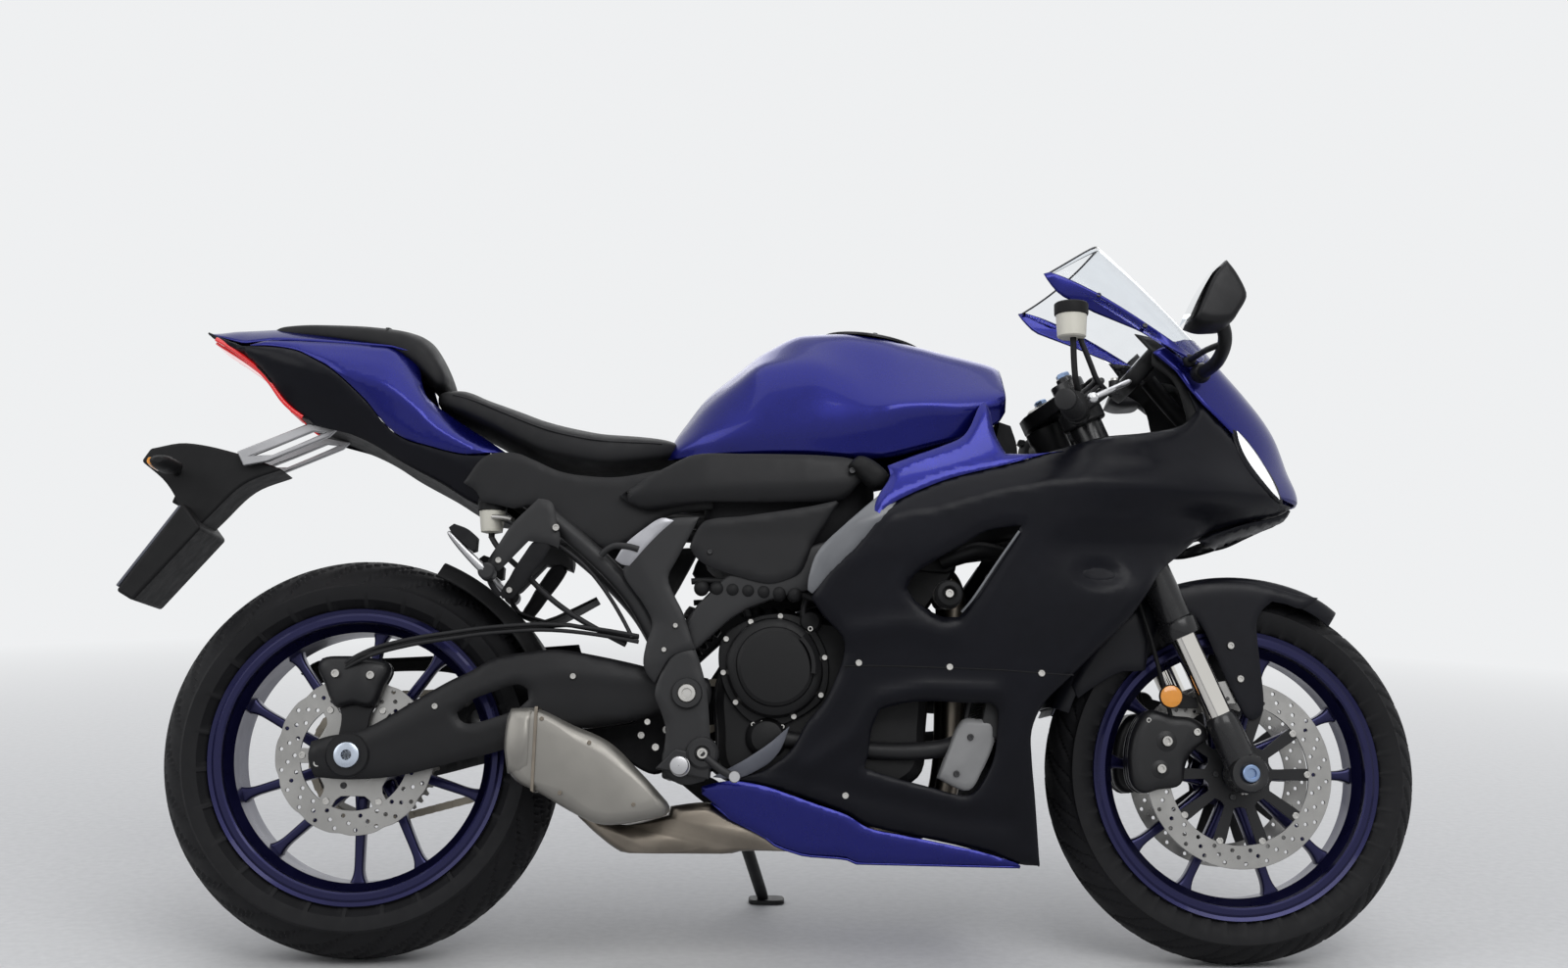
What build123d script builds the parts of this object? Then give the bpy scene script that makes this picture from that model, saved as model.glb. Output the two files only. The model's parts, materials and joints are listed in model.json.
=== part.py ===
"""Sport motorcycle, parked on its side stand.

Every piece is modelled upright: X runs forward, Y to the rider's left, Z up, in millimetres, with the
rear tyre's lowest point below the rear axle at the origin.  The last section leans the whole machine
over to its left about the line through the tyres and moves it so that the origin is at the middle of
its footprint.
"""
import os
from math import cos, radians, sin, tan

from build123d import *

# ---------------------------------------------------------------- driving sizes
LEAN = 11.0              # lean on the side stand, degrees
WHEELBASE = 1395.0
RAKE = 23.7              # steering axis from vertical, degrees
FORK_OFFSET = 38.6       # fork legs ahead of the steering axis

# wheels and tyres
REAR_TYRE_R = 315.0
REAR_CROWN_R = 95.0
REAR_TYRE_HALF = 90.0
FRONT_TYRE_R = 300.0
FRONT_CROWN_R = 60.0
FRONT_TYRE_HALF = 60.0
REAR_SIDEWALL = 97.0     # tread crown to bead
FRONT_SIDEWALL = 82.0
TYRE_SIDE = 46.0         # bead to the shoulder
FLANGE_LIP = 13.0        # rim flange above the bead
FLANGE_T = 6.0
RIM_WALL = 10.0
REAR_SEAT_HALF = 70.0
FRONT_SEAT_HALF = 45.0
REAR_HUB_R = 62.0
FRONT_HUB_R = 50.0
FRONT_HUB_WAIST_R = 34.0
AXLE_FIT = 0.4
REAR_AXLE_R = 12.5
FRONT_AXLE_R = 12.5
AXLE_BORE_R = 7.0
RIM_PAIR_GAP = 30.0      # angle between the two spokes of a pair, at the rim
SPOKE_SKEW = 17.0        # how far the second spoke's foot leads round the hub
REAR_SPOKE_START = 270.0
FRONT_SPOKE_START = 288.0

# brakes and final drive
REAR_DISC_R = 122.5
REAR_DISC_Y = 83.5
FRONT_DISC_R = 149.0
FRONT_DISC_Y = 59.5
DISC_T = 5.0
DISC_GAP = 5.0           # caliper slot to disc face
SPROCKET_TEETH = 43
SPROCKET_R = 106.0
SPROCKET_Y = 101.0
SPROCKET_T = 6.0
CHAIN_GAP = 5.5          # tooth tips to the inside of the chain
CHAIN_H = 14.0
CHAIN_W = 16.0
DRIVE_SPROCKET_R = 36.0
DRIVE_X = 580.0
DRIVE_Z = 415.0

# fork and steering
FORK_Y = 105.0
FORK_TUBE_R = 27.0
SLIDER_R = 20.5
FOOT_R = 26.0
FOOT_TOP = 100.0         # distances along the fork from the axle
SLIDER_TOP = 236.0
FORK_TOP = 682.0
LOWER_CLAMP = 398.0
LOWER_CLAMP_T = 34.0
UPPER_CLAMP = 643.0
UPPER_CLAMP_T = 24.0
STEM_R = 14.0
HEAD_R = 32.0
HEAD_FIT = 0.5
HEAD_GAP = 6.0
BAR_AT = 606.0
BAR_RING_T = 30.0
BAR_R = 11.0
GRIP_R = 16.5
GRIP_L = 125.0
BAR_END_Y = 338.0
BAR_BACK = 70.4          # bar end behind and below its root on the fork
BAR_DROP = 21.7

# swingarm and pivot
PIVOT_X = 515.0
PIVOT_Z = 413.0
ARM_IN = 118.0
ARM_OUT = 150.0
PIVOT_TUBE_R = 28.0
PIVOT_SHAFT_R = 12.0
PLATE_IN = 154.0         # frame plates, either side of the arm
PLATE_OUT = 172.0

# panels
PANEL_T = 4.0            # fairing and cowl moulding
SCREEN_T = 3.0

# side stand
STAND_PIVOT = (588.0, 164.0, 258.0)
STAND_FOOT = (650.0, 386.0)      # where the foot meets the floor: X, and Y once leaned
STAND_TILT = 46.5                # pivot bolt, from the Y axis towards Z, degrees
STAND_LEG_R = 11.0
STAND_EYE_R = 17.0
STAND_EYE_T = 24.0
STAND_PIN_R = 6.0
STAND_FIT = 0.4

# ---------------------------------------------------------------- derived places
lean = radians(LEAN)
rake = radians(RAKE)
rear_axle_z = REAR_TYRE_R - REAR_CROWN_R + REAR_CROWN_R / cos(lean)
front_axle_z = FRONT_TYRE_R - FRONT_CROWN_R + FRONT_CROWN_R / cos(lean)
REAR_BEAD_R = REAR_TYRE_R - REAR_SIDEWALL
FRONT_BEAD_R = FRONT_TYRE_R - FRONT_SIDEWALL
REAR_AXLE = (0.0, 0.0, rear_axle_z)
FRONT_AXLE = (WHEELBASE, 0.0, front_axle_z)


def fork_plane(along, side=0.0, ahead=0.0):
    """Plane square to the fork: local x forward, local y left, z up the fork from the axle."""
    return Plane(
        origin=(
            WHEELBASE - along * sin(rake) + ahead * cos(rake),
            side,
            front_axle_z + along * cos(rake) + ahead * sin(rake),
        ),
        x_dir=(cos(rake), 0, sin(rake)),
        z_dir=(-sin(rake), 0, cos(rake)),
    )


def slab(outline, near, far):
    """Side-view outline, points (x, z), solid between two distances right of the mid plane."""
    with BuildPart() as piece:
        with BuildSketch(Plane.XZ.offset(near)):
            Polygon(*outline)
        extrude(amount=far - near)
    return piece.part


def beside(place, outline):
    """Side-view outline given from a place (x, z)."""
    return [(place[0] + x, place[1] + z) for x, z in outline]


def strut(start, end, width):
    """Side-view outline of a straight bar between two points."""
    run = Vector(end[0] - start[0], end[1] - start[1])
    side = Vector(-run.Y, run.X).normalized() * (width / 2)
    corners = (
        Vector(*start) + side, Vector(*end) + side, Vector(*end) - side, Vector(*start) - side,
    )
    return [(p.X, p.Y) for p in corners]


def ruled_body(planes, outlines):
    """Solid through outlines of equally many corners, ruled between each and the next."""
    with BuildPart() as piece:
        for index in range(len(planes) - 1):
            for plane, outline in zip(planes[index:index + 2], outlines[index:index + 2]):
                with BuildSketch(plane):
                    Polygon(*outline)
            loft(ruled=True)
    return piece.part


def stations(rows):
    """Ruled body through cross-sections: x, then the half outline (y, z) from bottom to top."""
    return ruled_body(
        [Plane.YZ.offset(x) for x, half in rows],
        [half + [(-y, z) for y, z in reversed(half)] for x, half in rows],
    )


# ---------------------------------------------------------------- wheels
def tyre(radius, crown, half, bead_r, tread):
    """Solid tyre about the Y axis on the rim's flanges; its crown has corners at the tread's angles."""
    centre = radius - crown
    lower = [(bead_r + FLANGE_LIP, -half), (bead_r + TYRE_SIDE, -half)] + [
        (centre + crown * cos(radians(a)), -crown * sin(radians(a))) for a in tread
    ]
    upper = [(r, -y) for r, y in reversed(lower)]
    with BuildPart() as ring:
        with BuildSketch(Plane.XY):
            Polygon(*lower, *upper)
        revolve(axis=Axis.Y)
    return ring.part


def rim(bead_r, seat, hub_r, hub_in, hub_out, spoke_half, start, bore_r):
    """Barrel, ten spokes in five pairs and a hub, about the Y axis."""
    flange = seat + FLANGE_T
    flange_r = bead_r + FLANGE_LIP
    drop = bead_r - 12
    outer = [
        (flange_r, flange), (flange_r, seat), (bead_r, seat), (bead_r, seat - 14), (drop, seat - 22),
    ]
    inner = [(drop - RIM_WALL, seat - 24), (bead_r - RIM_WALL, flange)]
    right = [(r, -y) for r, y in reversed(outer)]
    right_in = [(r, -y) for r, y in reversed(inner)]
    spoke_end = drop - RIM_WALL / 2
    with BuildPart() as wheel:
        with BuildSketch(Plane.XY):
            Polygon(*outer, *right, *right_in, *inner)
        revolve(axis=Axis.Y)
        with BuildSketch(Plane.XZ.offset(-hub_out)):
            Circle(hub_r)
        extrude(amount=hub_out - hub_in)
        for pair in range(5):
            for turn, skew in ((0, 0), (RIM_PAIR_GAP, SPOKE_SKEW)):
                at_rim = radians(start + 72 * pair + turn)
                at_hub = at_rim + radians(skew)
                foot = Vector(cos(at_hub), sin(at_hub)) * (hub_r - 8)
                head = Vector(cos(at_rim), sin(at_rim)) * spoke_end
                run = head - foot
                neck = foot + run * 0.84
                side = Vector(-run.Y, run.X).normalized()
                with BuildSketch(Plane.XZ):
                    Polygon(
                        *[(p.X, p.Y) for p in (
                            foot + side * 11, neck + side * 6.5, head + side * 17,
                            head - side * 17, neck - side * 6.5, foot - side * 11,
                        )],
                    )
                extrude(amount=spoke_half, both=True)
        with BuildSketch(Plane.XZ):
            Circle(bore_r)
        extrude(amount=2 * flange, both=True, mode=Mode.SUBTRACT)
    return wheel.part


def disc(outer_r, inner_r, face_y, arms, arm_r):
    """Brake disc on the right: drilled ring, arms and a mounting ring; face_y is its inner face."""
    with BuildPart() as rotor:
        with BuildSketch(Plane.XZ.offset(face_y)):
            Circle(outer_r)
            Circle(inner_r, mode=Mode.SUBTRACT)
            with PolarLocations((inner_r + outer_r) / 2, 24):
                Circle(3.5, mode=Mode.SUBTRACT)
            with PolarLocations((inner_r + 3 * outer_r) / 4, 24, start_angle=7.5):
                Circle(3.5, mode=Mode.SUBTRACT)
            with PolarLocations((arm_r + inner_r) / 2, arms):
                Rectangle(inner_r - arm_r + 8, 16)
            Circle(arm_r)
            Circle(FRONT_AXLE_R + 14, mode=Mode.SUBTRACT)
        extrude(amount=DISC_T)
    return rotor.part


with BuildPart() as rear_tyre:
    with Locations(REAR_AXLE):
        add(tyre(REAR_TYRE_R, REAR_CROWN_R, REAR_TYRE_HALF, REAR_BEAD_R, (45, LEAN)))

with BuildPart() as front_tyre:
    with Locations(FRONT_AXLE):
        add(tyre(FRONT_TYRE_R, FRONT_CROWN_R, FRONT_TYRE_HALF, FRONT_BEAD_R, (LEAN,)))

with BuildPart() as rear_rim:
    with Locations(REAR_AXLE):
        add(rim(REAR_BEAD_R, REAR_SEAT_HALF, REAR_HUB_R, -REAR_DISC_Y, SPROCKET_Y, 14, REAR_SPOKE_START,
                REAR_AXLE_R + AXLE_FIT))

with BuildPart() as front_rim:
    with Locations(FRONT_AXLE):
        add(rim(FRONT_BEAD_R, FRONT_SEAT_HALF, FRONT_HUB_R, -FRONT_DISC_Y, FRONT_DISC_Y, 12,
                FRONT_SPOKE_START, FRONT_AXLE_R + AXLE_FIT))

with BuildPart() as rear_disc:
    with Locations(REAR_AXLE):
        add(disc(REAR_DISC_R, 82, REAR_DISC_Y, 5, REAR_HUB_R))

with BuildPart() as front_discs:
    with Locations(FRONT_AXLE):
        add(disc(FRONT_DISC_R, 112, FRONT_DISC_Y, 10, FRONT_HUB_R))
    mirror(about=Plane.XZ)

with BuildPart() as sprocket:
    with BuildSketch(Plane.XZ.offset(-SPROCKET_Y)):
        with Locations((0, rear_axle_z)):
            Circle(SPROCKET_R - 7)
            with PolarLocations(SPROCKET_R - 5, SPROCKET_TEETH):
                Rectangle(10, 5)
            with PolarLocations(76, 5):
                Circle(11, mode=Mode.SUBTRACT)
            Circle(FRONT_AXLE_R + 14, mode=Mode.SUBTRACT)
    extrude(amount=-SPROCKET_T)

# ---------------------------------------------------------------- axles
with BuildPart() as rear_axle:
    with BuildSketch(Plane.XZ.offset(-ARM_OUT - 24)):
        with Locations((0, rear_axle_z)):
            Circle(REAR_AXLE_R)
    extrude(amount=2 * (ARM_OUT + 24))
    with BuildSketch(Plane.XZ.offset(ARM_OUT)):
        with Locations((0, rear_axle_z)):
            Circle(21)
    extrude(amount=20)
    mirror(about=Plane.XZ)
    with BuildSketch(Plane.XZ):
        with Locations((0, rear_axle_z)):
            Circle(AXLE_BORE_R)
    extrude(amount=2 * ARM_OUT, both=True, mode=Mode.SUBTRACT)

with BuildPart() as front_axle:
    with BuildSketch(Plane.XZ.offset(-FORK_Y - 32)):
        with Locations((WHEELBASE, front_axle_z)):
            Circle(FRONT_AXLE_R)
            Circle(AXLE_BORE_R, mode=Mode.SUBTRACT)
    extrude(amount=2 * (FORK_Y + 32))

# ---------------------------------------------------------------- fork and steering
with BuildPart() as fork_sliders:
    with BuildSketch(fork_plane(0, -FORK_Y)):
        Circle(FOOT_R)
    extrude(amount=FOOT_TOP)
    with BuildSketch(Plane.XZ.offset(FORK_Y - FOOT_R - 1)):
        with Locations((WHEELBASE, front_axle_z)):
            Circle(FOOT_R + 5)
    extrude(amount=2 * FOOT_R + 2)
    with BuildSketch(fork_plane(FOOT_TOP, -FORK_Y)):
        Circle(SLIDER_R)
    extrude(amount=SLIDER_TOP - FOOT_TOP)
    with BuildSketch(Plane.XZ.offset(FORK_Y - 2 * FOOT_R)):
        with Locations((WHEELBASE, front_axle_z)):
            Circle(FRONT_AXLE_R)
    extrude(amount=4 * FOOT_R, mode=Mode.SUBTRACT)
    mirror(about=Plane.XZ)

with BuildPart() as fork_tubes:
    with BuildSketch(fork_plane(SLIDER_TOP, -FORK_Y)):
        Circle(FORK_TUBE_R)
    extrude(amount=FORK_TOP - SLIDER_TOP)
    with BuildSketch(fork_plane(SLIDER_TOP, -FORK_Y)):
        Circle(FORK_TUBE_R + 3)
    extrude(amount=26)
    mirror(about=Plane.XZ)

with BuildPart() as triple_clamps:
    for start, thick in ((LOWER_CLAMP, LOWER_CLAMP_T), (UPPER_CLAMP, UPPER_CLAMP_T)):
        with BuildSketch(fork_plane(start)):
            with Locations((0, FORK_Y), (0, -FORK_Y)):
                Circle(FORK_TUBE_R + 10)
            with Locations((-FORK_OFFSET, 0)):
                Circle(HEAD_R)
            make_hull()
        extrude(amount=thick)
    with BuildSketch(fork_plane(LOWER_CLAMP)):
        with Locations((-FORK_OFFSET, 0)):
            Circle(STEM_R)
    extrude(amount=UPPER_CLAMP + UPPER_CLAMP_T + 8 - LOWER_CLAMP)
    with BuildSketch(fork_plane(LOWER_CLAMP - 10)):
        with Locations((0, FORK_Y), (0, -FORK_Y)):
            Circle(FORK_TUBE_R)
    extrude(amount=FORK_TOP - LOWER_CLAMP + 20, mode=Mode.SUBTRACT)

bar_root = fork_plane(BAR_AT + BAR_RING_T / 2, -FORK_Y).origin
bar_end = Vector(bar_root.X - BAR_BACK, -BAR_END_Y, bar_root.Z - BAR_DROP)
bar_dir = (bar_end - bar_root).normalized()
bar_len = (bar_end - bar_root).length

with BuildPart() as clip_ons:
    with BuildSketch(Plane(origin=bar_root, z_dir=bar_dir)):
        Circle(BAR_R)
    extrude(amount=bar_len)
    with BuildSketch(fork_plane(BAR_AT, -FORK_Y)):
        Circle(FORK_TUBE_R + 9)
    extrude(amount=BAR_RING_T)
    with BuildSketch(fork_plane(BAR_AT - 10, -FORK_Y)):
        Circle(FORK_TUBE_R)
    extrude(amount=BAR_RING_T + 20, mode=Mode.SUBTRACT)
    mirror(about=Plane.XZ)

with BuildPart() as grips:
    with BuildSketch(Plane(origin=bar_end - bar_dir * GRIP_L, z_dir=bar_dir)):
        Circle(GRIP_R)
        Circle(BAR_R, mode=Mode.SUBTRACT)
    extrude(amount=GRIP_L - 8)
    mirror(about=Plane.XZ)

# ---------------------------------------------------------------- brakes
def caliper(face_y, inner_r, outer_r, from_angle, to_angle, reach_in, reach_out, disc_r):
    """Sector block astride a disc on the right, about the Y axis; angles from +X towards +Z."""
    half = (to_angle - from_angle) / 2
    middle = radians(from_angle + half)
    far = outer_r / cos(radians(half)) + 20
    wedge = [(0, 0)] + [
        (far * cos(middle + radians(a)), far * sin(middle + radians(a))) for a in (-half, 0, half)
    ]
    with BuildPart() as body:
        with BuildSketch(Plane.XZ.offset(reach_in)):
            Circle(outer_r)
            Circle(inner_r, mode=Mode.SUBTRACT)
            Polygon(*wedge, mode=Mode.INTERSECT)
        extrude(amount=reach_out - reach_in)
        with BuildSketch(Plane.XZ.offset(face_y - DISC_GAP)):
            Circle(disc_r + DISC_GAP)
        extrude(amount=DISC_T + 2 * DISC_GAP, mode=Mode.SUBTRACT)
    return body.part


with BuildPart() as front_calipers:
    with Locations(FRONT_AXLE):
        add(caliper(FRONT_DISC_Y, 96, 182, 146, 190, 34, 94, FRONT_DISC_R))
    mirror(about=Plane.XZ)
    # lugs to the fork feet
    for low, high in ((52, 72),):
        for side in (-1, 1):
            with BuildSketch(fork_plane(low, side * FORK_Y, -FOOT_R)):
                with Locations((-30, -side * 18)):
                    Rectangle(70, 14)
            extrude(amount=high - low)
    with BuildSketch(fork_plane(-20, -FORK_Y)):
        Circle(FOOT_R)
    extrude(amount=FOOT_TOP + 40, mode=Mode.SUBTRACT)
    with BuildSketch(fork_plane(-20, FORK_Y)):
        Circle(FOOT_R)
    extrude(amount=FOOT_TOP + 40, mode=Mode.SUBTRACT)

BRACKET_T = 10.0
BRACKET_IN = REAR_DISC_Y + DISC_T + DISC_GAP
with BuildPart() as rear_caliper:
    with Locations(REAR_AXLE):
        add(caliper(REAR_DISC_Y, 80, 150, 70, 112, 69, 126, REAR_DISC_R))
    with BuildSketch(Plane.XZ.offset(BRACKET_IN)):
        with Locations((0, rear_axle_z)):
            Circle(24)
            with Locations((0, 50)):
                Rectangle(30, 90)
            Circle(REAR_AXLE_R, mode=Mode.SUBTRACT)
    extrude(amount=BRACKET_T)
    with BuildSketch(Plane.XZ.offset(BRACKET_IN + BRACKET_T)):
        with Locations((0, rear_axle_z)):
            Circle(20)
            Circle(REAR_AXLE_R, mode=Mode.SUBTRACT)
    extrude(amount=ARM_IN - BRACKET_IN - BRACKET_T)

# ---------------------------------------------------------------- swingarm
ARM_SIDE = [
    (-56, rear_axle_z + 20), (8, rear_axle_z + 35), (40, rear_axle_z + 49), (99, 403), (179, 445),
    (219, 466), (316, 482), (420, 462), (PIVOT_X + 24, PIVOT_Z + 20), (PIVOT_X + 24, PIVOT_Z - 22),
    (420, 372), (320, 358), (244, 330), (164, 309), (104, rear_axle_z - 25), (63, rear_axle_z - 31),
    (-49, rear_axle_z - 34),
]
ARM_BRIDGE_GAP = 30.0    # tyre to the bridge between the arms
bridge_x = REAR_TYRE_R + ARM_BRIDGE_GAP
ARM_HOLE = [(165, 384), (189, 404), (252, 426), (271, 405), (255, 389), (182, 366)]
with BuildPart() as swingarm:
    add(slab(ARM_SIDE, ARM_IN, ARM_OUT))
    with BuildSketch(Plane.XZ.offset(ARM_IN)):
        Polygon(*ARM_HOLE)
    extrude(amount=ARM_OUT - ARM_IN, mode=Mode.SUBTRACT)
    mirror(about=Plane.XZ)
    add(slab([(bridge_x, 362), (440, 375), (440, 430), (bridge_x, 432)], -ARM_IN, ARM_IN))
    with BuildSketch(Plane.XZ.offset(-ARM_OUT)):
        with Locations((PIVOT_X, PIVOT_Z)):
            Circle(PIVOT_TUBE_R)
    extrude(amount=2 * ARM_OUT)
    with BuildSketch(Plane.XZ.offset(-ARM_OUT)):
        with Locations((PIVOT_X, PIVOT_Z)):
            Circle(PIVOT_SHAFT_R)
        with Locations((0, rear_axle_z)):
            Circle(REAR_AXLE_R)
    extrude(amount=2 * ARM_OUT, mode=Mode.SUBTRACT)

with BuildPart() as pivot_shaft:
    with BuildSketch(Plane.XZ.offset(-PLATE_OUT - 8)):
        with Locations((PIVOT_X, PIVOT_Z)):
            Circle(PIVOT_SHAFT_R)
    extrude(amount=2 * PLATE_OUT + 16)

HUGGER_GAP = 12.0
HUGGER_R = REAR_TYRE_R + HUGGER_GAP
HUGGER_HALF = 84.0
HUGGER_END = radians(21.5)       # its lower end round the axle, from X
hugger_end = (HUGGER_R * cos(HUGGER_END), rear_axle_z + HUGGER_R * sin(HUGGER_END))
with BuildPart() as rear_hugger:
    with BuildSketch(Plane.XZ.offset(-HUGGER_HALF)):
        with Locations((0, rear_axle_z)):
            Circle(HUGGER_R + PANEL_T)
            Circle(HUGGER_R, mode=Mode.SUBTRACT)
        Polygon((0, rear_axle_z), (1.2 * hugger_end[0], rear_axle_z + 1.2 * HUGGER_R * sin(HUGGER_END)),
                (1.36 * HUGGER_R, rear_axle_z + 243), (0.8 * HUGGER_R, rear_axle_z + 303),
                mode=Mode.INTERSECT)
    extrude(amount=2 * HUGGER_HALF)
    add(slab(beside(hugger_end, [(2, 0), (14, -5), (67, -5), (67, 3), (14, 15), (2, 5)]),
             -HUGGER_HALF, HUGGER_HALF))
    add(swingarm.part, mode=Mode.SUBTRACT)

with BuildPart() as drive_chain:
    with BuildSketch(Plane.XZ.offset(-SPROCKET_Y - SPROCKET_T / 2 - CHAIN_W / 2)):
        with Locations((0, rear_axle_z)):
            Circle(SPROCKET_R + CHAIN_GAP + CHAIN_H)
        with Locations((DRIVE_X, DRIVE_Z)):
            Circle(DRIVE_SPROCKET_R + CHAIN_H)
        make_hull()
    extrude(amount=CHAIN_W)
    with BuildSketch(Plane.XZ.offset(-SPROCKET_Y - SPROCKET_T / 2 - CHAIN_W / 2)):
        with Locations((0, rear_axle_z)):
            Circle(SPROCKET_R + CHAIN_GAP)
        with Locations((DRIVE_X, DRIVE_Z)):
            Circle(DRIVE_SPROCKET_R)
        make_hull()
    extrude(amount=CHAIN_W, mode=Mode.SUBTRACT)

GUARD_SIDE = [
    (-60, 456), (-40, 474), (102, 487), (330, 502), (330, 492), (102, 477), (-30, 464),
]
with BuildPart() as chain_guard:
    add(slab(GUARD_SIDE, -ARM_IN, 6 - SPROCKET_Y))
    add(slab([(179, 445), (219, 466), (300, 479), (330, 500), (240, 490), (170, 484)],
             -ARM_IN - 4, -ARM_IN))
    add(swingarm.part, mode=Mode.SUBTRACT)

with BuildPart() as rear_shock:
    with BuildSketch(Plane(origin=(452, 0, 432), z_dir=(0.62, 0, 0.78))):
        Circle(27)
    extrude(amount=170)

# ---------------------------------------------------------------- frame
head_low = fork_plane(LOWER_CLAMP + LOWER_CLAMP_T + HEAD_GAP, 0, -FORK_OFFSET)
head_len = UPPER_CLAMP - LOWER_CLAMP - LOWER_CLAMP_T - 2 * HEAD_GAP
head_mid = fork_plane(LOWER_CLAMP + LOWER_CLAMP_T + HEAD_GAP + head_len / 2, 0, -FORK_OFFSET).origin
PIVOT_PLATE = [
    (492, 478), (527, 483), (546, 421), (552, 290), (495, 281), (482, 311), (485, 364), (467, 411),
]
FRAME_COVER = [
    (414, 605), (462, 673), (488, 684), (531, 687), (485, 592), (508, 539), (527, 482), (488, 468),
    (467, 428), (448, 459), (460, 521), (428, 574),
]
BEAM_ROWS = [
    # x, middle y, half width, low z, high z
    (head_mid.X + 6, 22, 14, head_mid.Z - 70, head_mid.Z + 50),
    (960, 124, 16, 650, 745),
    (760, 163, 9, 590, 660),
    (600, 163, 9, 548, 620),
    (500, 163, 9, 450, 520),
]
with BuildPart() as main_frame:
    for x, mid_y, half, low, high in BEAM_ROWS:
        with BuildSketch(Plane.YZ.offset(x)):
            with Locations((-mid_y, (low + high) / 2)):
                Rectangle(2 * half, high - low)
    loft(ruled=True)
    add(slab(PIVOT_PLATE, PLATE_IN, PLATE_OUT))
    add(slab(FRAME_COVER, PLATE_IN, PLATE_OUT + 4))
    mirror(about=Plane.XZ)
    with BuildSketch(head_low):
        Circle(HEAD_R)
    extrude(amount=head_len)
    with BuildSketch(head_low):
        Circle(STEM_R + HEAD_FIT)
    extrude(amount=head_len, mode=Mode.SUBTRACT)
    add(slab([(480, 285), (500, 285), (500, 325), (480, 325)], -PLATE_OUT, PLATE_OUT))
    with BuildSketch(Plane.XZ.offset(-PLATE_OUT)):
        with Locations((PIVOT_X, PIVOT_Z)):
            Circle(PIVOT_SHAFT_R)
    extrude(amount=2 * PLATE_OUT, mode=Mode.SUBTRACT)

RAIL_END = (52, 850)
RAIL_KNEE = (290, 700)
with BuildPart() as subframe:
    add(slab(strut((470, 500), (296, 690), 30), PLATE_IN - 30, PLATE_IN))
    add(slab(strut((640, 690), (280, 700), 28), 66, 90))
    add(slab(strut(RAIL_KNEE, RAIL_END, 26), 66, 90))
    add(slab(strut((318, 690), (272, 700), 32), 66, PLATE_IN))
    mirror(about=Plane.XZ)
    for x, z in (RAIL_KNEE, (600, 691)):
        add(slab([(x - 10, z - 9), (x + 10, z - 9), (x + 10, z + 9), (x - 10, z + 9)], -70, 70))
    with BuildSketch(Plane.XZ.offset(-135)):
        with Locations((72, 838)):
            Rectangle(18, 18)
    extrude(amount=270)

# ---------------------------------------------------------------- engine
CASE = [
    (566, 300), (556, 420), (596, 515), (700, 545), (830, 510), (890, 430), (885, 300), (810, 250),
    (640, 250),
]
CASE_RIGHT = 128.0
CASE_LEFT = 118.0
with BuildPart() as crankcase:
    add(slab(CASE, -CASE_LEFT, CASE_RIGHT))
    with BuildSketch(Plane.XZ.offset(-CASE_LEFT)):
        with Locations((DRIVE_X, DRIVE_Z)):
            Rectangle(150, 160)
    extrude(amount=CASE_LEFT - 72, mode=Mode.SUBTRACT)

with BuildPart() as cylinder_block:
    add(slab([(735, 548), (860, 508), (940, 620), (905, 700), (800, 715), (750, 610)], -105, 105))
    add(crankcase.part, mode=Mode.SUBTRACT)

with BuildPart() as clutch_cover:
    for radius, near, far in ((84, CASE_RIGHT, 150), (70, 150, 176)):
        with BuildSketch(Plane.XZ.offset(near)):
            with Locations((650, 455)):
                Circle(radius)
        extrude(amount=far - near)

with BuildPart() as generator_cover:
    with BuildSketch(Plane.XZ.offset(-CASE_LEFT - 34)):
        with Locations((760, 400)):
            Circle(72)
    extrude(amount=34)

with BuildPart() as sprocket_cover:
    add(slab([(546, 352), (546, 440), (566, 478), (684, 478), (684, 352)], -CASE_LEFT - 12, -CASE_LEFT))

with BuildPart() as radiator:
    add(slab([(972, 350), (1002, 345), (1062, 640), (1032, 646)], -165, 165))

with BuildPart() as coolant_reservoir:
    add(slab([(942, 378), (966, 379), (966, 352), (951, 272), (903, 289)], 130, 166))

# ---------------------------------------------------------------- exhaust
HEADER_R = 19.0
BOX_SIDE = [(352, 232), (417, 176), (760, 176), (760, 232), (561, 245), (500, 258), (430, 262)]
with BuildPart() as exhaust_header:
    for side in (-1, 1):
        with BuildLine() as route:
            FilletPolyline(
                (880, 48 * side, 640), (942, 48 * side, 600), (940, 48 * side, 330),
                (900, 48 * side, 204), (760, 48 * side, 204), radius=[30, 60, 60],
            )
        with BuildSketch(Plane(origin=route.line @ 0, z_dir=route.line % 0)):
            Circle(HEADER_R)
        sweep(path=route.line)
    add(cylinder_block.part, mode=Mode.SUBTRACT)
    add(crankcase.part, mode=Mode.SUBTRACT)

with BuildPart() as exhaust_box:
    add(slab(BOX_SIDE, -100, 110))

MUFFLER_SIDE = [
    (268, 384), (292, 386), (399, 340), (448, 293), (492, 243), (488, 230), (420, 216), (389, 216),
    (355, 229), (254, 287), (251, 305),
]
with BuildPart() as muffler:
    add(slab(MUFFLER_SIDE, ARM_OUT + 7, 214))
    add(slab([(260, 296), (400, 296), (440, 290), (492, 243), (488, 230), (430, 232), (355, 232),
              (258, 286)], 111, ARM_OUT + 7))
    add(exhaust_box.part, mode=Mode.SUBTRACT)

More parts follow.
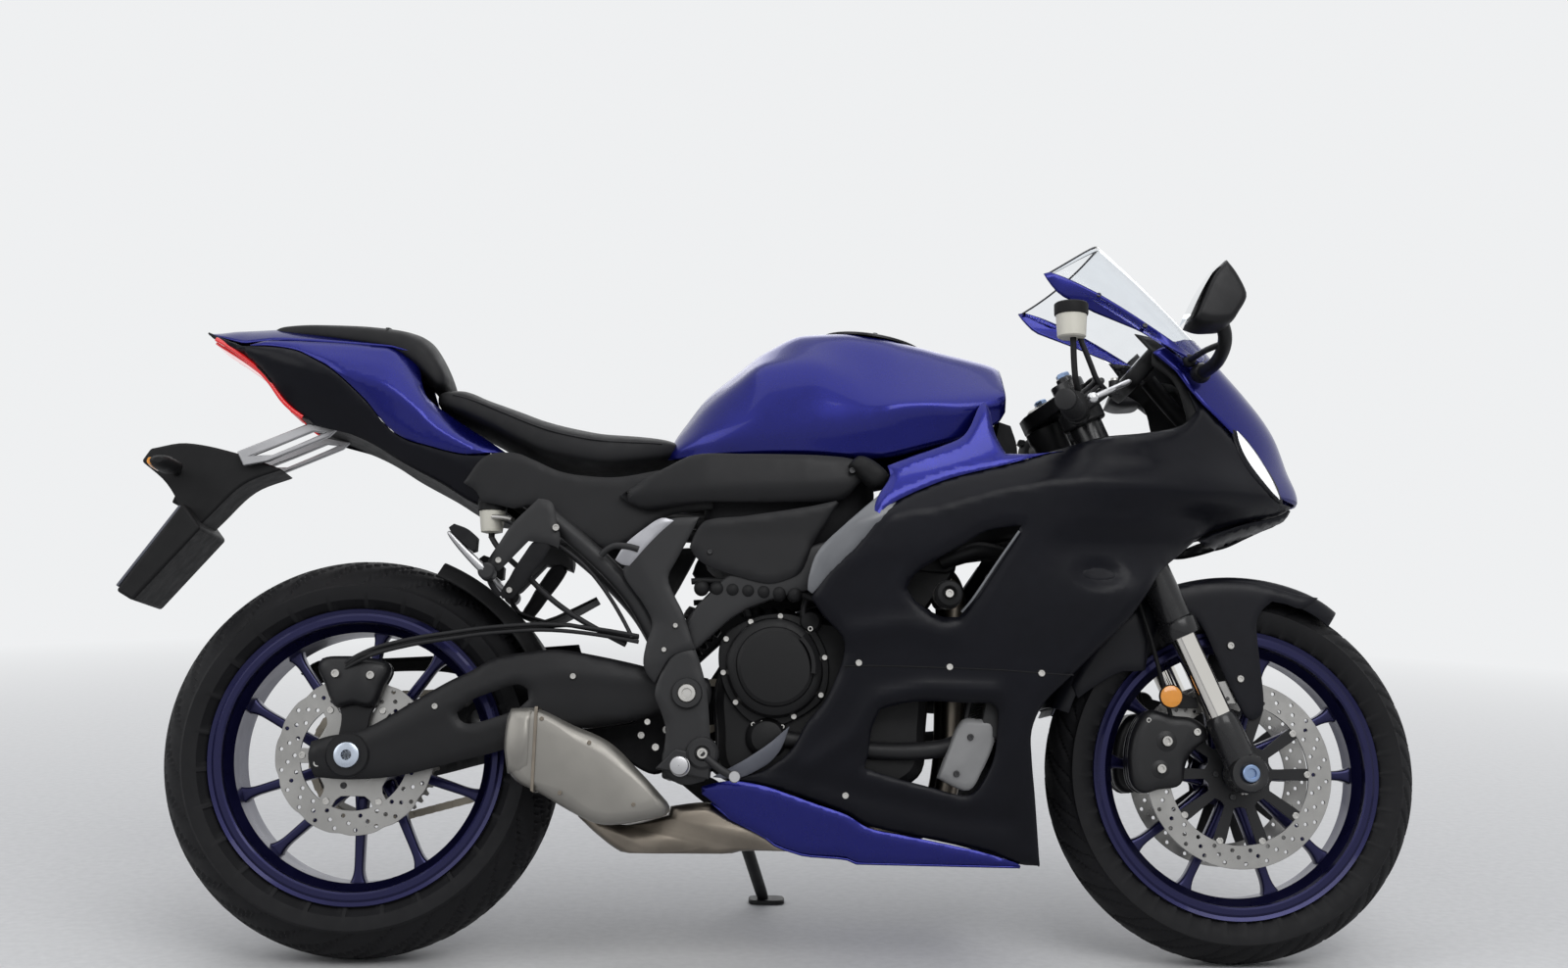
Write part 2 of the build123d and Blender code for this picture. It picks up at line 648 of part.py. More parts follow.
# ---------------------------------------------------------------- fairing forms
# Plan outlines of the front bodywork: height, nose ahead of the front axle, then half widths at the
# nose, 35, 100 and 220 behind it, 355 behind the front axle, and at x = 820 and 540.
FAIRING_PLAN = [
    (140, 5, 60, 90, 112, 122, 126, 124, 108),
    (300, 5, 74, 112, 142, 160, 168, 166, 150),
    (560, 5, 92, 140, 178, 200, 216, 212, 192),
    (631, -93, 100, 150, 180, 208, 222, 220, 200),
    (684, -29, 60, 120, 165, 205, 227, 224, 202),
    (725, 105, 24, 68, 120, 182, 230, 226, 203),
    (750, 129, 18, 62, 120, 186, 232, 226, 203),
    (800, 112, 22, 66, 118, 176, 183, 184, 176),
    (856, 92, 26, 70, 116, 160, 175, 176, 168),
    (980, -5, 38, 84, 118, 142, 152, 150, 140),
    (1060, -75, 40, 76, 104, 128, 138, 138, 128),
]
NOSE_STEPS = (0, 35, 100, 220)
SIDE_STEPS = (WHEELBASE - 355, 820, 540)


def fairing_form(inset):
    """Body of the front bodywork, its walls moved in by the inset."""
    outlines = []
    for z, nose, *widths in FAIRING_PLAN:
        xs = [WHEELBASE + nose - inset - step for step in NOSE_STEPS] + list(SIDE_STEPS)
        half = [(x, width - inset) for x, width in zip(xs, widths)]
        outlines.append(half + [(x, -y) for x, y in reversed(half)])
    return ruled_body([Plane.XY.offset(row[0]) for row in FAIRING_PLAN], outlines)


outer_form = fairing_form(0)
inner_form = fairing_form(PANEL_T)

FAIRING_SIDE = [
    (820, 768), (862, 785), (943, 817), (967, 854), (993, 880), (1005, 855), (1009, 805), (1096, 798),
    (1162, 823), (1239, 835), (1301, 851), (1320, 916), (1390, 844), (1440, 800), (1480, 740),
    (1500, 729), (1471, 715), (1421, 701), (1366, 684), (1338, 662), (1302, 631), (1256, 608),
    (1227, 575), (1196, 534), (1144, 483), (1093, 433), (1063, 403), (1046, 363), (1047, 319),
    (1053, 265), (1062, 165), (1030, 165), (918, 192), (797, 216), (764, 235), (677, 265), (594, 285),
    (557, 290), (614, 318), (666, 366), (707, 387), (728, 420), (750, 464), (756, 486), (750, 503),
    (720, 540), (700, 568), (760, 640),
]
UPPER_VENT = [(1026, 674), (951, 558), (931, 533), (886, 543), (851, 577), (972, 664)]
LOWER_VENT = [(818, 390), (888, 404), (988, 400), (992, 377), (987, 323), (956, 267), (892, 276), (784, 300)]
FORK_BAY_HALF = 126.0    # opening in front of the fork, either side, for its swing
with BuildPart() as side_fairing_right:
    add(outer_form)
    add(inner_form, mode=Mode.SUBTRACT)
    add(slab(FAIRING_SIDE, 0, 300), mode=Mode.INTERSECT)
    add(slab(beside((WHEELBASE, 0), [(-205, 540), (80, 540), (80, 712), (-205, 700)]), 0, FORK_BAY_HALF),
        mode=Mode.SUBTRACT)
    with BuildSketch(Plane.XZ.offset(60)):
        Polygon(*UPPER_VENT)
        Polygon(*LOWER_VENT)
    extrude(amount=240, mode=Mode.SUBTRACT)

STAND_NOTCH = [(500, 200), (650, 225), (650, 312), (500, 330)]
with BuildPart() as side_fairing_left:
    mirror(side_fairing_right.part, about=Plane.XZ)
    add(slab(STAND_NOTCH, -300, -100), mode=Mode.SUBTRACT)

BELLY_SIDE = [
    (544, 284), (594, 283), (677, 263), (764, 233), (797, 214), (918, 190), (1030, 163), (1034, 157),
    (772, 161), (765, 173), (677, 178), (624, 200), (584, 221), (561, 247), (535, 266),
]
with BuildPart() as belly_core:
    add(inner_form)
    add(slab([(400, 100), (778, 100), (780, 166), (1045, 161), (1045, 330), (400, 330)], -300, 300),
        mode=Mode.INTERSECT)
with BuildPart() as belly_pan:
    add(outer_form)
    add(slab(BELLY_SIDE, -300, 300), mode=Mode.INTERSECT)
    add(belly_core.part, mode=Mode.SUBTRACT)
    add(slab(STAND_NOTCH, -300, -100), mode=Mode.SUBTRACT)

NOSE_SIDE = [
    (-101, 942), (-75, 917), (-5, 845), (45, 801), (85, 741), (106, 730), (145, 740),
    (145, 800), (85, 960), (5, 1000), (-29, 1011),
]
INTAKE_SIDE = [(60, 752), (160, 752), (160, 806), (60, 806)]
INTAKE_HALF = 30.0
with BuildPart() as upper_fairing:
    add(outer_form)
    add(inner_form, mode=Mode.SUBTRACT)
    add(slab(beside((WHEELBASE, 0), NOSE_SIDE), -300, 300), mode=Mode.INTERSECT)
    add(slab(beside((WHEELBASE, 0), INTAKE_SIDE), -INTAKE_HALF, INTAKE_HALF), mode=Mode.SUBTRACT)

# windscreen: arcs square to its slope
SCREEN_SLOPE = (0.694, 0, -0.720)
SCREEN_ROWS = [
    # distance down the slope from the top, half width, drop of the sides
    (0, 126, 122),
    (240, 118, 60),
]
with BuildPart() as windscreen:
    for along, half, drop in SCREEN_ROWS:
        with BuildSketch(
            Plane(origin=Vector(WHEELBASE - 199, 0, 1181) + Vector(SCREEN_SLOPE) * along, x_dir=(0, 1, 0),
                  z_dir=SCREEN_SLOPE)
        ):
            with BuildLine():
                ThreePointArc((-half, -drop), (0, 0), (half, -drop))
                Line((half, -drop), (half - SCREEN_T, -drop))
                ThreePointArc((half - SCREEN_T, -drop), (0, -SCREEN_T), (SCREEN_T - half, -drop))
                Line((SCREEN_T - half, -drop), (-half, -drop))
            make_face()
    loft(ruled=True)

# ---------------------------------------------------------------- tank
TANK_ROWS = [
    # x, then half outline (y, z) from the bottom up
    (482, [(84, 792), (92, 800), (74, 812), (40, 820)]),
    (540, [(120, 792), (136, 820), (96, 880), (44, 905)]),
    (633, [(146, 792), (160, 840), (118, 930), (56, 982)]),
    (764, [(160, 790), (178, 850), (150, 950), (84, 1012)]),
    (911, [(160, 812), (186, 880), (160, 940), (92, 988)]),
    (1014, [(146, 830), (160, 880), (140, 930), (84, 966)]),
]
CAP_AT = (815.0, 0.0, 1008.0)
CAP_TILT = -9.0
CAP_R = 52.0
CAP_T = 8.0
CAP_GAP = 0.5
CAP_HINGE_R = 5.0
CAP_HINGE_OUT = 8.0
cap_plane = Plane(origin=CAP_AT).rotated((0, -CAP_TILT, 0))
with BuildPart() as fuel_tank:
    add(stations(TANK_ROWS))
    with BuildSketch(cap_plane):
        Circle(CAP_R + 40)
    extrude(amount=60, mode=Mode.SUBTRACT)
    with BuildSketch(cap_plane):
        Circle(CAP_R + 4)
    extrude(amount=-8)

cap_hinge = cap_plane.offset(CAP_GAP + CAP_HINGE_R)
hinge_at = cap_hinge.from_local_coords(Vector(CAP_R + CAP_HINGE_OUT, 0, 0))
hinge_line = Plane(origin=hinge_at, x_dir=cap_hinge.x_dir, z_dir=(0, 1, 0))
with BuildPart() as fuel_cap:
    with BuildSketch(cap_plane.offset(CAP_GAP)):
        Circle(CAP_R)
        with Locations((CAP_R, 0)):
            Rectangle(2 * CAP_HINGE_OUT, 24)
    extrude(amount=CAP_T)
    with BuildSketch(hinge_line):
        Circle(CAP_HINGE_R - CAP_GAP)
    extrude(amount=12, both=True)

with BuildPart() as tank_side_panels:
    add(slab([(452, 700), (407, 722), (442, 746), (522, 786), (770, 782), (788, 769), (779, 741),
              (752, 716), (532, 711)], 150, 184))
    add(slab([(541, 680), (744, 715), (708, 646), (690, 601), (641, 582), (547, 608), (516, 640)],
             172, 180))
    mirror(about=Plane.XZ)

# ---------------------------------------------------------------- seat and tail
with BuildPart() as rider_seat:
    add(stations([
        (112, [(50, 850), (72, 870), (40, 908)]),
        (200, [(96, 838), (108, 856), (60, 886)]),
        (300, [(118, 790), (134, 826), (80, 857)]),
        (400, [(126, 772), (134, 805), (90, 835)]),
        (478, [(96, 790), (104, 806), (70, 828)]),
    ]))

TAIL_ROWS = [
    # x, then half outline (y, z) from the bottom up
    (-274, [(60, 984), (66, 992), (60, 1000)]),
    (-208, [(78, 956), (98, 964), (90, 972)]),
    (-143, [(84, 886), (118, 950), (104, 970)]),
    (-98, [(88, 858), (128, 936), (106, 968)]),
    (20, [(96, 812), (134, 900), (100, 962)]),
    (84, [(100, 776), (132, 862), (96, 904)]),
    (106, [(100, 762), (132, 826), (96, 846)]),
    (222, [(104, 700), (126, 770), (100, 786)]),
]
WALL = PANEL_T + 1


def inside(row):
    """Section moved in by the wall, all round."""
    x, (low, middle, high) = row
    return (x, [(low[0] - WALL, low[1] + WALL), (middle[0] - WALL, middle[1]),
                (high[0] - WALL, high[1] - WALL)])


with BuildPart() as tail_cowl:
    add(stations(TAIL_ROWS))
    add(stations([inside(row) for row in TAIL_ROWS[2:-1]]
                 + [(TAIL_ROWS[-1][0] + 1, inside(TAIL_ROWS[-1])[1])]), mode=Mode.SUBTRACT)
    add(subframe.part, mode=Mode.SUBTRACT)

with BuildPart() as pillion_pad:
    add(stations([
        (-235, [(60, 976), (70, 990), (56, 1010)]),
        (-130, [(96, 972), (100, 985), (80, 1016)]),
        (30, [(94, 966), (104, 985), (84, 1013)]),
        (104, [(84, 905), (92, 940), (70, 985)]),
    ]))
    add(tail_cowl.part, mode=Mode.SUBTRACT)

LAMP_T = 7.0
LAMP_LINE = [(x, half[0][1]) for x, half in TAIL_ROWS[:4]]
with BuildPart() as tail_lamp:
    add(slab(LAMP_LINE + [(x, z - LAMP_T) for x, z in reversed(LAMP_LINE)], -58, 58))

with BuildPart() as plate_holder:
    add(slab([(-372, 786), (-359, 807), (-303, 817), (-219, 801), (-146, 776), (-207, 750), (-258, 698),
              (-286, 668)], -45, 45))
    add(slab([(-292, 714), (-261, 674), (-361, 556), (-388, 572)], -80, 80))
    add(slab([(-214, 801), (-110, 846), (-58, 839), (-162, 787)], 52, 62))
    add(slab([(-214, 801), (-110, 846), (-58, 839), (-162, 787)], -62, -52))
    add(slab([(-180, 792), (-214, 800), (-214, 790), (-180, 782)], -62, 62))

with BuildPart() as rear_signals:
    add(slab([(-332, 763), (-319, 784), (-297, 776), (-297, 755)], 45, 150))
    mirror(about=Plane.XZ)

# ---------------------------------------------------------------- pegs and mirrors
with BuildPart() as rider_hangers:
    add(slab([(470, 300), (552, 284), (556, 318), (500, 330)], PLATE_OUT, PLATE_OUT + 12))
    with BuildSketch(Plane.XZ.offset(PLATE_OUT)):
        with Locations((508, 303)):
            Circle(12)
    extrude(amount=110)
    mirror(about=Plane.XZ)

with BuildPart() as passenger_hangers:
    add(slab([(286, 700), (300, 690), (250, 560), (228, 552), (180, 600), (150, 650), (162, 660), (215, 600),
              (240, 590)], PLATE_IN, PLATE_IN + 12))
    mirror(about=Plane.XZ)

with BuildPart() as mirrors:
    add(slab(beside((WHEELBASE, 0), [(-69, 1071), (-41, 1022), (-40, 1011), (-64, 972), (-106, 969),
                                     (-123, 974), (-89, 1050)]),
             262, 345))
    add(slab(beside((WHEELBASE, 0), [(-74, 985), (-56, 972), (-59, 936), (-79, 921), (-96, 935),
                                     (-96, 960)]), 104, 270))
    mirror(about=Plane.XZ)
    add(upper_fairing.part, mode=Mode.SUBTRACT)
    add(windscreen.part, mode=Mode.SUBTRACT)

# ---------------------------------------------------------------- fender, levers, reservoirs
FENDER_GAP = 14.0
FENDER_HALF = 66.0
FENDER_SIDE = [
    (110, -11), (62, -1), (0, 15), (-65, 5), (-135, -21), (-215, -114), (-245, -161), (-187, -140),
    (-144, -139), (-90, -61), (-52, -70), (4, -197), (30, -209), (43, -189), (35, -60), (62, -31),
]
with BuildPart() as front_fender:
    with BuildSketch(Plane.XZ.offset(-FENDER_HALF)):
        with Locations((WHEELBASE, front_axle_z)):
            Circle(FRONT_TYRE_R + FENDER_GAP + 4)
            Circle(FRONT_TYRE_R + FENDER_GAP, mode=Mode.SUBTRACT)
        Polygon(*beside(FRONT_AXLE[::2], [(0, 0), (205, 289), (105, 399), (-195, 359), (-315, 99)]),
                mode=Mode.INTERSECT)
    extrude(amount=2 * FENDER_HALF)
    add(slab(beside((WHEELBASE, front_axle_z + FRONT_TYRE_R), FENDER_SIDE), FENDER_HALF, FENDER_HALF + 4))
    mirror(about=Plane.XZ)

LEVER_ROOT = bar_root + Vector(40.6, -65, 34.3)
LEVER_T = 10.0
lever_dir = Vector(-0.20, -0.95, -0.22).normalized()
LEVER_BLADE = [(0, 9), (40, 9), (130, 2), (150, -12), (168, -30), (160, -38), (146, -22), (128, -10),
               (40, -8), (0, -6)]
with BuildPart() as levers:
    with BuildSketch(Plane(origin=LEVER_ROOT, x_dir=lever_dir, z_dir=lever_dir.cross(fork_plane(0).x_dir))):
        Polygon(*LEVER_BLADE)
        with Locations((164, -36)):
            Circle(9)
    extrude(amount=LEVER_T / 2, both=True)
    mirror(about=Plane.XZ)

bar_side = (bar_root.X, bar_root.Z)
with BuildPart() as lever_perches:
    with BuildSketch(Plane(origin=bar_root + bar_dir * 52, z_dir=bar_dir)):
        Circle(20)
    extrude(amount=24)
    add(slab(beside(bar_side, [(-17, 14), (-9, -12), (33, 16), (31, 42)]), 158, 176))
    add(slab(beside(bar_side, [(31, 16), (51, 22), (51, 46), (31, 42)]), 158, 170))
    with BuildSketch(Plane(origin=bar_root, z_dir=bar_dir)):
        Circle(BAR_R)
    extrude(amount=bar_len, mode=Mode.SUBTRACT)
    mirror(about=Plane.XZ)
    add(levers.part, mode=Mode.SUBTRACT)

with BuildPart() as brake_reservoir:
    add(slab(beside(bar_side, [(-45, -10), (-19, -10), (-19, 110), (-45, 110)]), 198, 210))
    with BuildSketch(Plane(origin=bar_root + Vector(-33, -100, 106))):
        Circle(25)
    extrude(amount=56)
    with BuildSketch(Plane(origin=bar_root, z_dir=bar_dir)):
        Circle(GRIP_R)
    extrude(amount=bar_len, mode=Mode.SUBTRACT)
    add(lever_perches.part, mode=Mode.SUBTRACT)

REAR_POT = (193.0, -110.0, 656.0)
REAR_POT_R = 19.0
with BuildPart() as rear_reservoir:
    with BuildSketch(Plane(origin=REAR_POT)):
        Circle(REAR_POT_R)
    extrude(amount=44)
    add(slab(beside(REAR_POT[::2], [(-9, -60), (11, -60), (11, 26), (-9, 26)]), 122, PLATE_IN))

SLIDER_AT = (913.0, 566.0)
with BuildPart() as frame_sliders:
    for radius, near, far in ((13, 105, 200), (21, 200, 238)):
        with BuildSketch(Plane.XZ.offset(near)):
            with Locations(SLIDER_AT):
                Circle(radius)
        extrude(amount=far - near)
    mirror(about=Plane.XZ)

# ---------------------------------------------------------------- brake hoses
HOSE_R = 3.5


def hose(points, radius):
    """Hose through points, its corners rounded."""
    with BuildPart() as line:
        with BuildLine() as route:
            FilletPolyline(*points, radius=radius)
        with BuildSketch(Plane(origin=route.line @ 0, z_dir=route.line % 0)):
            Circle(HOSE_R)
        sweep(path=route.line)
    return line.part


with BuildPart() as front_brake_hoses:
    for side in (-1, 1):
        add(hose(
            [
                fork_plane(96, 80 * side, -72).origin,
                fork_plane(150, 86 * side, -62).origin,
                fork_plane(250, 88 * side, -44).origin,
                fork_plane(LOWER_CLAMP, 80 * side, -24).origin,
            ],
            30,
        ))
    add(front_calipers.part, mode=Mode.SUBTRACT)
    add(triple_clamps.part, mode=Mode.SUBTRACT)

with BuildPart() as rear_brake_hose:
    add(hose(
        [
            (-24, -118, rear_axle_z + 128), (10, -132, rear_axle_z + 152), (90, -136, 492), (210, -136, 512),
            (330, -138, 520), (440, -158, 500),
        ],
        14,
    ))
    add(rear_caliper.part, mode=Mode.SUBTRACT)
    add(main_frame.part, mode=Mode.SUBTRACT)

# ---------------------------------------------------------------- lamps and instrument
with BuildPart() as headlamp:
    with BuildSketch(Plane.YZ.offset(WHEELBASE + 8)):
        with Locations((0, 779)):
            Circle(26)
    extrude(amount=80)

with BuildPart() as instrument:
    with BuildSketch(Plane(origin=(WHEELBASE - 121, 0, 962), z_dir=(-0.75, 0, 0.66))):
        Rectangle(100, 150)
    extrude(amount=26)
    add(slab(beside((WHEELBASE, 0), [(-120, 966), (8, 800), (8, 770), (-120, 930)]), -20, 20))

# ---------------------------------------------------------------- side stand
foot_y = STAND_FOOT[1] * cos(lean)
foot_z = STAND_FOOT[1] * sin(lean)
stand_axis = Vector(0, cos(radians(STAND_TILT)), sin(radians(STAND_TILT)))
stand_pivot = Vector(STAND_PIVOT)
stand_foot = Vector(STAND_FOOT[0], foot_y, foot_z)
up_when_leaned = Vector(0, -sin(lean), cos(lean))
with BuildPart() as side_stand:
    leg = stand_foot + up_when_leaned * 8 - stand_pivot
    with BuildSketch(Plane(origin=stand_pivot + leg.normalized() * (STAND_PIN_R + 3), z_dir=leg)):
        Circle(STAND_LEG_R)
    extrude(amount=leg.length - STAND_PIN_R - 3)
    with BuildSketch(Plane(origin=stand_pivot - stand_axis * (STAND_EYE_T / 2), z_dir=stand_axis)):
        Circle(STAND_EYE_R)
    extrude(amount=STAND_EYE_T)
    with BuildSketch(Plane(origin=stand_pivot - stand_axis * STAND_EYE_T, z_dir=stand_axis)):
        Circle(STAND_PIN_R + STAND_FIT)
    extrude(amount=2 * STAND_EYE_T, mode=Mode.SUBTRACT)
    with BuildSketch(Plane(origin=stand_foot, x_dir=(1, 0, 0), z_dir=up_when_leaned)):
        with Locations((6, 8)):
            Rectangle(64, 42)
    extrude(amount=8)
    with BuildSketch(Plane(origin=stand_foot - up_when_leaned * 40, z_dir=up_when_leaned)):
        Rectangle(200, 200)
    extrude(amount=40, mode=Mode.SUBTRACT)

with BuildPart() as stand_bracket:
    with BuildSketch(Plane(origin=stand_pivot - stand_axis * (STAND_EYE_T / 2), z_dir=stand_axis)):
        Circle(STAND_EYE_R)
    extrude(amount=-14)
    add(slab([(496, 286), (552, 292), (604, 250), (592, 230), (560, 238)], -PLATE_IN, 18 - PLATE_IN))
    with BuildSketch(Plane(origin=stand_pivot - stand_axis * (STAND_EYE_T / 2 + 0.5), z_dir=stand_axis)):
        Circle(STAND_EYE_R + 5)
    extrude(amount=STAND_EYE_T + 1, mode=Mode.SUBTRACT)
    with BuildSketch(Plane(origin=stand_pivot - stand_axis * (STAND_EYE_T / 2 + 4), z_dir=stand_axis)):
        Circle(STAND_PIN_R)
    extrude(amount=STAND_EYE_T + 8)
    add(main_frame.part, mode=Mode.SUBTRACT)

# ---------------------------------------------------------------- pieces that share a node
with BuildPart() as lever_set:
    add(levers.part)
    add(lever_perches.part)
with BuildPart() as engine_covers:
    add(clutch_cover.part)
    add(generator_cover.part)
    add(sprocket_cover.part)
with BuildPart() as foot_pegs:
    add(rider_hangers.part)
    add(passenger_hangers.part)
with BuildPart() as frame_and_bracket:
    add(main_frame.part)
    add(stand_bracket.part)
with BuildPart() as plate_and_signals:
    add(plate_holder.part)
    add(rear_signals.part)
with BuildPart() as exhaust_pipes:
    add(exhaust_header.part)
    add(exhaust_box.part)
with BuildPart() as side_fairings:
    add(side_fairing_right.part)
    add(side_fairing_left.part)

# ---------------------------------------------------------------- park and write
NODES = {
    "rear_tyre": rear_tyre,
    "rear_rim": rear_rim,
    "rear_disc": rear_disc,
    "sprocket": sprocket,
    "front_tyre": front_tyre,
    "front_rim": front_rim,
    "front_discs": front_discs,
    "rear_axle": rear_axle,
    "front_axle": front_axle,
    "fork_sliders": fork_sliders,
    "fork_tubes": fork_tubes,
    "triple_clamps": triple_clamps,
    "clip_ons": clip_ons,
    "grips": grips,
    "levers": lever_set,
    "brake_reservoir": brake_reservoir,
    "front_calipers": front_calipers,
    "front_fender": front_fender,
    "rear_caliper": rear_caliper,
    "swingarm": swingarm,
    "pivot_shaft": pivot_shaft,
    "rear_hugger": rear_hugger,
    "drive_chain": drive_chain,
    "chain_guard": chain_guard,
    "rear_shock": rear_shock,
    "main_frame": frame_and_bracket,
    "subframe": subframe,
    "crankcase": crankcase,
    "cylinder_block": cylinder_block,
    "engine_covers": engine_covers,
    "radiator": radiator,
    "coolant_reservoir": coolant_reservoir,
    "exhaust_pipes": exhaust_pipes,
    "muffler": muffler,
    "side_fairings": side_fairings,
    "belly_pan": belly_pan,
    "upper_fairing": upper_fairing,
    "windscreen": windscreen,
    "fuel_tank": fuel_tank,
    "fuel_cap": fuel_cap,
    "tank_side_panels": tank_side_panels,
    "rider_seat": rider_seat,
    "pillion_pad": pillion_pad,
    "tail_cowl": tail_cowl,
    "tail_lamp": tail_lamp,
    "plate_holder": plate_and_signals,
    "foot_pegs": foot_pegs,
    "mirrors": mirrors,
    "headlamp": headlamp,
    "instrument": instrument,
    "side_stand": side_stand,
    "frame_sliders": frame_sliders,
    "rear_reservoir": rear_reservoir,
    "front_brake_hoses": front_brake_hoses,
    "rear_brake_hose": rear_brake_hose,
}
os.makedirs("parts", exist_ok=True)
lean_over = Location((0, 0, 0), (-LEAN, 0, 0))
for piece in NODES.values():
    piece.part.move(lean_over)
box = Compound(children=[Compound(piece.part.solids()) for piece in NODES.values()]).bounding_box()
centre = Location((-(box.min.X + box.max.X) / 2, -(box.min.Y + box.max.Y) / 2, -box.min.Z))
for name, piece in NODES.items():
    piece.part.move(centre)
    piece.part.label = name
    export_step(piece.part, f"parts/{name}.step")
print("origin", centre.position, "size", box.size)
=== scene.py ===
"""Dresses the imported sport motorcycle: looks on the CAD frame, with a floor, soft light and a camera."""
import json
import math

import bmesh
import bpy
import numpy as np
from mathutils import Matrix, Vector
from mathutils.geometry import delaunay_2d_cdt


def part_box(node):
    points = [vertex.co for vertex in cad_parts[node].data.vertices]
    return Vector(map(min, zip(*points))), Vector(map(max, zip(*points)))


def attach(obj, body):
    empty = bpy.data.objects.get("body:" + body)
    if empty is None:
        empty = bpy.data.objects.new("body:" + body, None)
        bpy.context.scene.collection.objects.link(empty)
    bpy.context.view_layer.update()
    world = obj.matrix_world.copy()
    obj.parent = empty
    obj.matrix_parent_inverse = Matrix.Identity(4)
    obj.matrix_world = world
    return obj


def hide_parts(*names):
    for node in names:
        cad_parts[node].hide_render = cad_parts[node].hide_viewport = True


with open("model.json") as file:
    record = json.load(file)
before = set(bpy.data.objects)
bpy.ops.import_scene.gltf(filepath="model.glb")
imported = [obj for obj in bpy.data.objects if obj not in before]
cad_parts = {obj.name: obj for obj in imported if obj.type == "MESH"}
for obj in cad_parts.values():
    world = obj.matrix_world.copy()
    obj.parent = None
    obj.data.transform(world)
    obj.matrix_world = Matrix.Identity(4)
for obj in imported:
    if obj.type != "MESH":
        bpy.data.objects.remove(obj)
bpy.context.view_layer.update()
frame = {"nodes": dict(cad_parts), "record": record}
NODES = frame["nodes"]

# ------------------------------------------------------------------ the upright bike frame
LEAN = math.radians(11.0)
REAR_AXLE_Z = 316.8
FRONT_AXLE = (1395.0, 301.1)
RAKE = math.radians(23.7)
FORK_Y = 105  # each fork leg's distance from the mid plane
STEM_BACK = -38.6  # the steering stem against the fork legs, square to them
MM = 0.001
SIDES = ((-1, "right"), (1, "left"))
low, high = (Vector(corner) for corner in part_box("rear_tyre"))
upright = Matrix.Rotation(-LEAN, 4, "X")
SHIFT = (low + high) / 2 - upright @ Vector((0, 0, REAR_AXLE_Z * MM))
BIKE = Matrix.Translation(SHIFT) @ upright


def fork_at(along, y=0.0, ahead=0.0):
    """A point beside the fork, in mm in the bike frame, a distance up it from the front axle."""
    return Vector((
        FRONT_AXLE[0] - along * math.sin(RAKE) + ahead * math.cos(RAKE),
        y,
        FRONT_AXLE[1] + along * math.cos(RAKE) + ahead * math.sin(RAKE),
    ))


# ------------------------------------------------------------------ mesh helpers
def once(side, *nodes):
    """The CAD nodes that a mirrored pair stands for, named by its right piece only."""
    return nodes if side < 0 else ()


def place(obj, mat, body="root", replaces=()):
    """Puts a finished object into the scene: its material, its body and the CAD nodes it stands for."""
    bpy.context.collection.objects.link(obj)
    obj.matrix_world = BIKE
    obj.data.materials.append(MATS[mat])
    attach(obj, body)
    if replaces:
        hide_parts(*replaces)
    return obj


def mesh_object(name, points, faces, mat, body="root", replaces=(), sharp=35.0):
    """A mesh of points in mm in the bike frame, smooth except over sharp edges."""
    mesh = bpy.data.meshes.new(name)
    mesh.from_pydata([(p[0] * MM, p[1] * MM, p[2] * MM) for p in points], [], [tuple(f) for f in faces])
    shape = bmesh.new()
    shape.from_mesh(mesh)
    bmesh.ops.recalc_face_normals(shape, faces=shape.faces)
    shape.to_mesh(mesh)
    shape.free()
    mesh.polygons.foreach_set("use_smooth", [True] * len(mesh.polygons))
    if sharp:
        mesh.set_sharp_from_angle(angle=math.radians(sharp))
    obj = bpy.data.objects.new(name, mesh)
    return place(obj, mat, body, replaces)


def thicken(obj, thickness, offset=-1.0):
    """Gives a surface a thickness in mm, inwards unless the offset says otherwise."""
    mod = obj.modifiers.new("thickness", "SOLIDIFY")
    mod.thickness = thickness * MM
    mod.offset = offset
    mod.use_even_offset = True
    return obj


def bevel(obj, width, segments=3, angle=40.0):
    """Rounds the edges that turn by more than an angle in degrees."""
    mod = obj.modifiers.new("edges", "BEVEL")
    mod.width = width * MM
    mod.segments = segments
    mod.limit_method = "ANGLE"
    mod.angle_limit = math.radians(angle)
    mod.harden_normals = False
    return obj


def subdivide(obj, levels=2):
    """Smooths a coarse form."""
    mod = obj.modifiers.new("smooth", "SUBSURF")
    mod.levels = levels
    mod.render_levels = levels
    return obj


def bend(p, q, r):
    """How far a line turns at q, in degrees."""
    u, v = q - p, r - q
    if u.length < 1e-6 or v.length < 1e-6:
        return 180.0
    return math.degrees(u.angle(v))


def rounded(points, step=12.0, sharp=48.0, closed=True):
    """A line through points, curved where it turns gently and cornered where it turns sharply."""
    pts = [Vector(p) for p in points]
    count = len(pts)
    out = []
    last = count if closed else count - 1
    for i in range(last):
        a, b = pts[i], pts[(i + 1) % count]
        before = pts[i - 1] if closed or i else a
        after = pts[(i + 2) % count] if closed or i + 2 < count else b
        run = (b - a).length
        if run < 1e-6:
            continue
        start = (b - a) if bend(before, a, b) > sharp else (b - before).normalized() * run
        end = (b - a) if bend(a, b, after) > sharp else (after - a).normalized() * run
        steps = max(1, round(run / step))
        for k in range(steps):
            t = k / steps
            h1 = 2 * t ** 3 - 3 * t ** 2 + 1
            h2 = t ** 3 - 2 * t ** 2 + t
            h3 = -2 * t ** 3 + 3 * t ** 2
            h4 = t ** 3 - t ** 2
            out.append(h1 * a + h2 * start + h3 * b + h4 * end)
    if not closed:
        out.append(pts[-1])
    return [tuple(p) for p in out]


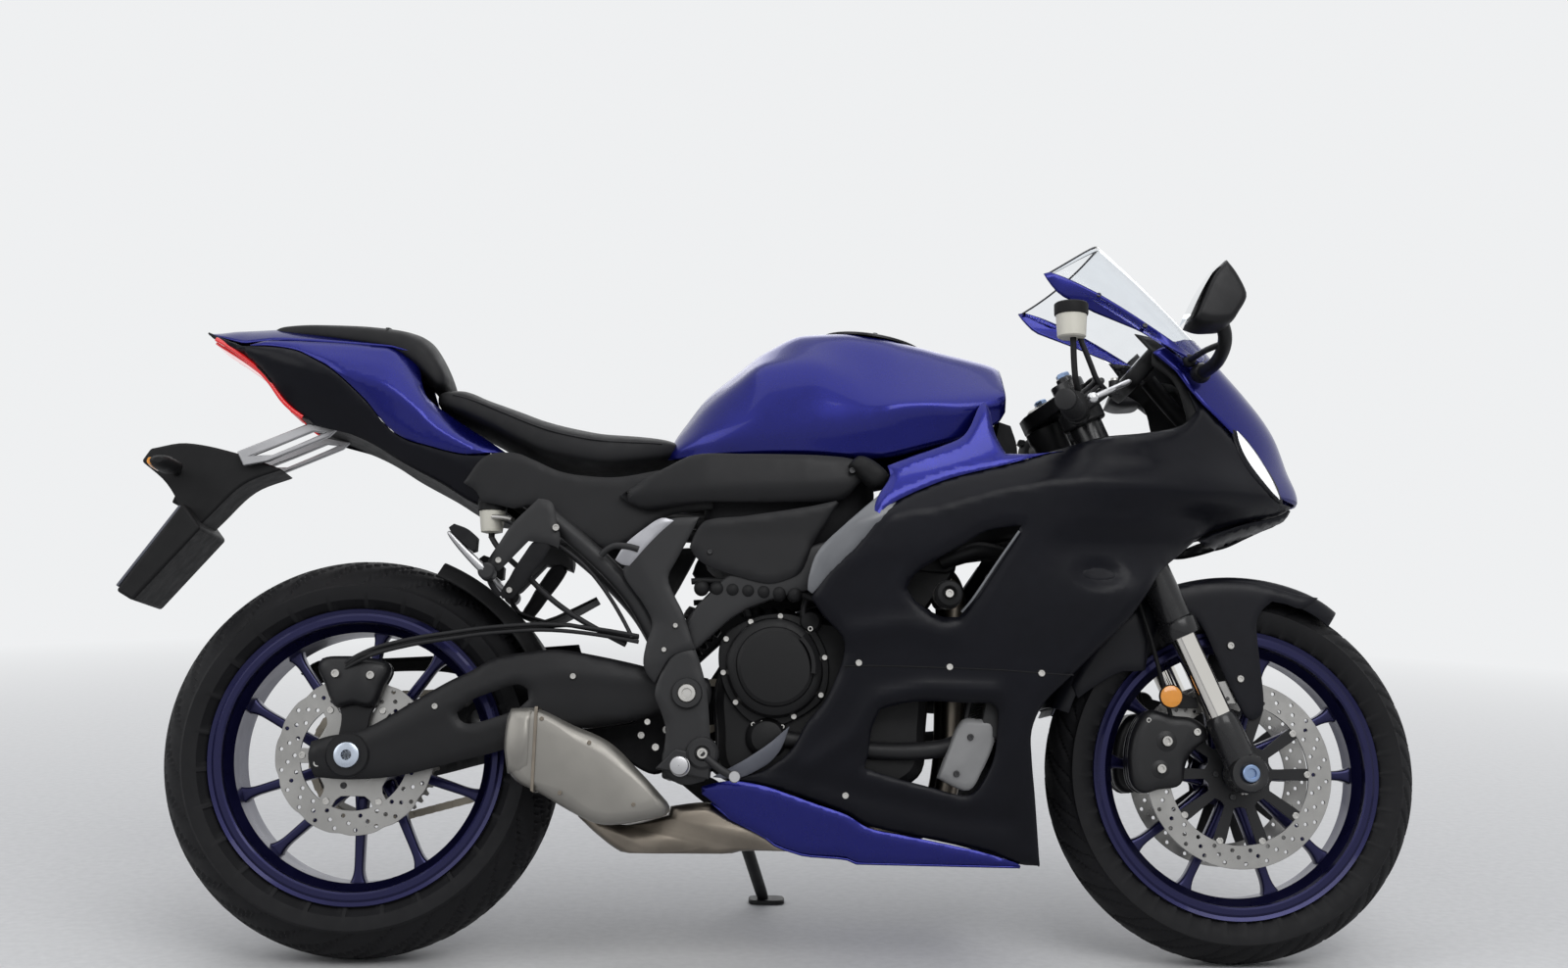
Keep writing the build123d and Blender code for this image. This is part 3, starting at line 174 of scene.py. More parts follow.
def inside(points, outline):
    """Which of the points (x, z) lie in the closed outline."""
    pts = np.asarray(points, float)
    line = np.asarray(outline, float)
    x, z = pts[:, 0], pts[:, 1]
    hit = np.zeros(len(pts), bool)
    for (x1, z1), (x2, z2) in zip(line, np.roll(line, -1, axis=0)):
        crosses = (z1 > z) != (z2 > z)
        with np.errstate(divide="ignore", invalid="ignore"):
            at = (x2 - x1) * (z - z1) / (z2 - z1) + x1
        hit ^= crosses & (x < at)
    return hit


def away(points, line, closed=True):
    """Distance of points (x, z) from a line."""
    pts = np.asarray(points, float)
    path = np.asarray(line, float)
    ends = np.roll(path, -1, axis=0) if closed else path[1:]
    starts = path if closed else path[:-1]
    best = np.full(len(pts), 1e9)
    for a, b in zip(starts, ends):
        run = b - a
        size = run @ run
        if size < 1e-9:
            continue
        t = np.clip(((pts - a) @ run) / size, 0, 1)
        best = np.minimum(best, np.hypot(*(pts - a - t[:, None] * run).T))
    return best


def flat_mesh(outline, holes=(), step=14.0, extra=()):
    """Triangles that fill an outline (x, z) with holes, with points inside at the step."""
    outline = [tuple(p) for p in outline]
    lo = np.min(outline, axis=0)
    hi = np.max(outline, axis=0)
    grid = []
    row = 0
    z = lo[1]
    while z < hi[1]:
        x = lo[0] + (step / 2 if row % 2 else 0)
        while x < hi[0]:
            grid.append((x, z))
            x += step
        z += step * 0.87
        row += 1
    grid += list(extra)
    keep = np.ones(len(grid), bool)
    if grid:
        keep = inside(grid, outline) & (away(grid, outline) > step * 0.35)
        for hole in holes:
            keep &= ~inside(grid, hole) & (away(grid, hole) > step * 0.35)
    points = [Vector(p) for p in outline]
    edges = [(i, (i + 1) % len(outline)) for i in range(len(outline))]
    for hole in holes:
        first = len(points)
        points += [Vector(p) for p in hole]
        edges += [(first + i, first + (i + 1) % len(hole)) for i in range(len(hole))]
    points += [Vector(p) for p, ok in zip(grid, keep) if ok]
    verts, _, faces, _, _, _ = delaunay_2d_cdt(points, edges, [], 0, 1e-5)
    verts = [tuple(v) for v in verts]
    middles = [tuple(np.mean([verts[i] for i in f], axis=0)) for f in faces]
    good = inside(middles, outline)
    for hole in holes:
        good &= ~inside(middles, hole)
    return verts, [f for f, ok in zip(faces, good) if ok]


def skin(name, outline, surf, mat, side=-1, holes=(), thick=3.0, step=12.0, lip=0.0, lip_width=6.0,
         rim=1.0, body="root", replaces=(), extra=()):
    """A panel cut to a side-view outline and laid on the surface y = surf(x, z), its edges turned in."""
    verts, faces = flat_mesh(outline, holes, step, extra)
    pts = np.array(verts)
    y = surf(pts[:, 0], pts[:, 1])
    if lip:
        gap = away(pts, outline)
        for hole in holes:
            gap = np.minimum(gap, away(pts, hole))
        y = y - lip * np.clip(1 - gap / lip_width, 0, 1) ** 2
    obj = mesh_object(name, [(x, side * v, z) for (x, z), v in zip(verts, y)], faces, mat, body, replaces,
                      sharp=50)
    total = sum((p.normal.y * p.area for p in obj.data.polygons), 0.0)
    if total * side < 0:
        obj.data.flip_normals()
    if thick:
        thicken(obj, thick)
    if rim:
        bevel(obj, rim, segments=2, angle=50)
    return obj


def flat_face(y):
    """A flat surface at a distance from the mid plane."""
    return lambda x, z: y + 0 * x


def plate(name, outline, near, far, mat, side=-1, holes=(), edge=1.5, body="root", replaces=(), segments=3,
          step=60.0):
    """A flat plate cut to a side-view outline, between two distances from the mid plane."""
    if holes:
        verts, faces = flat_mesh(outline, holes, step)
    else:
        verts, faces = [tuple(p) for p in outline], [tuple(range(len(outline)))]
    count = len(verts)
    borders = {}
    for face in faces:
        for a, b in zip(face, face[1:] + face[:1]):
            borders[(a, b)] = borders.get((a, b), 0) + 1
    rims = [(a, b) for a, b in borders if (b, a) not in borders]
    points = [(x, side * near, z) for x, z in verts] + [(x, side * far, z) for x, z in verts]
    solid = [tuple(face) for face in faces]
    solid += [tuple(count + i for i in reversed(face)) for face in faces]
    solid += [(b, a, a + count, b + count) for a, b in rims]
    obj = mesh_object(name, points, solid, mat, body, replaces, sharp=40)
    if edge:
        bevel(obj, edge, segments=segments, angle=35)
    return obj


def grid_object(name, rows, mat, body="root", replaces=(), wrap=False, caps=False, levels=0, sharp=0):
    """A surface through rows of equally many points; wrap joins each row's ends, caps close the body."""
    count = len(rows[0])
    points = [p for row in rows for p in row]
    faces = []
    span = count if wrap else count - 1
    for i in range(len(rows) - 1):
        for k in range(span):
            a, b = i * count + k, i * count + (k + 1) % count
            faces.append((a, b, b + count, a + count))
    if caps:
        faces.append(tuple(range(count)))
        faces.append(tuple((len(rows) - 1) * count + k for k in reversed(range(count))))
    obj = mesh_object(name, points, faces, mat, body, replaces, sharp=sharp)
    if levels:
        subdivide(obj, levels)
    return obj


def closed_grid(name, rows, mat, body="root", replaces=(), levels=0, sharp=0):
    """A solid through rings of points, closed at both ends."""
    return grid_object(name, rows, mat, body=body, replaces=replaces, wrap=True, caps=True, levels=levels,
                       sharp=sharp)


def angles(count, shift=0.0):
    """Equal steps of a full turn, in radians."""
    return [2 * math.pi * (k + shift) / count for k in range(count)]


def around(centre, radius, angle):
    """A point (x, z) at a radius and an angle about a centre."""
    return centre[0] + radius * math.cos(angle), centre[1] + radius * math.sin(angle)


def circle(centre, radius, count=24):
    """Points (x, z) of a circle."""
    return [around(centre, radius, a) for a in angles(count)]


def soft_ring(count, power_u, power_v, shift=0.0):
    """Points (u, v) of a circle of radius 1, squared off by powers under 1."""
    out = []
    for a in angles(count, shift):
        c, s = math.cos(a), math.sin(a)
        out.append((math.copysign(abs(c) ** power_u, c), math.copysign(abs(s) ** power_v, s)))
    return out


def stacked(outline, sections, side=1, mid=None):
    """Rings of a side-view outline: sections are (distance from the mid plane, size against the outline)."""
    mid = np.mean(outline, axis=0) if mid is None else mid
    return [[(mid[0] + (x - mid[0]) * s, side * y, mid[1] + (z - mid[1]) * s) for x, z in outline]
            for y, s in sections]


def inset(outline, amount):
    """An outline with every point moved by an amount towards its middle."""
    mid = np.mean(outline, axis=0)
    out = []
    for a, b in outline:
        d = np.array([a, b]) - mid
        size = max(np.hypot(*d), 1)
        out.append((a - d[0] / size * amount, b - d[1] / size * amount))
    return out


def block(name, outline, sections, side, mat, body="root", replaces=()):
    """A solid of one side-view outline: sections are (distance from the mid plane, inset)."""
    rows = [[(x, side * y, z) for x, z in inset(outline, amount)] for y, amount in sections]
    return closed_grid(name, rows, mat, body, replaces)


def on_side(side, points):
    """Points (x, distance from the mid plane, z) on one side."""
    return [(x, side * y, z) for x, y, z in points]


def facing(side, profile):
    """A turned profile (distance from the mid plane, radius) on one side."""
    return [(side * y, r) for y, r in profile]


def turned(name, profile, centre, mat, segments=96, body="root", replaces=(), sharp=35.0, closed=True):
    """A ring turned about a line along Y: profile points are (y, radius), centre is (x, z)."""
    count = len(profile)
    points = []
    for a in angles(segments):
        for y, r in profile:
            points.append((centre[0] + r * math.cos(a), y, centre[1] + r * math.sin(a)))
    faces = []
    span = count if closed else count - 1
    for s in range(segments):
        n = (s + 1) % segments
        for k in range(span):
            k2 = (k + 1) % count
            faces.append((s * count + k, s * count + k2, n * count + k2, n * count + k))
    return mesh_object(name, points, faces, mat, body, replaces, sharp=sharp)


def frame_of(direction, hint=(0, 0, 1)):
    """Two unit vectors square to a direction."""
    d = Vector(direction).normalized()
    h = Vector(hint)
    if abs(d.dot(h)) > 0.95:
        h = Vector((1, 0, 0))
    u = h.cross(d).normalized()
    return u, d.cross(u)


def add_turned(points, faces, origin, direction, profile, segments):
    """Adds a turned body, closed at both ends: profile points are (distance along, radius)."""
    u, v = frame_of(direction)
    d = Vector(direction).normalized()
    o = Vector(origin)
    first = len(points)
    for along, r in profile:
        for a in angles(segments):
            points.append(tuple(o + d * along + u * (r * math.cos(a)) + v * (r * math.sin(a))))
    for i in range(len(profile) - 1):
        for s in range(segments):
            a, b = first + i * segments + s, first + i * segments + (s + 1) % segments
            faces.append((a, b, b + segments, a + segments))
    faces.append(tuple(first + s for s in reversed(range(segments))))
    last = first + (len(profile) - 1) * segments
    faces.append(tuple(last + s for s in range(segments)))


def turned_set(name, items, mat, body="root", replaces=(), sharp=35.0):
    """Several turned bodies in one object: items are (origin, direction, profile, count of sides)."""
    points, faces = [], []
    for item in items:
        add_turned(points, faces, *item)
    return mesh_object(name, points, faces, mat, body, replaces, sharp=sharp)


def side_turned(name, side, items, mat, body="root", **more):
    """Turned bodies that point outwards on one side: items are ((x, distance out, z), profile, count)."""
    items = [((x, side * y, z), (0, side, 0), profile, count) for (x, y, z), profile, count in items]
    return turned_set(name, items, mat, body, **more)


def bolts(name, places, mat="bolt_steel", body="root", height=5.0, kind="socket"):
    """Bolt heads: places are (point, direction, radius), and the height is that of a 6 mm head."""
    items = []
    for point, direction, r in places:
        h = height * r / 6.0
        if kind == "socket":
            head = [(-1.5, r), (h * 0.7, r), (h, r * 0.86), (h, r * 0.52), (h * 0.45, r * 0.48)]
            items.append((point, direction, head, 20))
        else:
            washer = [(-1.5, r * 1.35), (h * 0.25, r * 1.35), (h * 0.3, r * 1.0)]
            items.append((point, direction, washer, 20))
            items.append((point, direction, [(h * 0.2, r), (h * 0.9, r), (h, r * 0.85)], 6))
    return turned_set(name, items, mat, body, sharp=30)


def side_bolts(name, side, spots, mat="bolt_steel", body="root", **more):
    """Bolt heads that face outwards on one side: spots are (x, distance out, z, radius)."""
    return bolts(name, [((x, side * y, z), (0, side, 0), r) for x, y, z, r in spots], mat, body, **more)


def ring_bolts(name, side, centre, radius, y, turns, size, mat="bolt_steel", body="root", **more):
    """Bolt heads on a circle, at angles in radians."""
    spots = [around(centre, radius, a) for a in turns]
    return side_bolts(name, side, [(x, y, z, size) for x, z in spots], mat, body, **more)


def tube(name, points, radius, mat, body="root", replaces=(), smooth_line=True, resolution=6):
    """A round tube along a line of points in mm in the bike frame."""
    curve = bpy.data.curves.new(name, "CURVE")
    curve.dimensions = "3D"
    curve.bevel_depth = radius * MM
    curve.bevel_resolution = resolution
    curve.use_fill_caps = True
    spline = curve.splines.new("NURBS" if smooth_line else "POLY")
    spline.points.add(len(points) - 1)
    for slot, p in zip(spline.points, points):
        slot.co = (p[0] * MM, p[1] * MM, p[2] * MM, 1)
    if smooth_line:
        spline.order_u = 3
        spline.use_endpoint_u = True
        curve.resolution_u = 8
    obj = bpy.data.objects.new(name, curve)
    return place(obj, mat, body, replaces)


def slopes(xs, ys):
    """Slopes of a smooth curve through points that never overshoots them."""
    h = np.diff(xs)
    d = np.diff(ys, axis=0) / h.reshape(-1, *([1] * (ys.ndim - 1)))
    m = np.zeros_like(ys)
    m[0], m[-1] = d[0], d[-1]
    both = d[:-1] * d[1:] > 0
    with np.errstate(divide="ignore", invalid="ignore"):
        mean = 2 * d[:-1] * d[1:] / (d[:-1] + d[1:])
    m[1:-1] = np.where(both, mean, 0)
    return m


def curve_at(xs, ys, x):
    """Value of the smooth curve through (xs, ys) at x; ys may hold several columns."""
    xs = np.asarray(xs, float)
    ys = np.asarray(ys, float)
    m = slopes(xs, ys)
    x = np.clip(np.asarray(x, float), xs[0], xs[-1])
    i = np.clip(np.searchsorted(xs, x) - 1, 0, len(xs) - 2)
    h = xs[i + 1] - xs[i]
    t = (x - xs[i]) / h
    if ys.ndim > 1:
        t, h = t[..., None], h[..., None]
    return ((2 * t ** 3 - 3 * t ** 2 + 1) * ys[i] + (t ** 3 - 2 * t ** 2 + t) * h * m[i]
            + (-2 * t ** 3 + 3 * t ** 2) * ys[i + 1] + (t ** 3 - t ** 2) * h * m[i + 1])


# ------------------------------------------------------------------ materials
def new_material(name):
    """An empty node material: its tree, its shader and a texture coordinate node."""
    mat = bpy.data.materials.new(name)
    mat.use_nodes = True
    tree = mat.node_tree
    shader = tree.nodes["Principled BSDF"]
    coord = tree.nodes.new("ShaderNodeTexCoord")
    return mat, tree, shader, coord


def noise_node(tree, coord, scale, detail=3.0):
    """A noise texture on object coordinates, in cycles per metre."""
    node = tree.nodes.new("ShaderNodeTexNoise")
    node.inputs["Scale"].default_value = scale
    node.inputs["Detail"].default_value = detail
    tree.links.new(coord.outputs["Object"], node.inputs["Vector"])
    return node


def ramp_node(tree, source, stops):
    """A colour ramp: stops are (position, colour), the colour grey or (r, g, b)."""
    node = tree.nodes.new("ShaderNodeValToRGB")
    elements = node.color_ramp.elements
    while len(elements) < len(stops):
        elements.new(0.5)
    for element, (place, colour) in zip(elements, stops):
        if not isinstance(colour, tuple):
            colour = (colour, colour, colour)
        element.position = place
        element.color = (*colour, 1.0)
    tree.links.new(source, node.inputs["Fac"])
    return node


def add_bump(tree, shader, height, distance):
    """Bump of a height in metres on the shader's normal."""
    node = tree.nodes.new("ShaderNodeBump")
    node.inputs["Distance"].default_value = distance
    node.inputs["Strength"].default_value = 1.0
    tree.links.new(height, node.inputs["Height"])
    tree.links.new(node.outputs["Normal"], shader.inputs["Normal"])


CLOUD_SCALE = 14.0  # clouds of colour per metre


def scaled(colour, factor):
    """A colour made lighter or darker."""
    return tuple(min(1.0, c * factor) for c in colour)


def surface(name, colour, rough, metallic=0.0, vary=0.12, rough_vary=0.06, grain=0.0, grain_scale=1500.0,
            coat=0.0, coat_rough=0.05, specular=0.5, glow=None):
    """A solid finish: cloudy colour, uneven roughness and fine grain."""
    mat, tree, shader, coord = new_material(name)
    cloud = noise_node(tree, coord, CLOUD_SCALE, detail=5.0)
    tone = ramp_node(tree, cloud.outputs["Fac"],
                     [(0.3, scaled(colour, 1 - vary)), (0.7, scaled(colour, 1 + vary))])
    tree.links.new(tone.outputs["Color"], shader.inputs["Base Color"])
    wear = noise_node(tree, coord, CLOUD_SCALE * 4, detail=6.0)
    gloss = ramp_node(tree, wear.outputs["Fac"],
                      [(0.3, max(0.02, rough - rough_vary)), (0.7, rough + rough_vary)])
    tree.links.new(gloss.outputs["Color"], shader.inputs["Roughness"])
    shader.inputs["Metallic"].default_value = metallic
    shader.inputs["Specular IOR Level"].default_value = specular
    shader.inputs["Coat Weight"].default_value = coat
    shader.inputs["Coat Roughness"].default_value = coat_rough
    if glow:
        shader.inputs["Emission Color"].default_value = (*glow[:3], 1)
        shader.inputs["Emission Strength"].default_value = glow[3]
    if grain:
        fine = noise_node(tree, coord, grain_scale, detail=2.0)
        add_bump(tree, shader, fine.outputs["Fac"], grain)
    return mat


def clear_plastic(name, colour):
    """Thin clear plastic: light passes nearly straight through, with faint cloudiness."""
    mat, tree, shader, coord = new_material(name)
    cloud = noise_node(tree, coord, 40.0, detail=4.0)
    tone = ramp_node(tree, cloud.outputs["Fac"], [(0.3, scaled(colour, 0.97)), (0.7, colour)])
    tree.links.new(tone.outputs["Color"], shader.inputs["Base Color"])
    shader.inputs["Roughness"].default_value = 0.03
    shader.inputs["Transmission Weight"].default_value = 1.0
    shader.inputs["IOR"].default_value = 1.12
    return mat


def metal_paint(name, colour, flake=0.5, rough=0.3, coat=1.0):
    """Metallic colour with fine flakes under clear coat."""
    mat, tree, shader, coord = new_material(name)
    flakes = tree.nodes.new("ShaderNodeTexVoronoi")
    flakes.inputs["Scale"].default_value = 2600.0
    tree.links.new(coord.outputs["Object"], flakes.inputs["Vector"])
    tone = ramp_node(tree, flakes.outputs["Color"],
                     [(0.0, scaled(colour, 1 - 0.35 * flake)), (1.0, scaled(colour, 1 + 0.9 * flake))])
    tree.links.new(tone.outputs["Color"], shader.inputs["Base Color"])
    cloud = noise_node(tree, coord, 30.0, detail=4.0)
    gloss = ramp_node(tree, cloud.outputs["Fac"], [(0.3, rough - 0.04), (0.7, rough + 0.04)])
    tree.links.new(gloss.outputs["Color"], shader.inputs["Roughness"])
    shader.inputs["Metallic"].default_value = 0.75
    shader.inputs["Coat Weight"].default_value = coat
    shader.inputs["Coat Roughness"].default_value = 0.07
    peel = noise_node(tree, coord, 260.0, detail=1.0)
    add_bump(tree, shader, peel.outputs["Fac"], 0.00003)
    return mat


MATS = {
    "tyre": surface("tyre_rubber", (0.0065, 0.0065, 0.0075), rough=0.62, specular=0.2, vary=0.2, grain=0.0002,
                    grain_scale=900),
    "rim_blue": metal_paint("rim_indigo", (0.008, 0.008, 0.046), flake=0.4, coat=0.2),
    "disc_steel": surface("disc_steel", (0.32, 0.315, 0.305), rough=0.32, metallic=1.0, grain=0.00004,
                          grain_scale=2500),
    "sprocket_steel": surface("sprocket_steel", (0.30, 0.29, 0.27), rough=0.38, metallic=1.0),
    "axle_alloy": surface("axle_alloy", (0.45, 0.50, 0.58), rough=0.3, metallic=1.0),
    "fork_black": surface("fork_black", (0.010, 0.010, 0.011), rough=0.28, specular=0.35, coat=0.15),
    "fork_chrome": surface("fork_chrome", (0.66, 0.64, 0.60), rough=0.08, metallic=1.0, vary=0.03,
                           rough_vary=0.02),
    "clamp_black": surface("clamp_black", (0.012, 0.012, 0.013), rough=0.42, metallic=0.1, specular=0.3,
                           grain=0.00005),
    "grip_rubber": surface("grip_rubber", (0.008, 0.008, 0.009), rough=0.75, specular=0.25, grain=0.0002,
                           grain_scale=1200),
    "lever_alloy": surface("lever_alloy", (0.55, 0.55, 0.56), rough=0.3, metallic=1.0),
    "reservoir_plastic": surface("reservoir_plastic", (0.62, 0.60, 0.52), rough=0.42, vary=0.05),
    "caliper_black": surface("caliper_black", (0.010, 0.010, 0.011), rough=0.38, specular=0.3, grain=0.0001),
    "panel_dark": surface("panel_dark", (0.0038, 0.0040, 0.0068), rough=0.36, specular=0.13, coat=0.03,
                          coat_rough=0.2),
    "arm_grey": surface("arm_grey", (0.0095, 0.0095, 0.0105), rough=0.42, specular=0.22, grain=0.00006),
    "trim_black": surface("trim_black", (0.007, 0.007, 0.0075), rough=0.6, specular=0.2, grain=0.0001),
    "chain_steel": surface("chain_steel", (0.32, 0.29, 0.24), rough=0.4, metallic=1.0),
    "frame_grey": surface("frame_grey", (0.017, 0.017, 0.018), rough=0.45, specular=0.3, grain=0.00006),
    "engine_black": surface("engine_black", (0.0065, 0.0065, 0.007), rough=0.46, specular=0.2, grain=0.0001),
    "radiator_black": surface("radiator_black", (0.010, 0.010, 0.011), rough=0.5, specular=0.3),
    "coolant_grey": surface("coolant_grey", (0.20, 0.20, 0.20), rough=0.42),
    "exhaust_steel": surface("exhaust_steel", (0.20, 0.175, 0.145), rough=0.38, metallic=1.0, vary=0.25),
    "muffler_satin": surface("muffler_satin", (0.235, 0.225, 0.205), rough=0.42, metallic=0.7, vary=0.08),
    "paint_blue": metal_paint("paint_blue", (0.0045, 0.0062, 0.125), flake=0.6, rough=0.28, coat=0.32),
    "screen_clear": clear_plastic("screen_clear", (0.93, 0.95, 0.97)),
    "panel_satin": surface("panel_satin", (0.010, 0.010, 0.011), rough=0.42, specular=0.22, grain=0.00006),
    "tab_grey": surface("tab_grey", (0.085, 0.09, 0.11), rough=0.4),
    "strip_grey": surface("strip_grey", (0.13, 0.135, 0.145), rough=0.42, coat=0.3, coat_rough=0.2),
    "bolt_steel": surface("bolt_steel", (0.48, 0.47, 0.45), rough=0.3, metallic=1.0),
    "bolt_dark": surface("bolt_dark", (0.05, 0.05, 0.052), rough=0.35, metallic=0.8),
    "glass_white": surface("lens_white", (0.80, 0.82, 0.84), rough=0.08, vary=0.04, coat=0.6,
                           glow=(1.0, 1.0, 1.0, 0.55)),
    "inner_black": surface("inner_black", (0.007, 0.007, 0.008), rough=0.7, specular=0.2, grain=0.0001),
    "mirror_glass": surface("mirror_glass", (0.75, 0.77, 0.78), rough=0.03, metallic=1.0, vary=0.02,
                            rough_vary=0.01),
    "amber": surface("amber_lens", (0.80, 0.30, 0.02), rough=0.2, coat=0.6),
    "red_plastic": surface("red_plastic", (0.55, 0.05, 0.02), rough=0.4),
    "hose_black": surface("hose_rubber", (0.008, 0.008, 0.009), rough=0.5, specular=0.3, grain=0.00015,
                          grain_scale=900),
    "silver_arm": surface("silver_arm", (0.36, 0.36, 0.37), rough=0.4, metallic=0.8),
    # bright silver that paints a highlight on the frame cover's facet
    "highlight_silver": surface("highlight_silver", (0.34, 0.34, 0.36), rough=0.36, metallic=0.7),
    "blue_alloy": surface("blue_alloy", (0.22, 0.30, 0.46), rough=0.3, metallic=0.9),
    "fender_navy": surface("fender_navy", (0.0050, 0.0052, 0.0080), rough=0.36, specular=0.16, coat=0.04,
                           coat_rough=0.2),
    "screen_edge": surface("screen_edge", (0.012, 0.013, 0.02), rough=0.25),
    "cap_black": surface("cap_black", (0.012, 0.012, 0.013), rough=0.3, metallic=0.2, specular=0.3),
    "seat_black": surface("seat_vinyl", (0.0085, 0.0085, 0.0095), rough=0.6, specular=0.25, grain=0.0003,
                          grain_scale=800),
    "lamp_red": surface("lamp_red", (0.45, 0.01, 0.012), rough=0.12, vary=0.05, coat=0.6,
                        glow=(1.0, 0.02, 0.02, 0.3)),
    "peg_alloy": surface("peg_alloy", (0.42, 0.42, 0.43), rough=0.36, metallic=1.0),
    "lamp_clear": surface("lamp_clear", (0.75, 0.78, 0.80), rough=0.08, coat=1.0),
    "stand_black": surface("stand_black", (0.010, 0.010, 0.011), rough=0.5, specular=0.3, grain=0.0001),
}

for entry in frame["record"]["subparts"]:
    node = NODES[entry["node"]]
    if not node.material_slots:
        node.data.materials.append(None)
    for slot in node.material_slots:
        slot.material = MATS[entry["material_slot"]]

# ------------------------------------------------------------------ fairing surface
PLAN = [
    (140, 5, 60, 90, 112, 122, 126, 124, 108),
    (300, 5, 74, 112, 142, 160, 168, 166, 150),
    (450, 5, 84, 128, 162, 184, 198, 194, 176),
    (560, 5, 92, 140, 178, 200, 214, 210, 192),
    (640, -60, 60, 128, 168, 206, 221, 218, 200),
    (684, 0, 30, 100, 150, 204, 226, 223, 202),
    (725, 105, 24, 68, 118, 184, 230, 225, 203),
    (750, 129, 18, 62, 118, 188, 232, 226, 203),
    (800, 112, 20, 64, 114, 170, 196, 198, 190),
    (856, 92, 22, 66, 108, 152, 178, 180, 172),
    (980, -5, 30, 76, 106, 134, 152, 150, 140),
    (1060, -75, 32, 68, 94, 120, 138, 138, 128),
]
PLAN_Z = [row[0] for row in PLAN]
PLAN_NOSE = [FRONT_AXLE[0] + row[1] for row in PLAN]
PLAN_W = [[0.0, *row[3:]] for row in PLAN]
CREASE = [(540, 640), (700, 668), (890, 697), (991, 727), (1072, 742), (1132, 747), (1243, 744), (1344, 731),
          (1425, 722), (1524, 750)]


def nose_at(z):
    """The nose's tip at a height."""
    return curve_at(PLAN_Z, PLAN_NOSE, z)


def half_width(x, z):
    """Distance of the front bodywork from the mid plane."""
    x = np.atleast_1d(np.asarray(x, float))
    z = np.atleast_1d(np.asarray(z, float))
    crease = np.interp(x, [p[0] for p in CREASE], [p[1] for p in CREASE])
    shift = (750 - crease) * np.exp(-((z - crease) / 95.0) ** 2)
    zz = z + shift
    nose = curve_at(PLAN_Z, PLAN_NOSE, z)
    index = np.clip(np.searchsorted(PLAN_Z, zz) - 1, 0, len(PLAN_Z) - 2)
    lo = np.array(PLAN_Z)[index]
    hi = np.array(PLAN_Z)[index + 1]
    straight = (np.clip(zz, PLAN_Z[0], PLAN_Z[-1]) - lo) / (hi - lo)
    widths = np.array(PLAN_W)
    linear = widths[index] * (1 - straight[:, None]) + widths[index + 1] * straight[:, None]
    soft = curve_at(PLAN_Z, PLAN_W, zz)
    near_crease = np.exp(-((zz - 750) / 30.0) ** 2)[:, None]
    columns = soft * (1 - near_crease) + linear * near_crease
    behind = np.maximum(nose - x, 0)
    stations = [0 * nose, 0 * nose + 35, 0 * nose + 100, 0 * nose + 220, nose - 1040, nose - 820, nose - 540]
    sides = np.maximum(np.stack(stations, axis=1), 0)
    out = np.empty(len(x))
    for i in range(len(x)):
        out[i] = curve_at(np.sqrt(sides[i]), columns[i], math.sqrt(behind[i]))
    return out


def fairing_y(x, z):
    """The side fairing's outer surface, with its raised and sunk forms."""
    y = half_width(x, z)
    pts = np.stack([np.atleast_1d(x), np.atleast_1d(z)], axis=1)
    x, z = pts[:, 0], pts[:, 1]
    ridge = away(pts, [(700, 472), (762, 508), (850, 520), (905, 505)], closed=False)
    y = y + 5 * np.exp(-(ridge / 16) ** 2)
    scoop = away(pts, [(700, 300), (770, 352), (806, 408), (880, 424), (985, 420)], closed=False)
    y = y + 7 * np.exp(-(scoop / 13) ** 2)
    lower = away(pts, [(640, 300), (800, 262), (930, 232), (1010, 225)], closed=False)
    y = y - 5 * np.exp(-(lower / 16) ** 2)
    oval = np.hypot((x - 1150) / 34, (z - 603) / 17)
    y = y - 9 / (1 + np.exp((oval - 1) * 9))
    return y


SIDE_DARK = [
    (820, 700), (851, 721), (917, 750), (1013, 775), (1080, 797), (1162, 822), (1239, 835), (1301, 851),
    (1330, 880), (1320, 916), (1341, 891), (1390, 844), (1411, 827), (1441, 781), (1471, 745), (1508, 739),
    (1503, 729), (1471, 715), (1421, 701), (1364, 691), (1334, 675), (1296, 645), (1254, 612), (1227, 575),
    (1196, 534), (1144, 483), (1093, 433), (1063, 403), (1046, 363), (1047, 319), (1053, 265), (1064, 157),
    (1028, 160), (990, 176), (918, 192), (797, 216), (764, 235), (677, 265), (594, 285), (640, 302),
    (676, 330), (700, 372), (724, 400), (744, 440), (756, 480), (752, 502), (722, 534), (704, 560),
    (722, 592), (770, 640),
]
SIDE_BLUE = [
    (799, 677), (818, 699), (850, 719), (917, 748), (1013, 774), (1079, 794), (1100, 797), (1084, 795),
    (1048, 791), (1008, 791), (992, 826), (987, 860), (980, 878), (972, 874), (964, 858), (952, 832),
    (938, 816), (902, 800), (862, 785), (822, 768), (826, 752), (808, 722), (800, 700),
]
VENT_STRIP = [(809, 722), (842, 706), (800, 664), (752, 614), (706, 566), (698, 572), (700, 594), (714, 632),
              (760, 678)]
LOWER_TAB = [(557, 288), (580, 301), (607, 316), (640, 338), (674, 366), (662, 332), (646, 312), (628, 300),
             (595, 286)]
UPPER_VENT = [(1026, 674), (990, 618), (951, 558), (931, 534), (908, 534), (884, 544), (862, 560), (851, 577),
              (862, 596), (900, 622), (940, 645), (972, 664)]
LOWER_VENT = [(812, 392), (850, 402), (888, 405), (940, 403), (984, 402), (992, 394), (992, 360), (988, 323),
              (974, 290), (957, 268), (940, 264), (892, 276), (836, 290), (790, 304), (796, 330), (800, 362)]
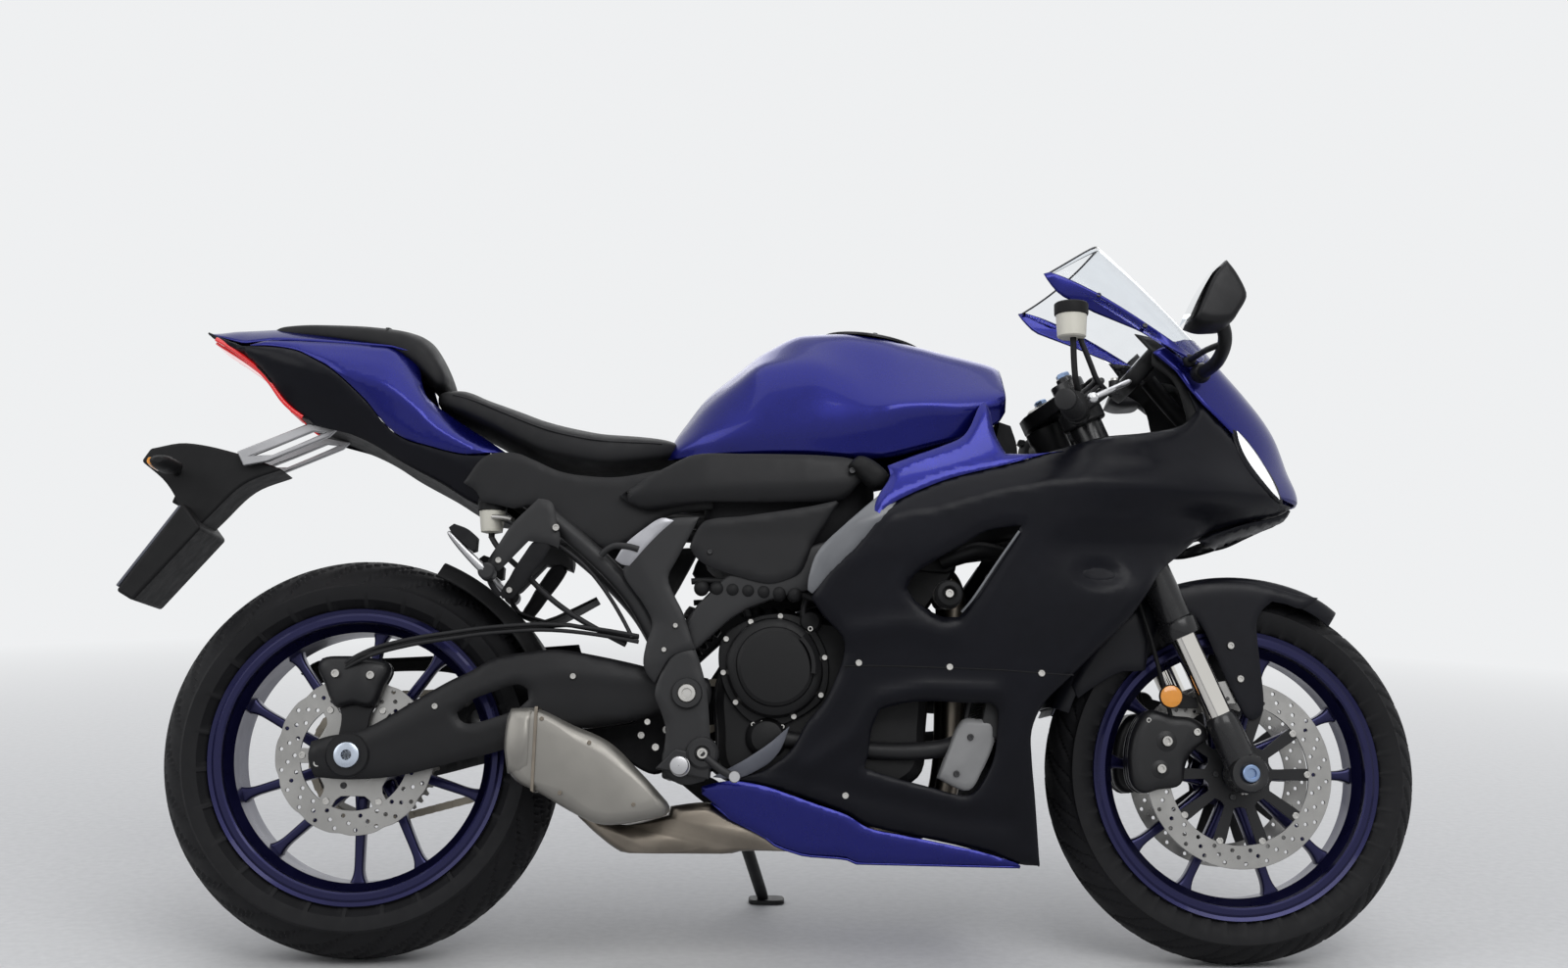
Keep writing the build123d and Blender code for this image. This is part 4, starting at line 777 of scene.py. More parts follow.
BELLY = [(540, 274), (566, 281), (594, 283), (640, 275), (677, 263), (720, 248), (764, 233), (797, 214),
         (850, 203), (918, 190), (975, 178), (1030, 160), (1034, 156), (950, 157), (850, 158), (776, 161),
         (764, 168), (700, 172), (660, 184), (624, 205), (584, 225), (561, 247), (541, 262),]
STAND_CUT_X = 652  # behind this the left side is open for the side stand
STAND_CUT = [(480, 180), (STAND_CUT_X, 212), (656, 300), (640, 322), (560, 345), (480, 345)]


def without(outline, cutter):
    """An outline with the part inside a cutter taken away, by dropping and joining its points."""
    fine = rounded(outline, 8)
    keep = ~inside(fine, cutter)
    return [p for p, ok in zip(fine, keep) if ok]


nose_extra = []
for z_step in np.arange(560, 1062, 9.0):
    tip = float(nose_at(z_step))
    nose_extra += [(tip - s, z_step) for s in (1.2, 4, 9, 16, 25, 36, 49, 66)]
for side, tag in SIDES:
    dark = rounded(SIDE_DARK, 11)
    blue = rounded(SIDE_BLUE, 8)
    if side > 0:
        dark = without(SIDE_DARK, STAND_CUT)
    skin("side_panel_" + tag, dark, fairing_y, "panel_dark", side,
         holes=[rounded(UPPER_VENT, 9), rounded(LOWER_VENT, 9)], thick=3.5, step=11, lip=7, lip_width=12,
         rim=1.2, extra=nose_extra, replaces=once(side, "side_fairings"))
    skin("shoulder_panel_" + tag, blue, lambda x, z: fairing_y(x, z) + 1.5, "paint_blue", side, thick=3.5,
         step=9, lip=4, lip_width=8)
    skin("vent_strip_" + tag, rounded(VENT_STRIP, 8), lambda x, z: fairing_y(x, z) - 2, "strip_grey", side,
         step=9, lip=4, lip_width=9)
    if side < 0:
        skin("lower_tab_" + tag, rounded(LOWER_TAB, 8), lambda x, z: fairing_y(x, z) - 3, "tab_grey", side,
             step=9, lip=3, lip_width=8)
    belly = rounded(BELLY, 9) if side < 0 else without(BELLY, STAND_CUT)
    skin("belly_side_" + tag, belly, lambda x, z: half_width(x, z) + 2.2, "paint_blue", side, thick=3.5,
         step=9, lip=4, lip_width=9, replaces=once(side, "belly_pan"))

# floor of the belly pan
floor_rows = []
for x in range(556, 1035, 14):
    bottom = float(np.interp(x, [541, 584, 624, 660, 700, 764, 776, 1034],
                             [262, 226, 206, 185, 173, 169, 162, 158]))
    half = float(half_width(x, bottom)[0]) - 1
    ts = np.linspace(-1, 1, 25)
    if x < STAND_CUT_X:
        floor_rows.append([(x, half * (-1 + (t + 1) * 0.81), bottom + 4 * (1 - abs(t))) for t in ts])
    else:
        floor_rows.append([(x, half * t, bottom + 6 * (1 - abs(t)) ** 0.8 - 3 * t ** 8) for t in ts])
belly_floor = grid_object("belly_floor", floor_rows, "paint_blue", sharp=40)
thicken(belly_floor, 3, offset=0)

# nose cowl: both halves meet on the mid plane
NOSE_COWL = [(1262, 978), (1299, 948), (1320, 917), (1341, 892), (1390, 846), (1411, 829), (1441, 783),
             (1472, 746), (1508, 741)]
TOP_EDGE = [(1290, 994), (1318, 1006), (1352, 1014)]
edge = sorted(NOSE_COWL + TOP_EDGE, key=lambda p: p[1])
rows = []
for z in np.arange(742.0, 1014.0, 5.0):
    tip = float(nose_at(z))
    back = max(tip - float(np.interp(z, [p[1] for p in edge], [p[0] for p in edge])), 3.0)
    ts = np.linspace(0, 1, 22)
    xs = tip - back * ts ** 2
    ys = half_width(xs, np.full(len(xs), z)) + 0.8 * ts
    ys[0] = 0.0
    rows.append([(x, -y, z) for x, y in zip(xs[::-1], ys[::-1])]
                + [(x, y, z) for x, y in zip(xs[1:], ys[1:])])
nose = grid_object("nose_cowl", rows, "paint_blue", replaces=["upper_fairing"])
thicken(nose, 3)

# ------------------------------------------------------------------ wheels
REAR = (0.0, REAR_AXLE_Z)
FRONT = FRONT_AXLE
BEAD_R = 218
REAR_SEAT, FRONT_SEAT = 70, 45  # half the width between a rim's bead seats


def tyre_skin(name, centre, body, radius, crown, half, seat, cuts, replaces):
    """A tyre with a round crown and curved rain grooves sunk into it."""
    wall = [(-seat + 10, BEAD_R + 1), (-seat + 0.5, BEAD_R + 1), (-seat + 0.5, BEAD_R + 14),
            (-seat - 3, BEAD_R + 17), (-half + 4.5, BEAD_R + 27), (-half + 1, BEAD_R + 40)]
    edge_r, edge_y = BEAD_R + 48, half - 0.3
    base = radius - crown
    shoulder = [(-edge_y, edge_r)]
    count = 21
    for i in range(1, count):
        t = i / count
        a = math.radians(78) * (1 - t)
        arc = (-(crown - 0.4) * math.sin(a), base + (crown - 0.4) * math.cos(a))
        blend = max(0.0, 1 - t / 0.35)
        line = (-edge_y + (edge_y - (crown - 0.4) * math.sin(math.radians(50))) * t / 0.36,
                edge_r + (base + crown * math.cos(math.radians(50)) - edge_r) * t / 0.36)
        if abs(arc[0]) > edge_y - 1:
            blend = 1.0
        shoulder.append((arc[0] * (1 - blend) + line[0] * blend, arc[1] * (1 - blend) + line[1] * blend))
    half_line = wall + shoulder
    line = half_line + [(0, radius)] + [(-y, r) for y, r in reversed(half_line)]
    segments = 760
    prof = np.array(line)
    ang = 2 * math.pi * np.arange(segments) / segments
    y = np.broadcast_to(prof[:, 0], (segments, len(prof)))
    r = np.broadcast_to(prof[:, 1], (segments, len(prof))).copy()
    arc_len = ang[:, None] * radius
    tread = np.abs(y) < half - 5
    pitch = 2 * math.pi * radius / cuts
    depth = np.zeros_like(r)
    for mirror_side in (-1, 1):
        across = y * mirror_side
        along = np.mod(arc_len + (0 if mirror_side < 0 else pitch / 2), pitch)
        for start, lo, hi, slope, bend, width in (
            (0.05, -8, half * 0.86, 1.55, 0.008, 5.4), (0.52, half * 0.28, half * 0.9, 0.95, 0.010, 4.2),
        ):
            centre_line = start * pitch + (across - lo) * slope + bend * (across - lo) ** 2
            gap = np.abs(np.mod(along - centre_line + pitch / 2, pitch) - pitch / 2)
            gap = gap / math.sqrt(1 + slope ** 2)
            ends = np.minimum(across - lo, hi - across)
            w = width * 0.5 * np.clip(ends / 6 + 0.3, 0, 1)
            depth = np.maximum(depth, np.where((ends > 0) & tread, np.clip((w - gap) / 1.4 + 0.5, 0, 1), 0))
    r = r - 4.2 * depth
    points = np.stack([centre[0] + r * np.cos(ang)[:, None], y, centre[1] + r * np.sin(ang)[:, None]],
                      axis=-1)
    points = points.reshape(-1, 3)
    n = len(prof)
    faces = []
    for s in range(segments):
        t = (s + 1) % segments
        for k in range(n):
            k2 = (k + 1) % n
            faces.append((s * n + k, s * n + k2, t * n + k2, t * n + k))
    return mesh_object(name, points, faces, "tyre", body, replaces, sharp=30)


tyre_skin("rear_tyre_skin", REAR, "rear_wheel", radius=314.8, crown=95, half=90, seat=REAR_SEAT, cuts=26,
          replaces=["rear_tyre"])
tyre_skin("front_tyre_skin", FRONT, "front_wheel", radius=299.8, crown=60, half=60, seat=FRONT_SEAT, cuts=26,
          replaces=["front_tyre"])


def spoke_rows(centre, foot_r, foot_a, head_r, head_a, half_y, foot_w, neck_w, head_w):
    """Sections of a wheel spoke from the hub to the barrel, its head flared."""
    foot = np.array([math.cos(foot_a), math.sin(foot_a)]) * foot_r
    head = np.array([math.cos(head_a), math.sin(head_a)]) * head_r
    run = head - foot
    side = np.array([-run[1], run[0]]) / np.linalg.norm(run)
    rows = []
    for t in (0, 0.08, 0.25, 0.5, 0.72, 0.84, 0.92, 0.97, 1.0):
        mid = foot + run * t
        if t < 0.25:
            w = foot_w + (neck_w + 1.5 - foot_w) * (t / 0.25) ** 0.7
        elif t < 0.84:
            w = neck_w + 1.5 * (1 - (t - 0.25) / 0.59)
        else:
            w = neck_w + (head_w - neck_w) * ((t - 0.84) / 0.16) ** 1.8
        depth = half_y * (1.0 + 0.12 * (1 - t) + 0.15 * max(0, (t - 0.84) / 0.16))
        ring = []
        for u, v in soft_ring(16, 0.45, 0.55, 0.5):
            p = mid + side * (u * w)
            ring.append((centre[0] + p[0], v * depth, centre[1] + p[1]))
        rows.append(ring)
    return rows


def rim_skin(name, centre, body, seat, hub, half_y, start, skew, replaces):
    """Cast wheel: a barrel with flanges, and ten spokes in pairs."""
    lip, drop = BEAD_R + 13, BEAD_R - 12
    f = seat + 6
    half_line = [(-f, lip - 1), (-f + 1, lip), (-seat, lip), (-seat, BEAD_R + 1), (-seat + 4, BEAD_R),
                 (-seat + 14, BEAD_R), (-seat + 22, drop), (-4, drop)]
    inner = [(-4, drop - 9.5), (-seat + 24, drop - 10), (-seat + 10, BEAD_R - 10), (-f + 2, BEAD_R - 9),
             (-f, BEAD_R - 6), (-f, BEAD_R + 2), (-f + 2, BEAD_R + 6), (-f + 1, lip - 4)]
    ring = half_line + [(-y, r) for y, r in reversed(half_line)]
    ring += [(-y, r) for y, r in reversed(inner)] + inner
    turned(name + "_barrel", ring, centre, "rim_blue", segments=192, body=body, replaces=replaces, sharp=25)
    points, faces = [], []
    rows_all = []
    for pair in range(5):
        for turn, extra in ((0, 0), (30.0, skew)):
            head_a = math.radians(start + 72 * pair + turn)
            foot_a = head_a + math.radians(extra)
            rows_all.append(spoke_rows(centre, foot_r=hub - 10, foot_a=foot_a, head_r=BEAD_R - 15,
                                       head_a=head_a, half_y=half_y, foot_w=13, neck_w=7.5, head_w=19))
    for rows in rows_all:
        n = len(rows[0])
        first = len(points)
        for row in rows:
            points += row
        for i in range(len(rows) - 1):
            for k in range(n):
                a, b = first + i * n + k, first + i * n + (k + 1) % n
                faces.append((a, b, b + n, a + n))
        faces.append(tuple(first + k for k in range(n)))
        faces.append(tuple(first + (len(rows) - 1) * n + k for k in reversed(range(n))))
    spokes = mesh_object(name + "_spokes", points, faces, "rim_blue", body, sharp=0)
    subdivide(spokes, 1)


def hub_skin(name, centre, body, hub_r, y0, y1, waist):
    """A hub between two distances from the mid plane, narrower at its waist."""
    ring = [(y0, 16), (y0, hub_r - 3), (y0 + 2, hub_r), (y0 + 12, hub_r), (y0 + 24, waist), (0, waist),
            (y1 - 24, waist), (y1 - 12, hub_r), (y1 - 2, hub_r), (y1, hub_r - 3), (y1, 16)]
    return turned(name, ring, centre, "rim_blue", body=body, sharp=25)


rim_skin("rear_wheel", REAR, "rear_wheel", seat=REAR_SEAT, hub=62, half_y=14, start=270.0, skew=17.0,
         replaces=["rear_rim"])
rim_skin("front_wheel", FRONT, "front_wheel", seat=FRONT_SEAT, hub=50, half_y=12, start=288.0, skew=17.0,
         replaces=["front_rim"])
hub_skin("rear_hub", REAR, "rear_wheel", hub_r=62, y0=-83.5, y1=100.5, waist=50)
hub_skin("front_hub", FRONT, "front_wheel", hub_r=50, y0=-59.5, y1=59.5, waist=40)


def disc_skin(name, centre, body, outer_r, inner_r, near, far, side, holes, wave, replaces=()):
    """Drilled brake disc ring."""
    outline = []
    for a in angles(240):
        outline.append(around(centre, outer_r - wave * (0.5 + 0.5 * math.cos(a * holes / 2)) ** 4, a))
    cut = [circle(centre, inner_r, 120)]
    band = outer_r - inner_r
    for a in angles(holes):
        for share, turn in ((0.22, 0.0), (0.5, 0.35), (0.78, 0.7)):
            at = around(centre, inner_r + band * share, a + turn * 2 * math.pi / holes)
            cut.append(circle(at, 3.1, 10))
    return plate(name, outline, near, far, "disc_steel", side, holes=cut, edge=0.4, body=body,
                 replaces=replaces, segments=1, step=30)


def carrier_skin(name, centre, body, inner_r, hub_r, near, far, side, arms, mat):
    """Inner part of a disc: arms from the hub to bobbins on the ring."""
    outline = []
    w = math.pi / arms
    half_arm = [(0.26 * w, inner_r + 4), (0.30 * w, inner_r - 9), (0.45 * w, hub_r + 7),
                (0.86 * w, hub_r + 4)]
    whole_arm = [(-turn, r) for turn, r in reversed(half_arm)] + half_arm
    for a in angles(arms):
        outline += [around(centre, r, a + turn) for turn, r in whole_arm]
    plate(name, outline, near, far, mat, side, holes=[circle(centre, 27, 48)], edge=0.8, body=body,
          segments=2, step=40)
    ring_bolts(name + "_bobbins", side, centre, radius=inner_r - 1, y=far + 0.2, turns=angles(arms), size=5.5,
               body=body, height=2.2)
    ring_bolts(name + "_bolts", side, centre, radius=hub_r - 10, y=far + 0.2, turns=angles(5, 0.5), size=5.0,
               mat="bolt_dark", body=body, height=4)


disc_skin("rear_disc_ring", REAR, "rear_wheel", outer_r=122.4, inner_r=84, near=83.6, far=88.4, side=-1,
          holes=22, wave=2.5, replaces=["rear_disc"])
carrier_skin("rear_disc_carrier", REAR, "rear_wheel", inner_r=82, hub_r=58, near=83.8, far=88.2, side=-1,
             arms=6, mat="disc_steel")
for side, tag in SIDES:
    disc_skin("front_disc_ring_" + tag, FRONT, "front_wheel", outer_r=148.9, inner_r=112, near=59.6, far=64.4,
              side=side, holes=26, wave=0.0, replaces=once(side, "front_discs"))
for side, tag in SIDES:
    carrier_skin("front_carrier_" + tag, FRONT, "front_wheel", inner_r=111, hub_r=48, near=59.8, far=64.2,
                 side=side, arms=10, mat="clamp_black")

# sprocket and chain
SPROCKET_TEETH = 43
outline = []
for k in range(SPROCKET_TEETH):
    for turn, r in ((0.0, 105.5), (0.16, 105.3), (0.30, 99.5), (0.5, 97.2), (0.70, 99.5), (0.84, 105.3)):
        outline.append(around(REAR, r, 2 * math.pi * (k + turn) / SPROCKET_TEETH))
cut = [circle(REAR, 27, 48)]
for a in angles(5, 0.25):
    cut.append([around(REAR, r, a + t)
                for r, t in ((72, 0), (88, 0.02), (88, 0.42), (88, 0.82), (72, 0.84), (68, 0.42))])
plate("sprocket_skin", outline, 101.2, 106.8, "sprocket_steel", 1, holes=cut, edge=0.4, body="rear_wheel",
      replaces=["sprocket"], segments=1, step=40)
ring_bolts("sprocket_nuts", 1, REAR, radius=50, y=107, turns=[1.2566 * k for k in range(5)], size=6,
           body="rear_wheel", kind="hex")

# ------------------------------------------------------------------ swingarm, chain and rear suspension
ARM_TOP = [(-58, 337), (-30, 346), (8, 352), (40, 366), (99, 402), (150, 432), (179, 446), (219, 468),
           (270, 478), (316, 482), (370, 474), (430, 462), (480, 450), (548, 440)]
ARM_LOW = [(-58, 336), (-60, 310), (-50, 283), (0, 280), (63, 284), (104, 292), (164, 308), (204, 318),
           (244, 330), (320, 355), (420, 370), (480, 384), (548, 394)]
arm_outline = rounded(ARM_TOP, 9, closed=False) + [(552, 430), (554, 418), (552, 404)]
arm_outline += reversed(rounded(ARM_LOW, 9, closed=False))
ARM_SLOT = [(163, 384), (174, 394), (189, 404), (225, 418), (256, 427), (270, 420), (272, 404), (256, 390),
            (220, 376), (182, 366), (168, 372)]


def arm_form(x, z):
    """Bulge of the swingarm's outer face: full along its middle and rounded to its edges."""
    top = np.interp(x, [p[0] for p in ARM_TOP], [p[1] for p in ARM_TOP])
    low = np.interp(x, [p[0] for p in ARM_LOW[2:]], [p[1] for p in ARM_LOW[2:]])
    t = np.clip((z - low) / np.maximum(top - low, 1), 0, 1)
    return 140 + 6 * np.sin(math.pi * t) ** 0.6 + 2.5 * np.exp(-((t - 0.72) / 0.12) ** 2)


for side, tag in SIDES:
    skin("swingarm_face_" + tag, arm_outline, arm_form, "arm_grey", side, holes=[rounded(ARM_SLOT, 7)],
         thick=30, step=10, lip=5, lip_width=9, rim=1.5, replaces=once(side, "swingarm"))
    side_turned("axle_block_" + tag, side, [((0, 118, REAR_AXLE_Z), [(0, 34), (28, 34), (32, 31)], 40)],
                "arm_grey")
    nut = [(136, 0.1), (136, 22), (146, 22), (147, 20), (156, 19), (157, 17), (157, 8), (150, 7.4),
           (150, 0.1)]
    turned("rear_axle_end_" + tag, facing(side, nut), REAR, "axle_alloy", segments=48, closed=False, sharp=30,
           replaces=once(side, "rear_axle"))
    side_bolts("arm_bolts_" + tag, side, [(-46, 140, 304, 6), (-46, 140, 326, 5), (130, 146, 392, 5),
                                          (340, 147, 440, 5)], "bolt_steel")
rear_spindle = [(Vector((0, -118, REAR_AXLE_Z)), (0, 1, 0), [(0, 12.4), (236, 12.4)], 32)]
turned_set("rear_spindle", rear_spindle, "axle_alloy")
bridge = rounded([(346, 366), (350, 420), (362, 436), (430, 436), (442, 420), (442, 382), (430, 372),
                  (360, 362)], 9)
rows = [[(x, y, z) for x, z in bridge] for y in np.linspace(-114, 114, 7)]
closed_grid("arm_bridge", rows, "arm_grey", sharp=50)

# chain: plates and rollers along both runs
DRIVE = (580.0, 415.0)
CHAIN_R, DRIVE_R = 104.0, 34.0
CHAIN_PITCH = 15.875
CHAIN_SAG = 5
run = Vector((DRIVE[0] - REAR[0], DRIVE[1] - REAR[1]))
dist = run.length
tilt = math.atan2(run.y, run.x)
open_angle = math.acos((CHAIN_R - DRIVE_R) / dist)
a0, a1 = tilt + open_angle, tilt - open_angle
top_rear, top_drive = around(REAR, CHAIN_R, a0), around(DRIVE, DRIVE_R, a0)
low_rear, low_drive = around(REAR, CHAIN_R, a1), around(DRIVE, DRIVE_R, a1)
chain_path = [around(REAR, CHAIN_R, a1 + (a0 - 2 * math.pi - a1) * k / 40) for k in range(40)]
for k in range(60):
    t = k / 60
    chain_path.append((top_rear[0] + (top_drive[0] - top_rear[0]) * t,
                       top_rear[1] + (top_drive[1] - top_rear[1]) * t))
chain_path += [around(DRIVE, DRIVE_R, a0 + (a1 - a0) * k / 16) for k in range(16)]
for k in range(60):
    t = k / 60
    chain_path.append((low_drive[0] + (low_rear[0] - low_drive[0]) * t,
                       low_drive[1] + (low_rear[1] - low_drive[1]) * t - CHAIN_SAG * math.sin(math.pi * t)))
path = np.array(chain_path + chain_path[:1])
lengths = np.concatenate([[0], np.cumsum(np.hypot(*np.diff(path, axis=0).T))])
pitch_count = int(lengths[-1] / CHAIN_PITCH)
at = np.linspace(0, lengths[-1], pitch_count, endpoint=False)
pins = np.stack([np.interp(at, lengths, path[:, 0]), np.interp(at, lengths, path[:, 1])], axis=1)
points, faces = [], []
rollers = []
for i, p in enumerate(pins):
    q = pins[(i + 1) % len(pins)]
    d = (q - p) / np.linalg.norm(q - p)
    n = np.array([-d[1], d[0]])
    outer = i % 2
    link = []
    for a in angles(12):
        c, s = math.cos(a), math.sin(a)
        if abs(c) > 0.3:
            link.append((q if c > 0 else p) + d * (7.0 * c) + n * 7.0 * s)
        else:
            link.append((p + q) / 2 + n * 5.6 * s)
    for lo in ((92.5, 94.2), (109.8, 111.5)) if outer else ((94.6, 96.2), (107.8, 109.4)):
        first = len(points)
        for y in lo:
            points += [(v[0], y, v[1]) for v in link]
        faces.append(tuple(first + k for k in range(12)))
        faces.append(tuple(first + 12 + k for k in reversed(range(12))))
        for k in range(12):
            k2 = (k + 1) % 12
            faces.append((first + k, first + k2, first + 12 + k2, first + 12 + k))
    rollers.append(((p[0], 92.0, p[1]), (0, 1, 0),
                    [(0, 2.2), (3, 2.2), (3, 4.6), (17, 4.6), (17, 2.2), (20.5, 2.2)], 10))
mesh_object("chain_links", points, faces, "chain_steel", replaces=["drive_chain"], sharp=40)
turned_set("chain_rollers", rollers, "chain_steel")
guard = rounded([(-126, 456), (-101, 474), (-20, 478), (102, 485), (170, 490), (240, 498), (330, 506),
                 (334, 494), (300, 476), (219, 466), (179, 450), (100, 462), (0, 460), (-60, 450),
                 (-110, 438)], 10)
plate("chain_guard_side", guard, 110, 114, "trim_black", 1, edge=1.2, replaces=["chain_guard"])
rows = [[(x, y, z) for y in np.linspace(90, 113, 6)]
        for x, z in rounded([(-128, 454), (-101, 475), (-20, 479), (102, 486), (170, 491), (240, 499),
                             (330, 507)], 12, closed=False)]
guard_top = grid_object("chain_guard_top", rows, "trim_black")
thicken(guard_top, 3, offset=0)

# hugger over the rear tyre
HUGGER_R = 330
rows = []
for k in range(40):
    a = math.radians(22 + 46 * k / 39)
    row = []
    for t in np.linspace(-1, 1, 25):
        drop = 26 * max(0, abs(t) - 0.72) / 0.28
        x, z = around(REAR, HUGGER_R - drop * 0.9, a)
        row.append((x, 83 * (abs(t) ** 0.85) * (1 if t > 0 else -1), z))
    rows.append(row)
hugger = grid_object("hugger_skin", rows, "trim_black", replaces=["rear_hugger"])
thicken(hugger, 4, offset=0)
bevel(hugger, 1.2, segments=2)
for side, tag in SIDES:
    plate("hugger_ear_" + tag, rounded([(305, 437), (318, 452), (340, 462), (380, 462), (372, 446),
                                        (330, 434)], 8), 72, 108, "trim_black", side, edge=2)

# shock: body, coil and rods
shock_dir = Vector((0.62, 0, 0.78)).normalized()
shock_at = Vector((452, 0, 432))
coil = []
u, v = frame_of(shock_dir, (0, 1, 0))
for k in range(121):
    a = 2 * math.pi * k / 15
    coil.append(tuple(shock_at + shock_dir * (20 + 118 * k / 120) + (u * math.cos(a) + v * math.sin(a)) * 29))
tube("shock_coil", coil, 5.0, "trim_black", replaces=["rear_shock"], resolution=4)
turned_set("shock_body",
           [(shock_at - shock_dir * 6, shock_dir,
             [(0, 12), (10, 24), (16, 34), (24, 34), (26, 18), (138, 18), (139, 34), (150, 34), (154, 24),
              (172, 14), (180, 12)], 40)],
           "arm_grey")

# ------------------------------------------------------------------ muffler and collector
MUFF = rounded([(268, 387), (292, 388), (345, 364), (399, 340), (448, 294), (478, 262), (493, 243),
                (489, 231), (455, 222), (420, 216), (389, 216), (355, 229), (300, 260), (254, 287),
                (247, 330), (252, 372)], 8, sharp=60)
block("muffler_body", MUFF, ((118, 26), (119, 18), (122, 12), (130, 5), (142, 1.5), (150, 0.4), (188, 0.4),
                             (200, 2.5), (208, 7), (212.5, 14), (214, 24)), -1, "muffler_satin",
      replaces=["muffler"])
cap = rounded([(252, 388), (287, 389), (284, 292), (268, 283), (249, 291), (243, 330), (246, 372)], 8)
rows = [[(x + (268 - x) * s, -y, z + (336 - z) * s) for x, z in cap]
        for y, s in ((122, 0.35), (124, 0.2), (130, 0.08), (142, 0.0), (192, 0.0), (203, 0.05), (211, 0.14),
                     (216, 0.3))]
closed_grid("muffler_cap", rows, "muffler_satin")
turned_set("muffler_outlet",
           [((252, -168, 338), (-1, 0, 0.15), [(-2, 24), (3, 24), (5, 21), (5, 18), (-2, 17)], 36)],
           "inner_black")
plate("muffler_band", rounded([(289, 390), (294, 390), (291, 262), (286, 265)], 12), 119, 216,
      "exhaust_steel", -1, edge=1)
side_bolts("muffler_rivets", -1,
           [(x, 214.5, z, 3.2) for x, z in ((330, 262), (372, 337), (440, 246), (300, 372))],
           "exhaust_steel", height=2.0)

box_top = [(350, 229), (420, 216), (489, 231), (493, 244), (540, 250), (561, 247), (601, 225), (640, 205),
           (673, 187), (757, 176)]
box_low = [(350, 227), (380, 200), (417, 174), (440, 170), (520, 168), (576, 169), (602, 176), (680, 176),
           (757, 175)]
box = rounded(box_top, 12, closed=False) + list(reversed(rounded(box_low, 12, closed=False)))
CHAMBER_LOW = 172  # the chamber's flat underside
rows = []
for y, amount in ((-126, 16), (-124, 9), (-116, 3), (-104, 0), (0, 0), (104, 0), (114, 3), (120, 9),
                  (122, 16)):
    rows.append([(x, y, max(z, CHAMBER_LOW)) for x, z in inset(box, amount)])
closed_grid("exhaust_chamber", rows, "exhaust_steel")
# dark linkage between the swingarm and the pivot plates
LINKAGE = [(341, 422), (384, 434), (424, 441), (471, 423), (499, 367), (491, 303), (463, 293), (426, 311),
           (365, 352), (339, 385)]
plate("linkage_block", rounded(LINKAGE, 8), 18, 78, "inner_black", -1, edge=4)
side_bolts("linkage_bolts", -1, [(469, 78, 411, 6), (484, 78, 362, 7), (444, 78, 353, 6), (372, 78, 390, 5)])
# upturned tip at the front of the hugger
rows = []
for x, z, wide in ((240, 549, 62), (262, 540, 62), (286, 533, 60),
                   (304, 540, 56), (336, 556, 50), (367, 573, 42)):
    rows.append([(x, wide * t, z) for t in np.linspace(-1, 1, 13)])
hugger_tip = grid_object("hugger_tip", rows, "trim_black")
thicken(hugger_tip, 4, offset=0)

# ------------------------------------------------------------------ tank
TANK = [
    # x, then the half section from the middle of the top: band edge, upper crease, widest place, bottom
    (476, (0, 812), (22, 811), (52, 806), (84, 800), (80, 793)),
    (490, (0, 842), (34, 838), (68, 826), (96, 806), (92, 792)),
    (508, (0, 868), (40, 863), (80, 843), (110, 814), (104, 792)),
    (537, (0, 907), (46, 901), (94, 872), (128, 824), (122, 792)),
    (585, (0, 948), (54, 942), (114, 908), (147, 834), (138, 792)),
    (633, (0, 986), (62, 979), (130, 938), (159, 842), (148, 792)),
    (698, (0, 1016), (76, 1007), (146, 935), (171, 848), (158, 791)),
    (764, (0, 1018), (86, 1009), (160, 906), (179, 852), (163, 787)),
    (800, (0, 1013), (90, 1005), (170, 884), (184, 856), (166, 785)),
    (833, (0, 1008), (92, 1000), (178, 877), (187, 864), (168, 788)),
    (850, (0, 1004), (93, 995), (179, 877), (186, 866), (167, 792)),
    (890, (0, 995), (93, 986), (176, 878), (181, 868), (164, 804)),
    (930, (0, 986), (91, 976), (168, 882), (175, 868), (160, 816)),
    (970, (0, 979), (88, 967), (158, 888), (166, 872), (152, 832)),
    (1004, (0, 972), (84, 958), (147, 896), (156, 880), (146, 850)),
    (1016, (0, 966), (80, 952), (140, 900), (148, 888), (140, 868)),
]
tank_x = [row[0] for row in TANK]
tank_cols = [[c for point in row[1:] for c in point] for row in TANK]
CAP_AT = np.array([815.0, 1008.0])
CAP_SLOPE = math.tan(math.radians(-9.0))


def tank_section(x):
    """Half section (y, z) of the tank at x, from the top middle to the lower edge."""
    flat = curve_at(tank_x, tank_cols, float(x))
    p = [(flat[2 * i], flat[2 * i + 1]) for i in range(5)]
    line = []
    for i, steps in ((0, 9), (1, 10), (2, 5), (3, 7)):
        for k in range(steps):
            t = k / steps
            line.append((p[i][0] * (1 - t) + p[i + 1][0] * t, p[i][1] * (1 - t) + p[i + 1][1] * t))
    line.append(p[4])
    line = np.array(line)
    for _ in range(5):
        soft = line.copy()
        soft[1:-1] = 0.25 * line[:-2] + 0.5 * line[1:-1] + 0.25 * line[2:]
        soft[0, 1] = 0.5 * line[0, 1] + 0.5 * line[1, 1]
        line = soft
    bulge = np.sin(np.linspace(0, math.pi, len(line))) ** 2
    line[:, 0] += 2.5 * bulge
    return line


